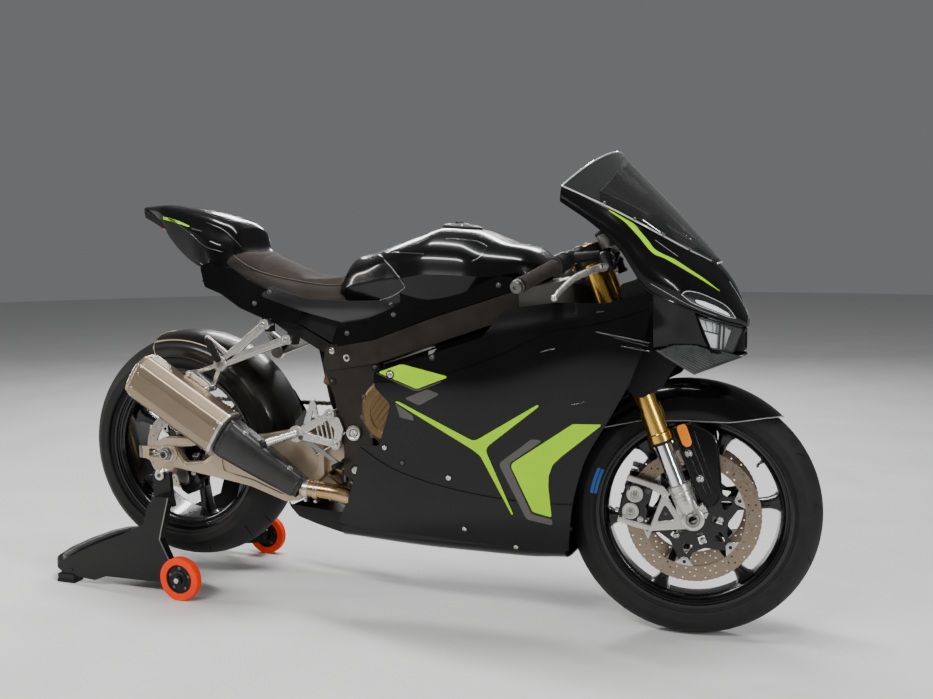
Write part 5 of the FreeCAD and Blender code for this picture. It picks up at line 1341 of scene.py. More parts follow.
def px_patch(poly, tree, off=0.5, thick=0.8, step=4.0, edge=2.0, grid=True):
    """Closed thin shell whose outline is given in the photograph's pixels, laid on a surface."""
    ol = resample(poly, edge, closed=True)
    x0, y0 = ol.min(axis=0)
    x1, y1 = ol.max(axis=0)
    g = np.array([(x, y) for y in np.arange(y0, y1, step) for x in np.arange(x0, x1, step)]) if grid else np.zeros((0, 2))
    if len(g):
        g = g[inside(ol, g)]
        if len(g):
            g = g[edge_dist(ol, g) > step * 0.45]
    P = np.vstack([ol, g]) if len(g) else ol
    vs, es, fs, ov, oe, of_ = delaunay_2d_cdt([Vector(p) for p in P], [(i, (i + 1) % len(ol)) for i in range(len(ol))], [], 0, 1e-5)
    Q = np.array([v[:] for v in vs])
    T = np.array([tuple(f) for f in fs])
    T = T[inside(ol, Q[T].mean(axis=1))]
    hits = [on_tree(tree, q[0], q[1]) for q in Q]
    A = np.array([h[0] + h[1] * off for h in hits])
    Bk = np.array([h[0] + h[1] * (off - thick) for h in hits])
    n = len(Q)
    F = [tuple(t) for t in T] + [tuple(t[::-1] + n) for t in T]
    cnt = set()
    for t in T:
        cnt |= {(t[0], t[1]), (t[1], t[2]), (t[2], t[0])}
    F += [(b, a, a + n, b + n) for a, b in cnt if (b, a) not in cnt]
    return clean(np.vstack([A, Bk]), F, 1e-5)


def px_line(pts, tree, r, off=0.0, n=8, smooth=True, seg=8):
    """A bead along a pixel line on a surface."""
    c = crom(pts, seg) if smooth else resample(pts, 2.0)
    P = []
    for q in c:
        p, nn = on_tree(tree, q[0], q[1])
        P.append(p + nn * off)
    P = np.array(P)
    keep = np.r_[True, np.linalg.norm(np.diff(P, axis=0), axis=1) > 0.3]
    return g_tube(P[keep], r, n)


def lerp_patch(c00, c10, c11, c01, n=12, m=10, bulge=0.0, thick=2.0):
    """Patch over four corners, bulged along its normal."""
    rows = []
    nn = unit(np.cross(c10 - c00, c01 - c00))
    for i in range(n + 1):
        row = []
        for j in range(m + 1):
            s, t = i / n, j / m
            p = c00 * (1 - s) * (1 - t) + c10 * s * (1 - t) + c11 * s * t + c01 * (1 - s) * t
            row.append(p + nn * bulge * math.sin(math.pi * s) * math.sin(math.pi * t))
        rows.append(row)
    return clean(*g_skin(rows, thick))


# neon and grey films on the tail
tf = [(px_patch([(163, 216.6), (172, 218.8), (181.5, 222.2), (190, 226.2), (188.5, 227.2), (180.5, 224.2), (171.5, 221.2), (163.6, 219.4)], TAIL_TREE, 0.5, 0.8, 3, 1.5), NEON),
      (px_patch([(190.5, 227.4), (201.5, 230.6), (202.5, 232.0), (192, 229.4)], TAIL_TREE, 0.5, 0.8, 3, 1.5), GREY_FILM_AND_EDGE_HIGHLIGHT)]
piece("film_tail", [q for f, m_ in tf for q in ((f, m_), (mirror(f), m_))], sharp=60)

# tail lamp under the tip
tlo = [(-128, 1040), (-124, 1018), (-58, 984), (-40, 984), (-50, 1010)]
tlp = [(g_prism(tlo, -34, 34, 2.5), SATIN)]
lens = []
for a in np.linspace(0, 1, 12):
    x, z = -126.5 + 64 * a * 0.95, 1030 - 42 * a
    lens.append([(x - 3.5 * math.cos(math.pi * (k / 10 - 0.5)), -31 + 62 * k / 10, z - 2.5 * math.cos(math.pi * (k / 10 - 0.5))) for k in range(11)])
tlp.append((clean(*g_skin(lens, 3.0)), TAILRED))
for k in range(5):
    y = -24 + 12 * k
    tlp.append((g_tube([(-129, y, 1029), (-112, y, 1017), (-94, y, 1005), (-78, y, 994)], 1.5, 8), TAILRED))
piece("tail_lamp", tlp, rep=("tail_light",))

# carbon panels under the seat
spn = [(300, 812), (420, 776), (560, 742), (600, 748), (700, 792), (690, 806), (560, 802), (440, 806), (330, 838)]
sp = []
for s in (-1, 1):
    yf = lambda x, z: 151.0 - 0.00022 * (x - 500) ** 2 - 0.004 * (z - 790) ** 2
    sp.append((shell_panel(round_poly(spn, [8, 60, 14, 14, 8, 6, 60, 60, 10], 4), yf, s, 7.0, 9.0), CARBON_SIDE))
    for x, z in ((330, 822), (676, 796)):
        sp.append((g_bolt(a3(x, s * float(yf(x, z)), z), a3(0, s, 0), 5.0, 2.6, "button", washer=7.0), DARKSTEEL))
piece("side_cover_carbon", sp, rep=("seat_side_panels",), sharp=40)

# ------------------------------------------------------------------ seat, a stuffed pad
SEAT = {178: [(0, 903), (86, 903), (108, 901), (115, 893), (0, 887)], 198: [(0, 922), (88, 923), (112, 910), (117, 876), (0, 868)],
        225: [(0, 922), (88, 916), (115, 896), (118, 855), (0, 848)], 265: [(0, 911), (92, 889), (118, 868), (120, 836), (0, 828)],
        345: [(0, 878), (96, 858), (124, 838), (126, 806), (0, 800)], 410: [(0, 850), (96, 845), (122, 822), (126, 796), (0, 796)],
        490: [(0, 858), (78, 844), (106, 826), (118, 788), (0, 788)], 540: [(0, 884), (60, 870), (90, 850), (108, 792), (0, 792)]}
sr = ring_rows(SEAT, 9.0, 6, sharp=(3,))
cen = sr.mean(axis=1, keepdims=True)
off = sr - cen
ln = np.linalg.norm(off[..., 1:], axis=2, keepdims=True)
sr = cen + off * np.clip((ln - 3.5) / np.maximum(ln, 1), 0.5, 1)
sv, sf = clean(*g_rows(sr, wrap=True, caps=True))
sm = bpy.data.meshes.new("pad_src")
sm.from_pydata(((sv - a3(OX, OY, 0)) / 1000).tolist(), [], sf)
so = bpy.data.objects.new("pad_src", sm)
scene.collection.objects.link(so)
rm = so.modifiers.new("voxel", "REMESH")
rm.mode, rm.voxel_size = "VOXEL", 0.0052
dg = bpy.context.evaluated_depsgraph_get()
pad = bpy.data.meshes.new_from_object(so.evaluated_get(dg))
bpy.data.objects.remove(so)
pad.name = "seat_pad"
po = bpy.data.objects.new("seat_pad", pad)
scene.collection.objects.link(po)
nv = len(pad.vertices)
rest = np.empty(nv * 3)
pad.vertices.foreach_get("co", rest)
rest = rest.reshape(-1, 3)
bike = rest * 1000 + a3(OX, OY, 0)
base = np.interp(bike[:, 0], [178, 225, 265, 345, 410, 540], [893, 856, 838, 809, 800, 794])
vg = po.vertex_groups.new(name="pin")
vg.add([int(i) for i in np.where(bike[:, 2] < base + 6)[0]], 1.0, "REPLACE")
cl = po.modifiers.new("cloth", "CLOTH")
cl.settings.quality = 5
cl.settings.mass = 0.3
cl.settings.use_pressure = True
cl.settings.uniform_pressure_force = 4.0
cl.settings.effector_weights.gravity = 0.0
cl.settings.vertex_group_mass = "pin"
cl.settings.tension_stiffness = 25
cl.settings.compression_stiffness = 25
cl.settings.bending_stiffness = 3
cl.point_cache.frame_start, cl.point_cache.frame_end = 1, 20
for f in range(1, 21):
    scene.frame_set(f)
dg = bpy.context.evaluated_depsgraph_get()
ev = po.evaluated_get(dg).to_mesh()
sim = np.empty(nv * 3)
ev.vertices.foreach_get("co", sim)
sim = sim.reshape(-1, 3)
po.evaluated_get(dg).to_mesh_clear()
d = sim - rest
L = np.linalg.norm(d, axis=1, keepdims=True)
d = d * np.minimum(1.0, 0.006 / np.maximum(L, 1e-9))
po.modifiers.clear()
rest = rest + d
pad.vertices.foreach_set("co", rest.ravel())
pad.update()
scene.frame_set(1)
# even the voxel steps out, then sink a seam where top cover and side cover meet
bm = bmesh.new()
bm.from_mesh(pad)
for _ in range(3):
    bmesh.ops.smooth_vert(bm, verts=bm.verts[:], factor=0.5, use_axis_x=True, use_axis_y=True, use_axis_z=True)
bm.to_mesh(pad)
tree = BVHTree.FromBMesh(bm)
bm.free()
co = np.empty(nv * 3)
pad.vertices.foreach_get("co", co)
co = co.reshape(-1, 3) * 1000 + a3(OX, OY, 0)
SEAT_TREE = BVHTree.FromPolygons([Vector(v) for v in co], [tuple(p.vertices) for p in pad.polygons])
seam_px = crom([(229.5, 251.5), (238, 259), (252, 268), (270, 274.5), (290, 279), (312, 283), (332, 285.0), (349, 283.5)], 8)
seam = np.array([on_tree(SEAT_TREE, q[0], q[1])[0] for q in seam_px])
seam = seam[np.argsort(seam[:, 0])]
seam = seam[np.r_[True, np.diff(seam[:, 0]) > 0.5]]
ss_ = np.abs(co[:, 1])
sz_ = np.interp(co[:, 0], seam[:, 0], seam[:, 2])
sy_ = np.interp(co[:, 0], seam[:, 0], -seam[:, 1])
dist = np.hypot(ss_ - sy_, co[:, 2] - sz_)
nrm = np.empty(nv * 3)
pad.vertices.foreach_get("normal", nrm)
nrm = nrm.reshape(-1, 3)
co2 = co - nrm * (2.4 * np.exp(-(dist / 4.5) ** 2))[:, None]
# stitched channels across the pad
for xc in (262.0, 420.0):
    dd = np.abs(co[:, 0] - xc - 0.0012 * co[:, 1] ** 2)
    top = (co[:, 2] > sz_ + 2)
    co2 = co2 - nrm * (1.6 * np.exp(-(dd / 4.0) ** 2) * top)[:, None]
pad.vertices.foreach_set("co", ((co2 - a3(OX, OY, 0)) / 1000).ravel())
pad.update()
# faces below the seam take the darker brown: leather, with painted shade on the seat's side
pad.materials.append(SUEDE)
pad.materials.append(SIDE_LEATHER_SHADED)
for p in pad.polygons:
    c = co[list(p.vertices)].mean(axis=0)
    zz = float(np.interp(c[0], seam[:, 0], seam[:, 2]))
    p.material_index = 1 if c[2] < zz else 0
    p.use_smooth = True
sd = po.modifiers.new("sub", "SUBSURF")
sd.levels = sd.render_levels = 1
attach(po, "root")
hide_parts("rider_seat")
MADE["seat_pad"] = po
half = np.array([on_tree(SEAT_TREE, q[0], q[1])[0] + a3(0, -0.6, 0.3) for q in seam_px])
half = half[np.r_[True, np.linalg.norm(np.diff(half, axis=0), axis=1) > 0.8]]
path = crom(resample(half, 9), 3)
pp = g_tube(path, 1.25, 10)
piece("seat_piping_cord", [(pp, PIPING), (mirror(pp), PIPING)])

# ------------------------------------------------------------------ rear hugger
HP = crom([(-97, 262), (-97, 292), (-70, 316), (-30, 326), (30, 326), (70, 316), (97, 292), (97, 262)], 6)
rows = []
for a in np.radians(np.linspace(97, -13, 56)):
    rows.append([(REAR[0] + r * math.sin(a), y, REAR[2] + r * math.cos(a)) for y, r in HP])
HUGM = plain("hugger_satin_black", (0.0075, 0.0060, 0.0045), (0.0115, 0.0095, 0.0075), (0.32, 0.42), scale=40.0, bump=0.15, bump_scale=900.0, dist=0.0002, coat=0.25, coat_rough=0.12, spec=0.3)
hug = [(clean(*g_skin(rows, -2.6)), HUGM)]
flap = round_poly([(150, 600), (262, 530), (300, 470), (304, 430), (270, 432), (190, 520)], [10, 40, 20, 10, 10, 30], 5)
for s in (-1, 1):
    hug.append((g_plate(flap, min(s * 94.5, s * 98.5), max(s * 94.5, s * 98.5), bev=1.2), SATIN))
# warm beige strips along the rear edge and shoulders: painted highlights of the reflections on the hugger's top
hug.append((g_tube([rows[-1][k] for k in range(len(HP))], 1.8, 8), ARMCOAT))
kn = len(HP)
for k in (9, kn - 10):
    hug.append((g_tube([rows[i][k] for i in range(len(rows) - 22, len(rows))], list(np.linspace(1.0, 3.6, 22)), 10), ARMCOAT))
for k in (0, kn - 1):
    hug.append((g_tube([r_[k] for r_ in rows], 1.6, 8), HUGM))
piece("hugger_shell", hug, rep=("rear_hugger",), sharp=36)

# ------------------------------------------------------------------ headlamps
for s, nm in ((-1, "right"), (1, "left")):
    Q = [a3(x, s * y, z) for x, y, z in ((1422, 134, 780), (1450, 107, 702), (1492, 44, 688), (1513, 36, 744))]
    A, Bq, Cq, Dq = Q                                    # outer top, outer bottom, inner bottom, inner top
    fwd = unit(a3(0.93, s * 0.30, -0.14))
    out = 1 if s < 0 else -1
    inn = [p - fwd * 26 + (sum(Q) / 4 - p) * 0.10 for p in Q]
    lp = []
    ring = []
    for k in range(4):
        p, q = Q[k], Q[(k + 1) % 4]
        pi, qi = inn[k], inn[(k + 1) % 4]
        lp.append((clean(*g_skin([[p + (q - p) * t for t in np.linspace(0, 1, 9)], [pi + (qi - pi) * t for t in np.linspace(0, 1, 9)]], 1.6)), SATIN))
    # reflector floors each side of a divider
    m0, m1 = A + (Dq - A) * 0.60, Bq + (Cq - Bq) * 0.56
    mi0, mi1 = m0 - fwd * 24, m1 - fwd * 24
    a_, b_, c_, d_ = inn
    lp.append((lerp_patch(a_ + (d_ - a_) * 0.06, b_ + (c_ - b_) * 0.06, mi1, mi0, 14, 10, bulge=out * 7.0, thick=1.5), LIGHTBAR))
    lp.append((lerp_patch(mi0, mi1, c_ + (b_ - c_) * 0.05, d_ + (a_ - d_) * 0.05, 14, 10, bulge=out * 7.0, thick=1.5), SCREENEDGE))
    mm = 0.42
    l0, l1 = a_ + (b_ - a_) * mm, mi0 + (mi1 - mi0) * mm
    lp.append((lerp_patch(l0 + fwd * 6, b_ + fwd * 7, mi1 + fwd * 6, l1 + fwd * 6, 10, 8, bulge=0.0, thick=1.6), LIGHTBAR))
    r0, r1 = mi0 + (mi1 - mi0) * 0.10, d_ + (c_ - d_) * 0.12
    lp.append((lerp_patch(r0 + fwd * 5, mi1 + fwd * 6, c_ + fwd * 6, r1 + fwd * 5, 10, 8, bulge=0.0, thick=1.6), SCREENEDGE))
    lp.append((g_tube([m0 - fwd * 2, m1 - fwd * 2], 2.6, 8), SATIN))
    lp.append((g_tube([mi0 + fwd * 12, mi1 + fwd * 12], 2.4, 8), SATIN))
    lp.append((g_tube([l0 + fwd * 8, l1 + fwd * 8], 1.6, 8), SATIN))
    for t in (0.22, 0.5, 0.78):
        lp.append((g_tube([l0 + (l1 - l0) * t + fwd * 7, a_ + (mi0 - a_) * t + fwd * 6], 1.1, 6), DARKSTEEL))
    lensm = lerp_patch(A, Bq, Cq, Dq, 14, 12, bulge=out * 4.0, thick=2.0)
    lp.append((lensm, LENS))
    rim = np.array([A, Bq, Cq, Dq, A])
    lp.append((g_tube(resample(rim, 8)[:-1], 1.5, 8), SATIN))
    piece("headlamp_" + nm, lp, rep=("headlights",) if s < 0 else (), sharp=30)

# daytime lamp: a slit in the cowl with its light bar, and pale lines round it, painted highlights of the slit's edges
slit = round_poly([(681.6, 294.4), (685.6, 291.6), (697, 292.8), (708.6, 297.0), (724.0, 304.8), (730.4, 310.8), (735.4, 318.0), (729, 316.8), (714, 311.2), (692.0, 302.4)], [1, 3, 5, 8, 5, 4, 1, 4, 8, 4], 3)
bar = round_poly([(694, 299.2), (703, 301.2), (716, 306.4), (727, 312.6), (731.4, 317.0), (722, 313.2), (706, 307.0), (696.5, 302.8)], [1, 4, 6, 3, 1, 3, 4, 2], 3)
dl = []
for part, m_ in ((px_patch(slit, COWL_R, 0.8, 1.8, 4, 2), DARKLENS), (px_patch(bar, COWL_R, 1.6, 1.4, 4, 2), LIGHTBAR)):
    dl += [(part, m_), (mirror(part), m_)]
# pale beads on the slit's edges: painted highlights
for line, r in (([(681.4, 294.6), (685.7, 291.5), (697, 292.7), (708.6, 297.0), (724.0, 304.8), (730.4, 310.8), (735.4, 318.0)], 0.9),
                ([(681.4, 294.6), (692.0, 302.6), (714, 311.4), (729, 317.0), (735.4, 318.0)], 0.9)):
    t_ = px_line(line, COWL_R, r, 0.9)
    dl += [(t_, SCREENEDGE), (mirror(t_), SCREENEDGE)]
piece("daytime_lamps", dl, sharp=50)

# ------------------------------------------------------------------ cheeks beside the lamps, chin, intake
CK = {1334: [(201, 836), (198, 800), (196, 750), (188, 704)], 1376: [(178, 810), (172, 780), (166, 736), (152, 702)],
      1418: [(140, 788), (134, 760), (124, 722), (112, 698)], 1440: [(120, 776), (118, 752), (110, 720), (100, 696)]}
ck = []
KX = sorted(CK)
KD = np.array([CK[x] for x in KX], float)
for s in (-1, 1):
    rows = []
    for t in np.linspace(0, 1, 16):
        row = []
        for j in range(25):
            v = j / 24
            zc = 836 - 138 * v
            xe = 1418 + (1450 - 1418) * (830 - zc) / 140.0        # ahead of this line stands the lamp
            x = 1334 + (xe - 1334) * t
            r = pchip(KX, KD.reshape(4, -1), [min(x, 1440)]).reshape(4, 2)
            c = pchip([0, 0.26, 0.62, 1.0], r, [v])[0]
            row.append((x, s * c[0], c[1]))
        rows.append(row)
    ck.append((clean(*g_skin(rows, -3.0 if s < 0 else 3.0)), GLOSS))
piece("cheek_panels", ck, rep=("nose_cheeks",), sharp=36)

chin = []
for s in (-1, 1):
    Bq, Cq = a3(1450, s * 107, 702), a3(1492, s * 44, 688)
    c0 = a3(1512, 0, 682)
    top = np.array([Bq, Cq, c0])
    c = crom(np.array([a3(1440, s * 100, 697), Bq + a3(1, 0, -3), Cq + a3(1, 0, -3), a3(1513, s * 20, 686), a3(1516, 0, 686)]), 6)
    rows = [c, c + a3(2, 0, -3.5), c + a3(-4, 0, -7), c + a3(-34, 0, -8), c + a3(-60, 0, -4)]
    chin.append((clean(*g_skin(rows, 2.0)), GLOSS))
duct = round_poly([(-34, 690), (34, 690), (34, 742), (-34, 742)], 8, 4)
hole = round_poly([(-26, 698), (26, 698), (26, 734), (-26, 734)], 6, 4)
chin.append((g_plate(duct, -58, 58, holes=[hole], bev=2.0, place=lambda a, b, t: a3(1458 + t, a, b)), SATIN))
mesh_ = []
for k in range(7):
    y = -24 + 8 * k
    mesh_.append(g_tube([(1440, y, 697), (1440, y, 735)], 0.8, 6))
for k in range(5):
    z = 701 + 7.6 * k
    mesh_.append(g_tube([(1440, -27, z), (1440, 27, z)], 0.8, 6))
chin.append((join(mesh_), DARKSTEEL))
piece("chin_duct", chin, rep=("nose_duct",), sharp=40)

# ------------------------------------------------------------------ winglets: thin blades with fine ribs
WING = plain("winglet_ribbed_black", (0.020, 0.021, 0.021), (0.030, 0.031, 0.031), (0.24, 0.34), scale=40.0, bump=0.1, bump_scale=900.0, dist=0.0002, coat=0.6, coat_rough=0.1)
# lighter grey for the ribs: painted highlights on their crests
WINGRIB_HIGHLIGHT = plain("winglet_rib_painted_highlight", (0.060, 0.062, 0.062), (0.085, 0.087, 0.087), (0.3, 0.4), scale=40.0, spec=0.4)
wg = []
for s in (-1, 1):
    a, b = a3(1404, s * 120, 722), a3(1342, s * 192, 706)           # inner rear, outer rear
    c, d = a3(1512, s * 44, 680), a3(1428, s * 202, 658)            # inner front, outer front
    rows = []
    for i in range(33):
        t = i / 32
        row = []
        for j in range(61):
            v = j / 60
            p = a * (1 - t) * (1 - v) + b * t * (1 - v) + d * t * v + c * (1 - t) * v
            rib = 0.0
            row.append(p + a3(0, 0, 3.0 * math.sin(math.pi * t) + rib))
        rows.append(row)
    wg.append((clean(*g_skin(rows, 4.0 if s < 0 else -4.0)), WING))
    # lighter grey tubes along the outer and front edges: painted highlights
    wg.append((g_tube(resample(np.array([b, d]), 8), 2.4, 8), GREY_FILM_AND_EDGE_HIGHLIGHT))
    wg.append((g_tube(resample(np.array([d, c]), 8), 2.0, 8), GREY_FILM_AND_EDGE_HIGHLIGHT))
    wg.append((g_tube(resample(np.array([a, b]), 8), 2.2, 8), GLOSS))
for s in (-1, 1):
    a, b = a3(1404, s * 120, 722), a3(1342, s * 192, 706)
    c, d = a3(1512, s * 44, 680), a3(1428, s * 202, 658)
    # ribs across the blade in the lighter grey: painted highlights on their crests
    for k in range(1, 16):
        t = k / 16
        line = [a * (1 - t) * (1 - v) + b * t * (1 - v) + d * t * v + c * (1 - t) * v + a3(0, 0, 3.0 * math.sin(math.pi * t) + 0.2) for v in np.linspace(0.04, 0.96, 12)]
        wg.append((g_tube(line, 1.15, 6), WINGRIB_HIGHLIGHT))
piece("winglet_blades", wg, rep=("winglets",), sharp=50)


# ------------------------------------------------------------------ wheels
def circle(cx, cy, r, n=40, a0=0.0):
    return [(cx + r * math.cos(a0 + 2 * math.pi * k / n), cy + r * math.sin(a0 + 2 * math.pi * k / n)) for k in range(n)]


def rp(c, r, deg):
    """A point of the wheel plane (x, z) at radius r and angle deg from straight ahead, upwards."""
    a = math.radians(deg)
    return (c[0] + r * math.cos(a), c[2] + r * math.sin(a))


def tyre_part(c, R, hw, bead, sh, cuts, depth, lo, hi, lean):
    """Tyre skin whose columns follow the tread cuts, so that every cut has clean walls."""
    prof = [(219.5, -bead), (225, -bead - 1.5), (231, -bead - 4.5), (233.5, -bead - 4.6), (235, -bead - 6.6), (238.5, -bead - 7.6)]
    k = (229 + sh) / 2
    side = crom([(238.5, -bead - 7.6), (k - 6, -hw + 2.6), (k + 8, -hw + 0.6), (sh, -hw)], 5)[1:]
    prof += [tuple(p) for p in side]
    # crown: arc through the two shoulders and the top
    h = R - sh
    rad = (hw * hw + h * h) / (2 * h)
    t1 = math.asin(min(1.0, hw / rad))
    for t in np.linspace(-t1, t1, 41)[1:-1]:
        prof.append((R - rad + rad * math.cos(t), rad * math.sin(t)))
    prof += [(r, -y) for r, y in prof[:len(prof) - 39][::-1]]
    prof = np.array(prof)
    m = len(prof)
    cols = []
    for q in range(cuts):
        a = 2 * math.pi * q / cuts
        w = 2.1 / R
        for d in (0, 0.6 * w, 1.4 * w, 2 * w):
            cols.append((a + d, 1 if 0.3 * w < d < 1.7 * w else 0, q))
        rest = np.linspace(a + 2 * w, a + 2 * math.pi / cuts, 12)[1:-1]
        cols += [(x, 0, q) for x in rest]
    rows = []
    for a, g, q in cols:
        row = []
        for r, y in prof:
            s = abs(y)
            on = g and (lo if q % 2 == 0 else lo * 0.35) < s < (hi if q % 2 == 0 else hi * 0.62) and ((y > 0) == (q % 4 < 2) or q % 2 == 0)
            rr = r - (depth if on else 0.0)
            aa = a + lean * (s / hw) ** 1.4 * (1 if r > sh - 1 else 1)
            row.append((c[0] + rr * math.cos(aa), y, c[2] + rr * math.sin(aa)))
        rows.append(row)
    V, F = g_rows(rows, wrap=False, close=True)
    n = len(rows)
    F += [(j * m, ((j + 1) % n) * m, ((j + 1) % n) * m + m - 1, j * m + m - 1) for j in range(n)]
    return clean(V, F, 1e-3)


def rim_part(c, b, f, hub_r, hub_w, a0, lip):
    P = [(f - 0.5, 222.5), (f, 224), (f + 0.2, 230), (f - 1.2, 232.5), (f - 3.6, 232), (b, 229), (b, 220), (b - 2, 218.5), (-b + 2, 218.5), (-b, 220), (-b, 229), (-f + 3.6, 232),
         (-f + 1.2, 232.5), (-f - 0.2, 230), (-f, 224), (-f + 0.5, 222.5), (-f + 5, 221), (-f + 6, 218), (-f + 9, 217), (-f + 10, 213), (-b + 10, 209.5), (-b + 12, 206), (-b + 20, 203.5), (-b + 24, 202),
         (b - 24, 202), (b - 20, 203.5), (b - 12, 206), (b - 10, 209.5), (f - 10, 213), (f - 9, 217), (f - 6, 218), (f - 5, 221)]
    o = a3(c[0], 0, c[2])
    parts = [g_lathe([(r, y) for y, r in P], o, (0, 1, 0), 120, closed=True)]
    H = [(13.6, -hub_w), (26, -hub_w), (hub_r - 2, -hub_w + 1.5), (hub_r, -hub_w + 4), (hub_r, -hub_w + 14), (hub_r - 4, -hub_w + 20), (hub_r - 6, -12), (hub_r - 6, 12), (hub_r - 4, hub_w - 20),
         (hub_r, hub_w - 14), (hub_r, hub_w - 4), (hub_r - 2, hub_w - 1.5), (26, hub_w), (13.6, hub_w)]
    parts.append(g_lathe(H, o, (0, 1, 0), 64, closed=True))
    sec = [(1, 0.62), (0.80, 0.95), (0.62, 1.0), (0.36, 1.0), (0.26, -9), (-0.26, -9), (-0.36, 1.0), (-0.62, 1.0), (-0.80, 0.95), (-1, 0.62)]
    R_s = [hub_r - 7, hub_r + 6, hub_r + 20, 80, 110, 150, 178, 192, 199, 203.5]
    wt = np.interp(R_s, [hub_r - 8, hub_r + 10, 110, 178, 192, 203.5], [23, 17, 10.5, 12.5, 17, 27])
    wy = np.interp(R_s, [hub_r - 8, 110, 190, 203.5], [24, 17, 19, 23])
    for k in range(6):
        a = math.radians(a0 + 60 * k)
        d, n = a3(math.cos(a), 0, math.sin(a)), a3(-math.sin(a), 0, math.cos(a))
        rows = []
        for r, t, y in zip(R_s, wt, wy):
            dep = 3.4 * math.sin(math.pi * max(0.0, min(1.0, (r - hub_r - 10) / (186 - hub_r - 10))))
            row = []
            for sg in (1, -1):
                for (p, q) in (sec if sg > 0 else sec[::-1]):
                    yy = (y - dep) if q == -9 else q * y
                    row.append(o + d * r + n * (p * t) + a3(0, sg * yy, 0))
            rows.append(row)
        parts.append(clean(*g_rows(rows, wrap=True, caps=True)))
    # valve stem on the well
    a = math.radians(a0 + 30)
    d = a3(math.cos(a), 0, math.sin(a))
    v0 = o + d * 203 + a3(0, -6, 0)
    stem = [g_lathe([(0, -2), (8, -2), (8, 1.5), (5, 3), (4, 8), (0, 8)], v0, -d, 20), g_tube([v0 - d * 6, v0 - d * 12, v0 - d * 16 + a3(0, -4, 0), v0 - d * 17 + a3(0, -22, 0)], 3.4, 12)]
    return parts, stem


fwp = tyre_part(FRONT0, 300.0, 60.0, 46.0, 262.0, 28, 3.0, 16.0, 49.0, 0.16)
tp_ = [(fwp, RUBBER)]


def side_mark(c, R0, R1, hw, a0, a1, side, yfun, off=1.5, thick=1.2, n=12):
    rows = []
    for r in np.linspace(R0, R1, 15):
        rows.append([(c[0] + r * math.cos(t), side * (yfun(r) + off), c[2] + r * math.sin(t)) for t in np.radians(np.linspace(a0, a1, n))])
    sk = g_skin(rows, thick)
    return clean(*sk)


_pc = tu(596.4, 480.8, -58.6)
_pp = st(_pc[0], _pc[1], 0)
PATCH = (float(np.hypot(_pp[0] - FRONT0[0], _pp[2] - FRONT0[2])), math.degrees(math.atan2(_pp[2] - FRONT0[2], _pp[0] - FRONT0[0])))
yf_front = lambda r: float(np.interp(r, [231, 235, 238.5, 241, 253.5, 262], [50.5, 52.6, 53.6, 57.4, 59.4, 60]))
tp_.append((side_mark(FRONT0, PATCH[0] - 8.5, PATCH[0] + 8.5, 60, PATCH[1] - 7.5, PATCH[1] + 7.5, -1, yf_front), BLUEPATCH))
piece("front_tyre_body", tp_, "front_wheel", rep=("front_tyre",), sharp=34)
rparts, stem = rim_part(FRONT0, 46.0, 51.0, 36.0, 62.0, 8.0, 1)
piece("front_wheel_rim", [(p, RIM) for p in rparts] + [(s_, DARKSTEEL) for s_ in stem], "front_wheel", rep=("front_rim",), sharp=32)

rwp = tyre_part(REAR, 315.0, 92.0, 72.0, 263.0, 26, 3.2, 30.0, 78.0, 0.20)
piece("rear_tyre_body", [(rwp, RUBBER)], "rear_wheel", rep=("rear_tyre",), sharp=34)
rparts, stem = rim_part(REAR, 72.0, 77.0, 42.0, 66.0, -22.0, 1)
piece("rear_wheel_rim", [(p, RIM) for p in rparts] + [(s_, DARKSTEEL) for s_ in stem], "rear_wheel", rep=("rear_rim",), sharp=32)


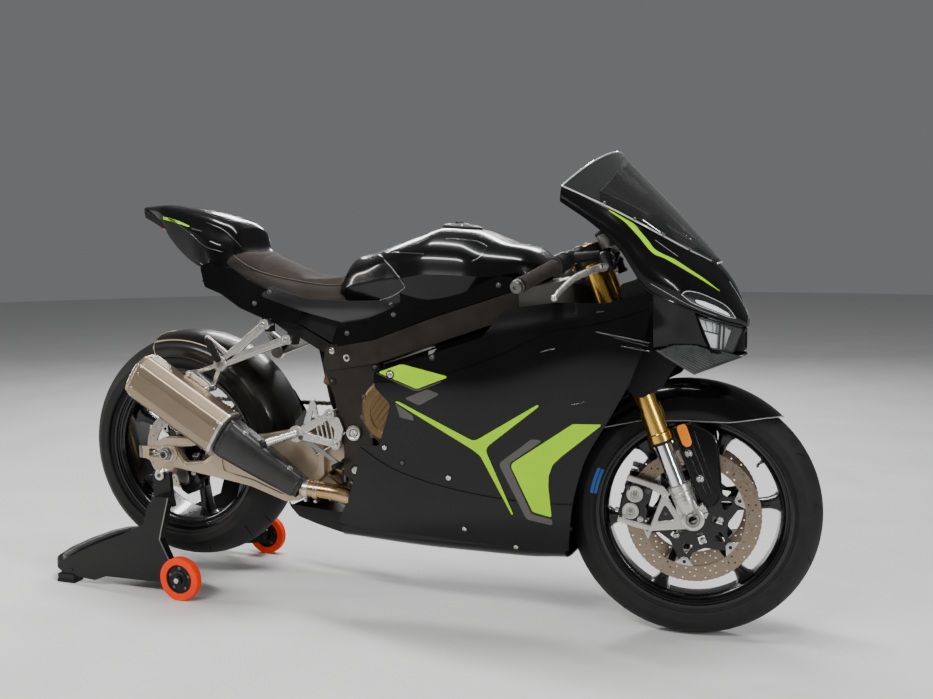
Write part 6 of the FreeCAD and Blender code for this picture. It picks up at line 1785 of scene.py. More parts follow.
def disc_parts(c, y, R, rin, t, a_bob, r_bob, a_bolt, r_bolt, hub_r, out, n_arm=6, rows_h=None):
    """Floating disc: drilled band with ears, bobbins, windowed carrier and its bolts. out: -1 right, 1 left."""
    parts = []
    s = 1
    holes = []
    for k in range(n_arm * 3):
        base = 360.0 / (n_arm * 3) * k + a_bob
        for rr, da in rows_h:
            holes.append((*rp(c, rr, base + da), 2.1))
    ol = [rp(c, R + (0.9 if k % 2 else -0.3), 360.0 * k / 144) for k in range(144)]
    parts.append((g_plate(ol, y - t / 2, y + t / 2, holes=[circle(c[0], c[2], rin, 96)] + [circle(h[0], h[1], h[2], 10) for h in holes], bev=0.35, seg=1), DISC_F if c is FRONT0 else DISC_R))
    for k in range(n_arm):
        a = a_bob + 360.0 / n_arm * k
        d = math.degrees(1) * 0 + a
        p0 = rp(c, rin + 2.5, a - 11.5)
        p1 = rp(c, rin + 2.5, a + 11.5)
        e0, e1 = rp(c, r_bob - 4, a - 5.6), rp(c, r_bob - 4, a + 5.6)
        tip0, tip1 = rp(c, r_bob - 10.5, a - 3.0), rp(c, r_bob - 10.5, a + 3.0)
        poly = round_poly([p0, e0, tip0, tip1, e1, p1, rp(c, rin + 5.5, a)], [0.5, 9, 7, 7, 9, 0.5, 1], 4)
        parts.append((g_plate(poly, y - t / 2 + 0.25, y + t / 2 - 0.25, holes=[circle(*rp(c, r_bob, a), 6.2, 20)], bev=0.35, seg=1), ALLOY))
        bo = a3(rp(c, r_bob, a)[0], y, rp(c, r_bob, a)[1])
        for sg in (-1, 1):
            parts.append((g_lathe([(4.4, -t / 2 - 2.4), (8.4, -t / 2 - 2.4), (9.0, -t / 2 - 1.6), (9.0, -t / 2 + 0.4), (6.0, -t / 2 + 0.4), (6.0, 0), (4.4, 0)], bo, a3(0, -sg, 0), 28, closed=True), STEEL))
    # carrier: a star with arms to the bobbins and triangular windows
    yc0, yc1 = y - out * 3.4 - 2.3, y - out * 3.4 + 2.3
    pts, rr = [], []
    for k in range(n_arm):
        a = a_bob + 360.0 / n_arm * k
        for r_, da, rad in ((r_bob + 5, -4.6, 5), (r_bob + 5, 4.6, 5), (r_bob - 22, 9.5, 6), (r_bob - 30, 30 * 6 / n_arm, 16)):
            pts.append(rp(c, r_, a + da))
            rr.append(rad)
    star = round_poly(pts, rr, 4)
    wins = [circle(c[0], c[2], hub_r, 48)]
    for k in range(n_arm):
        a = a_bob + 360.0 / n_arm * k
        wins.append(round_poly([rp(c, r_bob - 14, a), rp(c, r_bolt + 9, a - 11), rp(c, r_bolt + 9, a + 11)], 4, 3))
        wins.append(round_poly([rp(c, hub_r + 7, a + 30 * 6 / n_arm - 10), rp(c, hub_r + 7, a + 30 * 6 / n_arm + 10), rp(c, r_bob - 40, a + 30 * 6 / n_arm + 7), rp(c, r_bob - 40, a + 30 * 6 / n_arm - 7)], 3, 3))
    parts.append((g_plate(star, yc0, yc1, holes=wins, bev=0.8, seg=2), RIM))
    for k in range(6):
        a = a_bolt + 60 * k
        p = rp(c, r_bolt, a)
        parts.append((g_bolt(a3(p[0], yc0 if out < 0 else yc1, p[1]), a3(0, out, 0), 6.4, 4.0, "button", washer=7.6), STEEL))
    return parts


rows_front = ((127.5, 3.0), (136.5, 7.5), (145.5, 12.0), (151.0, 1.5), (129.5, 13.5))
dp = []
for s in (-1, 1):
    dp += disc_parts(FRONT0, s * 72.0, 157.0, 121.0, 5.0, 20.5, 112.6, -8.0, 63.2, 36.0, s, 6, rows_front)
    dp.append((g_lathe([(22, 62), (43, 62), (44, 63), (44, 66.5), (37, 68), (36, 73.5), (34, 74.5), (22, 74.5)], a3(FRONT0[0], 0, FRONT0[2]), a3(0, s, 0), 56, closed=True), RIM))
    # wheel-speed ring of square notches inside the carrier
    if s < 0:
        ringo = [rp(FRONT0, 54 if (k // 2) % 2 else 49, 360.0 * k / 96) for k in range(96)]
        dp.append((g_plate(ringo, -67.6, -66.2, holes=[circle(FRONT0[0], FRONT0[2], 45, 48)], bev=0.2, seg=1), DARKSTEEL))
piece("front_brake_discs", dp, "front_wheel", rep=("front_discs",), sharp=34)

rows_rear = ((86.0, 3.0), (94.0, 9.0), (102.0, 15.0))
dp = disc_parts(REAR, -82.0, 110.0, 80.0, 5.0, 10.0, 72.5, 40.0, 46.0, 30.0, -1, 6, rows_rear)
dp.append((g_lathe([(22, 66), (43, 66), (44, 67), (44, 76), (36, 79), (34, 84), (22, 84.5)], a3(REAR[0], 0, REAR[2]), a3(0, -1, 0), 56, closed=True), RIM))
piece("rear_brake_disc", dp, "rear_wheel", rep=("rear_disc",), sharp=34)

# sprocket with shaped teeth, lightening holes and bolts
tooth = []
for k in range(43):
    for f_, r_ in ((0.0, 104.0), (0.14, 103.6), (0.32, 98.6), (0.5, 97.2), (0.68, 98.6), (0.86, 103.6)):
        tooth.append(rp(REAR, r_, 360.0 * (k + f_) / 43))
sp_ = [(g_plate(tooth, 102.8, 109.2, holes=[circle(0, 377, 46, 48)] + [circle(*rp(REAR, 74, 60 * k), 11, 20) for k in range(6)] + [circle(*rp(REAR, 88, 60 * k + 30), 5.5, 14) for k in range(6)], bev=0.6, seg=1), GOLD)]
sp_.append((g_lathe([(22, 66), (52, 66), (56, 70), (56, 98), (58, 102), (58, 103.2), (50, 103.2), (46, 109), (24, 109), (22, 107)], a3(0, 0, 377), a3(0, 1, 0), 56, closed=True), RIM))
for k in range(6):
    p = rp(REAR, 53, 60 * k + 30)
    sp_.append((g_bolt(a3(*(rp(REAR, 52, 60 * k + 30)[0], 109.0, rp(REAR, 52, 60 * k + 30)[1])), a3(0, 1, 0), 6.0, 4.5, "hex", washer=7.5), STEEL))
piece("rear_sprocket_plate", sp_, "rear_wheel", rep=("rear_sprocket",), sharp=34)

# chain: roller links laid along the loop
SPF = a3(668, 0, 456)
dx_, dz_ = 668.0, 456.0 - 377.0
Lc = math.hypot(dx_, dz_)
base = math.atan2(dz_, dx_)
bb = math.acos((113.0 - 41.0) / Lc)


def loop_point(s_):
    """Point and direction at length s_ along the chain's centre line."""
    R1, R2 = 113.0, 41.0
    a_rear = 2 * math.pi - 2 * bb
    l1 = R1 * a_rear
    st_len = math.sqrt(Lc ** 2 - (R1 - R2) ** 2)
    a_front = 2 * bb
    l3 = R2 * a_front
    tot = l1 + st_len * 2 + l3
    s_ = s_ % tot
    if s_ < l1:
        a = base + bb + s_ / R1
        return a3(R1 * math.cos(a), 0, 377 + R1 * math.sin(a)), a3(-math.sin(a), 0, math.cos(a))
    s_ -= l1
    p = a3(113 * math.cos(base - bb), 0, 377 + 113 * math.sin(base - bb))
    q = a3(668 + 41 * math.cos(base - bb), 0, 456 + 41 * math.sin(base - bb))
    if s_ < st_len:
        return p + (q - p) * s_ / st_len, unit(q - p)
    s_ -= st_len
    if s_ < l3:
        a = base - bb + s_ / R2
        return a3(668 + R2 * math.cos(a), 0, 456 + R2 * math.sin(a)), a3(-math.sin(a), 0, math.cos(a))
    s_ -= l3
    p = a3(668 + 41 * math.cos(base + bb), 0, 456 + 41 * math.sin(base + bb))
    q = a3(113 * math.cos(base + bb), 0, 377 + 113 * math.sin(base + bb))
    return p + (q - p) * s_ / st_len, unit(q - p)


TOT = 113.0 * (2 * math.pi - 2 * bb) + 2 * math.sqrt(Lc ** 2 - 72.0 ** 2) + 41.0 * 2 * bb
NL = int(round(TOT / 15.875 / 2)) * 2
pitch = TOT / NL
chain_a, chain_b = [], []
for k in range(NL):
    p0, _ = loop_point(k * pitch)
    p1, _ = loop_point((k + 1) * pitch)
    d = unit(p1 - p0)
    n = np.cross(a3(0, 1, 0), d)
    ol = []
    for t in range(8):
        a = math.pi / 2 + math.pi * t / 7
        ol.append(p0 + d * 6.3 * math.cos(a) + n * 6.3 * math.sin(a))
    ol.append((p0 + p1) / 2 - n * 4.3)
    for t in range(8):
        a = -math.pi / 2 + math.pi * t / 7
        ol.append(p1 + d * 6.3 * math.cos(a) + n * 6.3 * math.sin(a))
    ol.append((p0 + p1) / 2 + n * 4.3)
    m_ = len(ol)
    yo = (4.9, 6.6) if k % 2 else (3.0, 4.7)
    for sg in (-1, 1):
        ya, yb = 106 + sg * yo[0], 106 + sg * yo[1]
        V = np.array([q + a3(0, ya, 0) for q in ol] + [q + a3(0, yb, 0) for q in ol])
        F = [tuple(range(m_)), tuple(range(m_, 2 * m_))[::-1]] + [(i, (i + 1) % m_, m_ + (i + 1) % m_, m_ + i) for i in range(m_)]
        (chain_a if k % 2 else chain_b).append((V, F))
    chain_b.append(g_lathe([(0, -7.3), (2.2, -7.3), (2.2, -3.0), (5.0, -2.9), (5.0, 2.9), (2.2, 3.0), (2.2, 7.3), (0, 7.3)], p0 + a3(0, 106, 0), a3(0, 1, 0), 10))
piece("chain_links", [(join(chain_a), CHAINST), (join(chain_b), DARKSTEEL)], rep=("drive_chain",), sharp=30)

# ------------------------------------------------------------------ fork, brackets, calipers, axle
fo, fi, fl = [], [], []
for s in (-1, 1):
    y = s * 105.0
    o = st(0, 27, y)
    outer_p = [(20.9, 503), (27.2, 503), (28, 504), (28, 521), (27.4, 523), (26, 525), (26, 690), (26, 965), (25.6, 985), (26, 986), (26, 990.5), (25, 992), (20, 992), (20, 985), (20.9, 540)]
    fo.append((g_lathe(outer_p, o, AXIS, 56, closed=True), GOLD))
    fo.append((g_lathe([(0, 986), (20.5, 986), (20.5, 990), (18, 993), (12, 993.5), (12, 991), (8, 991), (8, 995), (5, 995.6), (0, 995.6)], o, AXIS, 40), GOLD if s < 0 else GOLD))
    fo.append((g_bolt(st(993.2, 27, y), AXIS, 11.5, 3.4, "hex"), ALLOYDK))
    fo.append((g_lathe([(20.6, 496), (25, 496), (27, 498), (27.4, 503.5), (20.6, 503.5)], o, AXIS, 48, closed=True), SATIN))
    fi.append((g_lathe([(0, 384), (20.5, 384), (20.5, 632), (0, 632)], o, AXIS, 56), CHROME))
    lug = [(20.7, 396.0), (26, 396), (27.3, 394.6), (27.3, 384.6), (25.6, 382.4), (25, 378), (25, 364), (26.2, 362), (26.2, 353), (25.2, 351), (24.6, 338), (22.6, 324), (18, 320), (0, 320), (0, 383), (20.7, 383)]
    fl.append((g_lathe(lug, st(0, 28, y), AXIS, 56), ALLOY))
    # lower plate with its slot and the axle clamp
    sgn = -1 if s < 0 else 1
    e = FRONT0
    et, eu = float((e - GROUND) @ AXIS), float((e - GROUND) @ FWD)
    body_o = round_poly([(356, 50), (356, 5), (332, 2), (et + 14, eu - 24), (et - 6, eu - 20), (et - 6, eu + 22), (et + 18, eu + 27), (340, 50)], [8, 8, 20, 8, 6, 6, 10, 20], 4)
    pl = lambda a, b, t: st(a, b, t)
    fl.append((g_lathe([(19.5, 0), (26, 0), (26.4, 9), (24.2, 10), (24.2, 12), (26.8, 13), (26.8, 19), (24.8, 20), (24.8, 22), (26.8, 23), (26.8, 29), (24.8, 30), (24.8, 32), (26.2, 33), (26.2, 40), (24, 45), (20.5, 47), (19.5, 47)], st(348, 28, y), AXIS, 48, closed=True), ALLOY))
    slot_o = round_poly([(340.5, 22.5), (340.5, 37), (333.5, 37), (333.5, 22.5)], 3.0, 4)
    fl.append((g_plate(body_o, y - 17, y + 17, holes=[slot_o, circle(et, eu, 13.2, 32)], bev=2.0, place=pl, seg=2), ALLOY))
    # dark fill in the slot: painted shade
    fl.append((g_prism([(342, 21), (342, 38), (332, 38), (332, 21)], y - 9, y + 9, 0, place=pl), SHADE_FILL))
    o2 = a3(e[0], y, e[2])
    fl.append((g_lathe([(12.9, -22), (23, -22), (26, -20), (27, -17), (27, 17), (26, 20), (23, 22), (12.9, 22)], o2, YY, 56, closed=True), ALLOY))
    # pinch ears with two bolts, in front of the axle
    ear = round_poly([(et + 20, eu + 18), (et + 20, eu + 37), (et + 1, eu + 38), (et - 8, eu + 30), (et - 8, eu + 16)], 4, 3)
    fl.append((g_plate(ear, y - 16, y + 16, bev=2.0, place=pl), ALLOY))
    # dark slab in the pinch slit: painted shade
    fl.append((g_plate(round_poly([(et + 6.4, eu + 20), (et + 6.4, eu + 38.6), (et + 4.0, eu + 38.6), (et + 4.0, eu + 20)], 0.4, 1), y - 16.4, y + 16.4, bev=0.2, place=pl, seg=1), SHADE_FILL))
    for yy in (-8, 8):
        fl.append((g_bolt(st(et + 20, eu + 30, y + yy), AXIS, 5.4, 5.0, "socket"), STEEL))
    # caliper bracket, a truss of two arms and a triangle
    y0, y1 = (y - 6, y + 7) if s < 0 else (y - 7, y + 6)
    up = round_poly([tu(663, 485.5, -98), tu(628, 474.0, -98), tu(626.4, 479.4, -98), tu(650, 487.6, -98), tu(667, 497.5, -98), tu(671, 493, -98)], [4, 4, 4, 10, 3, 3], 4)
    fl.append((g_plate(up, y0 + 1, y1 - 1, bev=1.8, place=pl), ALLOY))
    lo_ = round_poly([tu(618.5, 515.0, -98), tu(636, 519.5, -98), tu(650, 524.5, -98), tu(688, 521.0, -98), tu(690, 528.0, -98), tu(650, 530.0, -98), tu(634, 526.0, -98), tu(617, 520.0, -98)], [3, 10, 10, 3, 3, 10, 10, 3], 4)
    fl.append((g_plate(lo_, y0 + 1, y1 - 1, bev=1.8, place=pl), ALLOY))
    tri = round_poly([tu(661.5, 495.5, -98), tu(666.5, 493.5, -98), tu(672.5, 503.5, -98), tu(686, 521.5, -98), tu(683.5, 526.0, -98), tu(649.5, 527.5, -98)], [2, 2, 20, 3, 3, 3], 3)
    triw = round_poly([tu(665.0, 503.0, -98), tu(675.2, 518.6, -98), tu(656.8, 520.6, -98)], 5, 4)
    fl.append((g_plate(tri, y0, y1, holes=[triw], bev=1.6, place=pl), ALLOY))
    fl.append((g_plate(round_poly([tu(664.4, 501, -98), tu(677, 520, -98), tu(655, 522, -98)], 4, 3), y - 1.5, y + 1.0, bev=0.5, place=pl), RIM))
    bt_ = tu(665.8, 512.6, -98)
    fl.append((g_bolt(st(bt_[0], bt_[1], y + sgn * 1.5), YY * sgn, 5.4, 3.0, "hex"), DARKSTEEL))
piece("fork_gold_tubes", fo, "steering", rep=("fork_outer_tubes",), sharp=34)
piece("fork_chrome_tubes", fi, "steering", rep=("fork_inner_tubes",), sharp=34)
piece("fork_lower_lugs", fl, "steering", rep=("fork_lugs",), sharp=34)

cal = []
ca = 166.8
for s in (-1, 1):
    c = FRONT0
    a = math.radians(ca)
    rd, tg = a3(math.cos(a), 0, math.sin(a)), a3(-math.sin(a), 0, math.cos(a))
    P2 = lambda r, q: tuple((a3(c[0], 0, c[2]) + rd * r + tg * q)[[0, 2]])
    body_o = round_poly([P2(104, -44), P2(104, -10), P2(112, 0), P2(104, 10), P2(104, 44), P2(120, 55), P2(148, 57), P2(168, 42), P2(170, 0), P2(168, -42), P2(148, -57), P2(120, -55)],
                        [10, 6, 8, 6, 10, 12, 14, 16, 60, 16, 14, 12], 4)
    body_o = round_poly([P2(104, -36), P2(104, -10), P2(112, 0), P2(104, 10), P2(104, 36), P2(120, 43), P2(150, 44), P2(169, 32), P2(171, 0), P2(169, -32), P2(150, -44), P2(120, -43)], [10, 6, 8, 6, 10, 10, 12, 12, 60, 12, 12, 10], 4)
    lo, hi = (-117, -80) if s < 0 else (80, 117)
    cal.append((g_plate(body_o, lo, hi, bev=4.5, seg=3), RIM))
    lo, hi = (-65, -50) if s < 0 else (50, 65)
    cal.append((g_plate(body_o, lo, hi, bev=4.0, seg=3), RIM))
    for q0, q1 in ((-43, -28), (-9, 9), (28, 43)):
        br = round_poly([P2(158.6, q0), P2(158.6, q1), P2(171, q1 * 0.92), P2(171, q0 * 0.92)], 3, 3)
        lo, hi = (-96, -54) if s < 0 else (54, 96)
        cal.append((g_plate(br, lo, hi, bev=2.0), RIM))
    for q in (-20.6, 20.6):
        o = a3(c[0], 0, c[2]) + rd * 142.5 + tg * q + a3(0, s * 115.5, 0)
        cal.append((g_lathe([(20.0, -2), (21.8, 0), (21.8, 2.6), (21.0, 3.6), (19.8, 3.6), (19.8, -2)], o, YY * s, 40, closed=True), SATIN))
        cal.append((g_lathe([(0, 2.5), (8.2, 2.5), (10.2, 5.2), (15.4, 5.5), (16.0, 4.4), (17.4, 4.4), (18.2, 5.2), (19.2, 5.0), (19.7, 4.0), (19.7, -1), (0, -1)], o, YY * s, 48), ALLOY))
        star5 = []
        for k in range(10):
            rr = 7.8 if k % 2 == 0 else 4.8
            star5.append((rr * math.cos(math.pi * k / 5 + 0.3), rr * math.sin(math.pi * k / 5 + 0.3)))
        cal.append((g_plate(round_poly(star5, 1.0, 2), 2.4, 3.6, bev=0.3, seg=1, place=lambda p, q_, t, o=o, s=s: o + rd * p + tg * q_ + a3(0, s * t, 0)), ALLOYDK))
    # mounting bolts and bleed nipple
    for (r, q, k) in ((152, 36, 4.6), (116, -34, 4.6), (116, 34, 4.6), (160, -30, 4.2)):
        o = a3(c[0], 0, c[2]) + rd * r + tg * q + a3(0, s * 116.5, 0)
        cal.append((g_bolt(o, YY * s, k, 4.5, "socket", washer=k + 2.4), STEEL if q > 0 else DARKSTEEL))
    o = a3(c[0], 0, c[2]) + rd * 163 + tg * 30 + a3(0, s * 92, 0)
    cal.append((g_lathe([(0, 0), (5.5, 0), (5.5, 3), (3.6, 4), (3.6, 9), (4.4, 10), (4.4, 14), (2.6, 15), (2.6, 17), (0, 17)], o, rd, 18), STEEL))
piece("front_calipers_body", cal, "steering", rep=("front_calipers",), sharp=34)

ax = []
o = a3(FRONT0[0], 0, FRONT0[2])
ax.append((g_lathe([(9.5, -130), (12.4, -130), (12.4, 130), (9.5, 130)], o, YY, 40, closed=True), DARKSTEEL))
for s in (-1, 1):
    ax.append((g_lathe([(9.5, 127), (16, 127), (17, 128), (17, 131.5), (15.4, 133.5), (12.8, 135), (9.5, 135)], o, YY * s, 48, closed=True), ALLOYDK))
    ax.append((g_lathe([(12.9, 63.0), (16, 63.0), (17, 64.5), (17, 81.5), (16, 82.8), (12.9, 82.8)], o, YY * s, 40, closed=True), ALLOY))
piece("front_axle_shaft", ax, "steering", rep=("front_axle",), sharp=34)


# ------------------------------------------------------------------ swingarm
def capsule(p, q, r0, r1=None, n=8):
    """Outline of a tapered bar with round ends, in the side view."""
    r1 = r0 if r1 is None else r1
    p, q = np.array(p, float), np.array(q, float)
    d = q - p
    L = np.linalg.norm(d)
    a = math.atan2(d[1], d[0])
    out = []
    for k in range(n + 1):
        t = a + math.pi / 2 + math.pi * k / n
        out.append(p + r0 * np.array([math.cos(t), math.sin(t)]))
    for k in range(n + 1):
        t = a - math.pi / 2 + math.pi * k / n
        out.append(q + r1 * np.array([math.cos(t), math.sin(t)]))
    return np.array(out)


def ys(s, a, b):
    return (min(s * a, s * b), max(s * a, s * b))


ARM_O = [(-88, 374), (-66, 356), (-34, 345), (-26, 316), (8, 314), (18, 340), (207, 313), (262, 304), (362, 272), (400, 277), (440, 316), (478, 350), (478, 488), (430, 474), (300, 446), (90, 424), (-14, 420), (-66, 394)]
arm_o = round_poly(ARM_O, [5, 10, 10, 10, 8, 20, 60, 60, 14, 10, 20, 16, 16, 30, 80, 60, 20, 10], 5)
arm_w = round_poly([(22, 396), (76, 400), (112, 410), (138, 380), (112, 362), (52, 356)], [6, 20, 8, 8, 10, 10], 4)
pocket = round_poly([(176, 340), (262, 324), (352, 292), (392, 300), (430, 340), (458, 368), (458, 462), (420, 452), (310, 428), (180, 412), (158, 396), (172, 376)], [16, 40, 16, 16, 16, 12, 12, 20, 60, 10, 8, 12], 4)
slot_w = round_poly([(-58, 366), (-58, 388), (18, 388), (18, 366)], 5, 4)
fr_o = round_poly([(420, 330), (478, 350), (560, 424), (606, 440), (610, 492), (566, 512), (478, 488), (420, 470)], [10, 20, 20, 14, 14, 20, 20, 10], 4)
for s, nm in ((-1, "right"), (1, "left")):
    y0, y1 = (119, 145) if s < 0 else (124, 150)
    pa = []
    a, b = ys(s, y0, y1 - 3)
    pa.append((g_plate(arm_o, a, b, holes=[arm_w, slot_w], bev=3.0, seg=3), ARMCOAT))
    a, b = ys(s, y1 - 6, y1)
    pa.append((g_plate(round_poly(ARM_O, [5, 10, 10, 10, 8, 20, 60, 60, 14, 10, 20, 16, 16, 30, 80, 60, 20, 10], 5), a, b, holes=[round_poly([(16, 400), (76, 405), (116, 416), (146, 380), (116, 357), (52, 350)], [6, 20, 8, 8, 10, 10], 4), pocket, slot_w], bev=1.6, seg=2), ARMCOAT))
    a, b = ys(s, 98, 126)
    pa.append((g_plate(fr_o, a, b, holes=[circle(575, 470, 12.4, 32)], bev=3.0, seg=2), ARMCOAT))
    # adjuster housing: raised frame, sliding block, end plate and its bolt
    a, b = ys(s, y1 - 1, y1 + 4)
    hous = round_poly([(-80, 360), (-80, 394), (26, 397), (34, 377), (26, 357)], [4, 4, 10, 10, 10], 4)
    pa.append((g_plate(hous, a, b, holes=[slot_w], bev=1.4), ARMCOAT))
    a, b = ys(s, y1 - 14, y1 + 1.5)
    pa.append((g_plate(round_poly([(-24, 367.5), (-24, 386.5), (17, 386.5), (17, 367.5)], 2, 2), a, b, bev=1.0), ALLOYDK))
    a, b = ys(s, y1 - 20, y1 + 3)
    pa.append((g_plate(round_poly([(-91, 362), (-91, 392), (-82, 395), (-82, 359)], [4, 4, 1, 1], 3), a, b, bev=1.6), ALLOYDK))
    ym = s * (y0 + y1) / 2
    pa.append((g_bolt(a3(-90.5, ym, 377), a3(-1, 0, 0), 6.5, 5.0, "hex", washer=8.0), STEEL))
    pa.append((g_tube([(-84, s * (y1 - 7), 377), (-22, s * (y1 - 7), 377)], 4.2, 14), STEEL))
    pa.append((g_bolt(a3(-44, s * (y1 - 7), 377), a3(-1, 0, 0), 7.6, 5.0, "hex"), STEEL))
    for k in range(5):
        pa.append((g_plate(round_poly([(-50 + k * 9.6, 391.0), (-50 + k * 9.6, 394.6), (-49.2 + k * 9.6, 394.6), (-49.2 + k * 9.6, 391.0)], 0.3, 1), *ys(s, y1 + 3.6, y1 + 4.6), bev=0.2, seg=1), DARKSTEEL))
    # stand spool
    pa.append((g_lathe([(0, 140 if s > 0 else 130), (14, 140 if s > 0 else 130), (14, 150), (8.5, 153), (8.0, 156), (8.0, 168), (9.5, 171), (13, 172), (14, 173.5), (14, 176), (12.6, 177), (0, 177)], a3(-8, 0, 322), a3(0, s, 0), 36), ALLOY))
    pa.append((g_bolt(a3(-8, s * 176.6, 322), a3(0, s, 0), 6.0, 1.6, "socket"), DARKSTEEL))
    # chain guide or brake hose clips along the arm
    for x, z in ((210, 330), (330, 306)):
        pa.append((g_bolt(a3(x, s * (y1 - 3), z + 66), a3(0, s, 0), 4.6, 3.0, "button", washer=7.0), DARKSTEEL))
    piece("swingarm_side_" + nm, pa, rep=("swingarm_arm_" + nm,), sharp=34)

br = [(g_prism(round_poly([(336, 300), (420, 306), (420, 420), (336, 430)], 14, 4), -121, 126, 3.0), ARMCOAT)]
for s in (-1, 1):
    br.append((g_plate(round_poly([(345, 304), (470, 262), (480, 285), (420, 330)], [10, 8, 8, 20], 4), *ys(s, 20, 34), bev=2.0), ARMCOAT))
    br.append((g_prism(round_poly([(342, 318), (414, 322), (414, 404), (342, 414)], 12, 3), *ys(s, 30, 100), 0), ARMCOAT))
piece("swingarm_bridge_box", br, rep=("swingarm_bridge",), sharp=34)
piece("swingarm_pivot_tube", [(g_lathe([(12.2, -98), (30, -98), (30, -86), (26, -80), (26, 80), (30, 86), (30, 98), (12.2, 98)], a3(575, 0, 470), YY, 48, closed=True), ARMCOAT)],
      rep=("swingarm_cross_tube",), sharp=34)
pv = [(g_lathe([(0, -165), (12, -165), (12, 165), (0, 165)], a3(575, 0, 470), YY, 40), DARKSTEEL)]
for s in (-1, 1):
    pv.append((g_lathe([(8, 160.5), (19, 160.5), (20, 161.5), (20, 167), (18.6, 169), (14, 170), (12, 169), (11, 167), (11, 164), (8, 164)], a3(575, 0, 470), YY * s, 48, closed=True), ALLOY))
    pv.append((g_bolt(a3(575, s * 164, 470), YY * s, 11.0, 5.0, "hex"), STEEL))
piece("swingarm_pivot_shaft", pv, rep=("swingarm_pivot",), sharp=34)

ra = [(g_lathe([(9.5, -166), (11.4, -166), (12.4, -164.6), (12.4, 164.6), (11.4, 166), (9.5, 166)], a3(0, 0, 377), YY, 40, closed=True), STEEL)]
for s in (-1, 1):
    yb = 149 if s < 0 else 154
    ra.append((g_lathe([(12.6, yb), (22, yb), (22, yb + 2), (20.6, yb + 2.8), (12.6, yb + 2.8)], a3(0, 0, 377), YY * s, 48, closed=True), ALLOY))
    hexa = [(19.4 * math.cos(k * math.pi / 3), 377 + 19.4 * math.sin(k * math.pi / 3)) for k in range(6)]
    ra.append((g_plate(hexa, *ys(s, yb + 2.6, 160.5), holes=[circle(0, 377, 12.5, 28)], bev=1.2), DARKSTEEL if s > 0 else ALLOYDK))
ra.append((g_lathe([(12.7, -118.8), (16, -118.8), (17, -117), (17, -87.5), (16, -85.8), (12.7, -85.8)], a3(0, 0, 377), YY, 36, closed=True), ALLOY))
ra.append((g_lathe([(12.7, 110.8), (16, 110.8), (17, 112), (17, 122.5), (16, 123.8), (12.7, 123.8)], a3(0, 0, 377), YY, 36, closed=True), ALLOY))
piece("rear_axle_shaft", ra, rep=("rear_axle",), sharp=34)

# rear shock: body, coil, preload collars, reservoir
sk_a, sk_b = a3(462, 0, 282), a3(502, 0, 572)
sd_ = unit(sk_b - sk_a)
u_, v_, _ = basis(sd_)
coil = []
for t in np.linspace(0, 1, 190):
    a = 2 * math.pi * 6.6 * t
    h = 62 + 176 * t
    coil.append(sk_a + sd_ * h + (u_ * math.cos(a) + v_ * math.sin(a)) * 25.4)
rsx = [(g_tube(coil, 5.3, 10), GOLD),
       (g_lathe([(0, 18), (10, 18), (10, 60), (22, 60), (29, 56), (31, 58), (31, 64), (20, 66), (18, 70), (18, 240), (30, 242), (31, 246), (31, 250), (24, 252), (24, 256), (29, 257), (29, 262), (20, 264), (16, 272), (0, 272)], sk_a, sd_, 40), ALLOYDK)]
for o, r, w_ in ((sk_a, 14, 19.5), (sk_b, 16, 24)):
    rsx.append((g_lathe([(5, -w_), (r - 1.5, -w_), (r, -w_ + 1.5), (r, w_ - 1.5), (r - 1.5, w_), (5, w_)], o, YY, 36, closed=True), ALLOYDK))
    rsx.append((g_lathe([(0, -w_ - 2), (4.8, -w_ - 2), (4.8, w_ + 2), (0, w_ + 2)], o, YY, 20), STEEL))
ro, rd_ = a3(470, -84, 578), unit(a3(0.16, 0, 0.98))
rsx.append((g_lathe([(0, 0), (15, 0), (18, 3), (19, 6), (19, 10), (18, 12), (18, 40), (19, 42), (19, 48), (17, 52), (13, 54), (13, 58), (6, 59), (0, 59)], ro, rd_, 40), BRONZE))
rsx.append((g_tube(crom([ro + rd_ * 30 + a3(0, 16, 0), a3(484, -50, 600), a3(498, -30, 590), sk_b + a3(-8, -16, -6)], 8), 5.0, 12), SATIN))
piece("rear_shock_unit", rsx, rep=("rear_shock",), sharp=34)

# rear caliper with bracket and hose
cc = math.radians(-62.0)
rdv, tgv = a3(math.cos(cc), 0, math.sin(cc)), a3(-math.sin(cc), 0, math.cos(cc))
P2 = lambda r, q: tuple((REAR + rdv * r + tgv * q)[[0, 2]])
bo_ = round_poly([P2(64, -32), P2(64, 32), P2(104, 37), P2(124, 25), P2(124, -25), P2(104, -37)], [8, 8, 12, 10, 10, 12], 4)
rc = [(g_plate(bo_, -112, -91, bev=4.0, seg=3), RIM), (g_plate(bo_, -73, -66, bev=2.5), RIM),
      (g_plate(round_poly([P2(116, -20), P2(116, 20), P2(124.5, 19), P2(124.5, -19)], 2, 2), -95, -68, bev=1.5), RIM),
      (g_lathe([(0, 4), (8, 4), (9, 6.5), (13, 6.5), (14, 5.2), (14, -2), (0, -2)], a3(32, -111, 298), a3(0, -1, 0), 36), DARKSTEEL),
      (g_bolt(a3(*[P2(78, 24)[0], -111.5, P2(78, 24)[1]]), a3(0, -1, 0), 5.0, 4.0, "socket", washer=7.0), STEEL),
      (g_bolt(a3(*[P2(78, -24)[0], -111.5, P2(78, -24)[1]]), a3(0, -1, 0), 5.0, 4.0, "socket", washer=7.0), STEEL),
      (g_plate(round_poly([(-19, 380), (0, 397), (19, 380), (46, 312), (44, 292), (20, 290), (-6, 330)], [10, 10, 10, 8, 8, 8, 20], 4), -118.6, -112.4, holes=[circle(0, 377, 17.2, 36)], bev=1.2), ALLOYDK),
      (g_tube(crom([a3(66, -104, 282), a3(84, -112, 300), a3(112, -112, 318), a3(160, -116, 330)], 8), 4.2, 12), SATIN)]
piece("rear_caliper_body", rc, rep=("rear_caliper",), sharp=34)

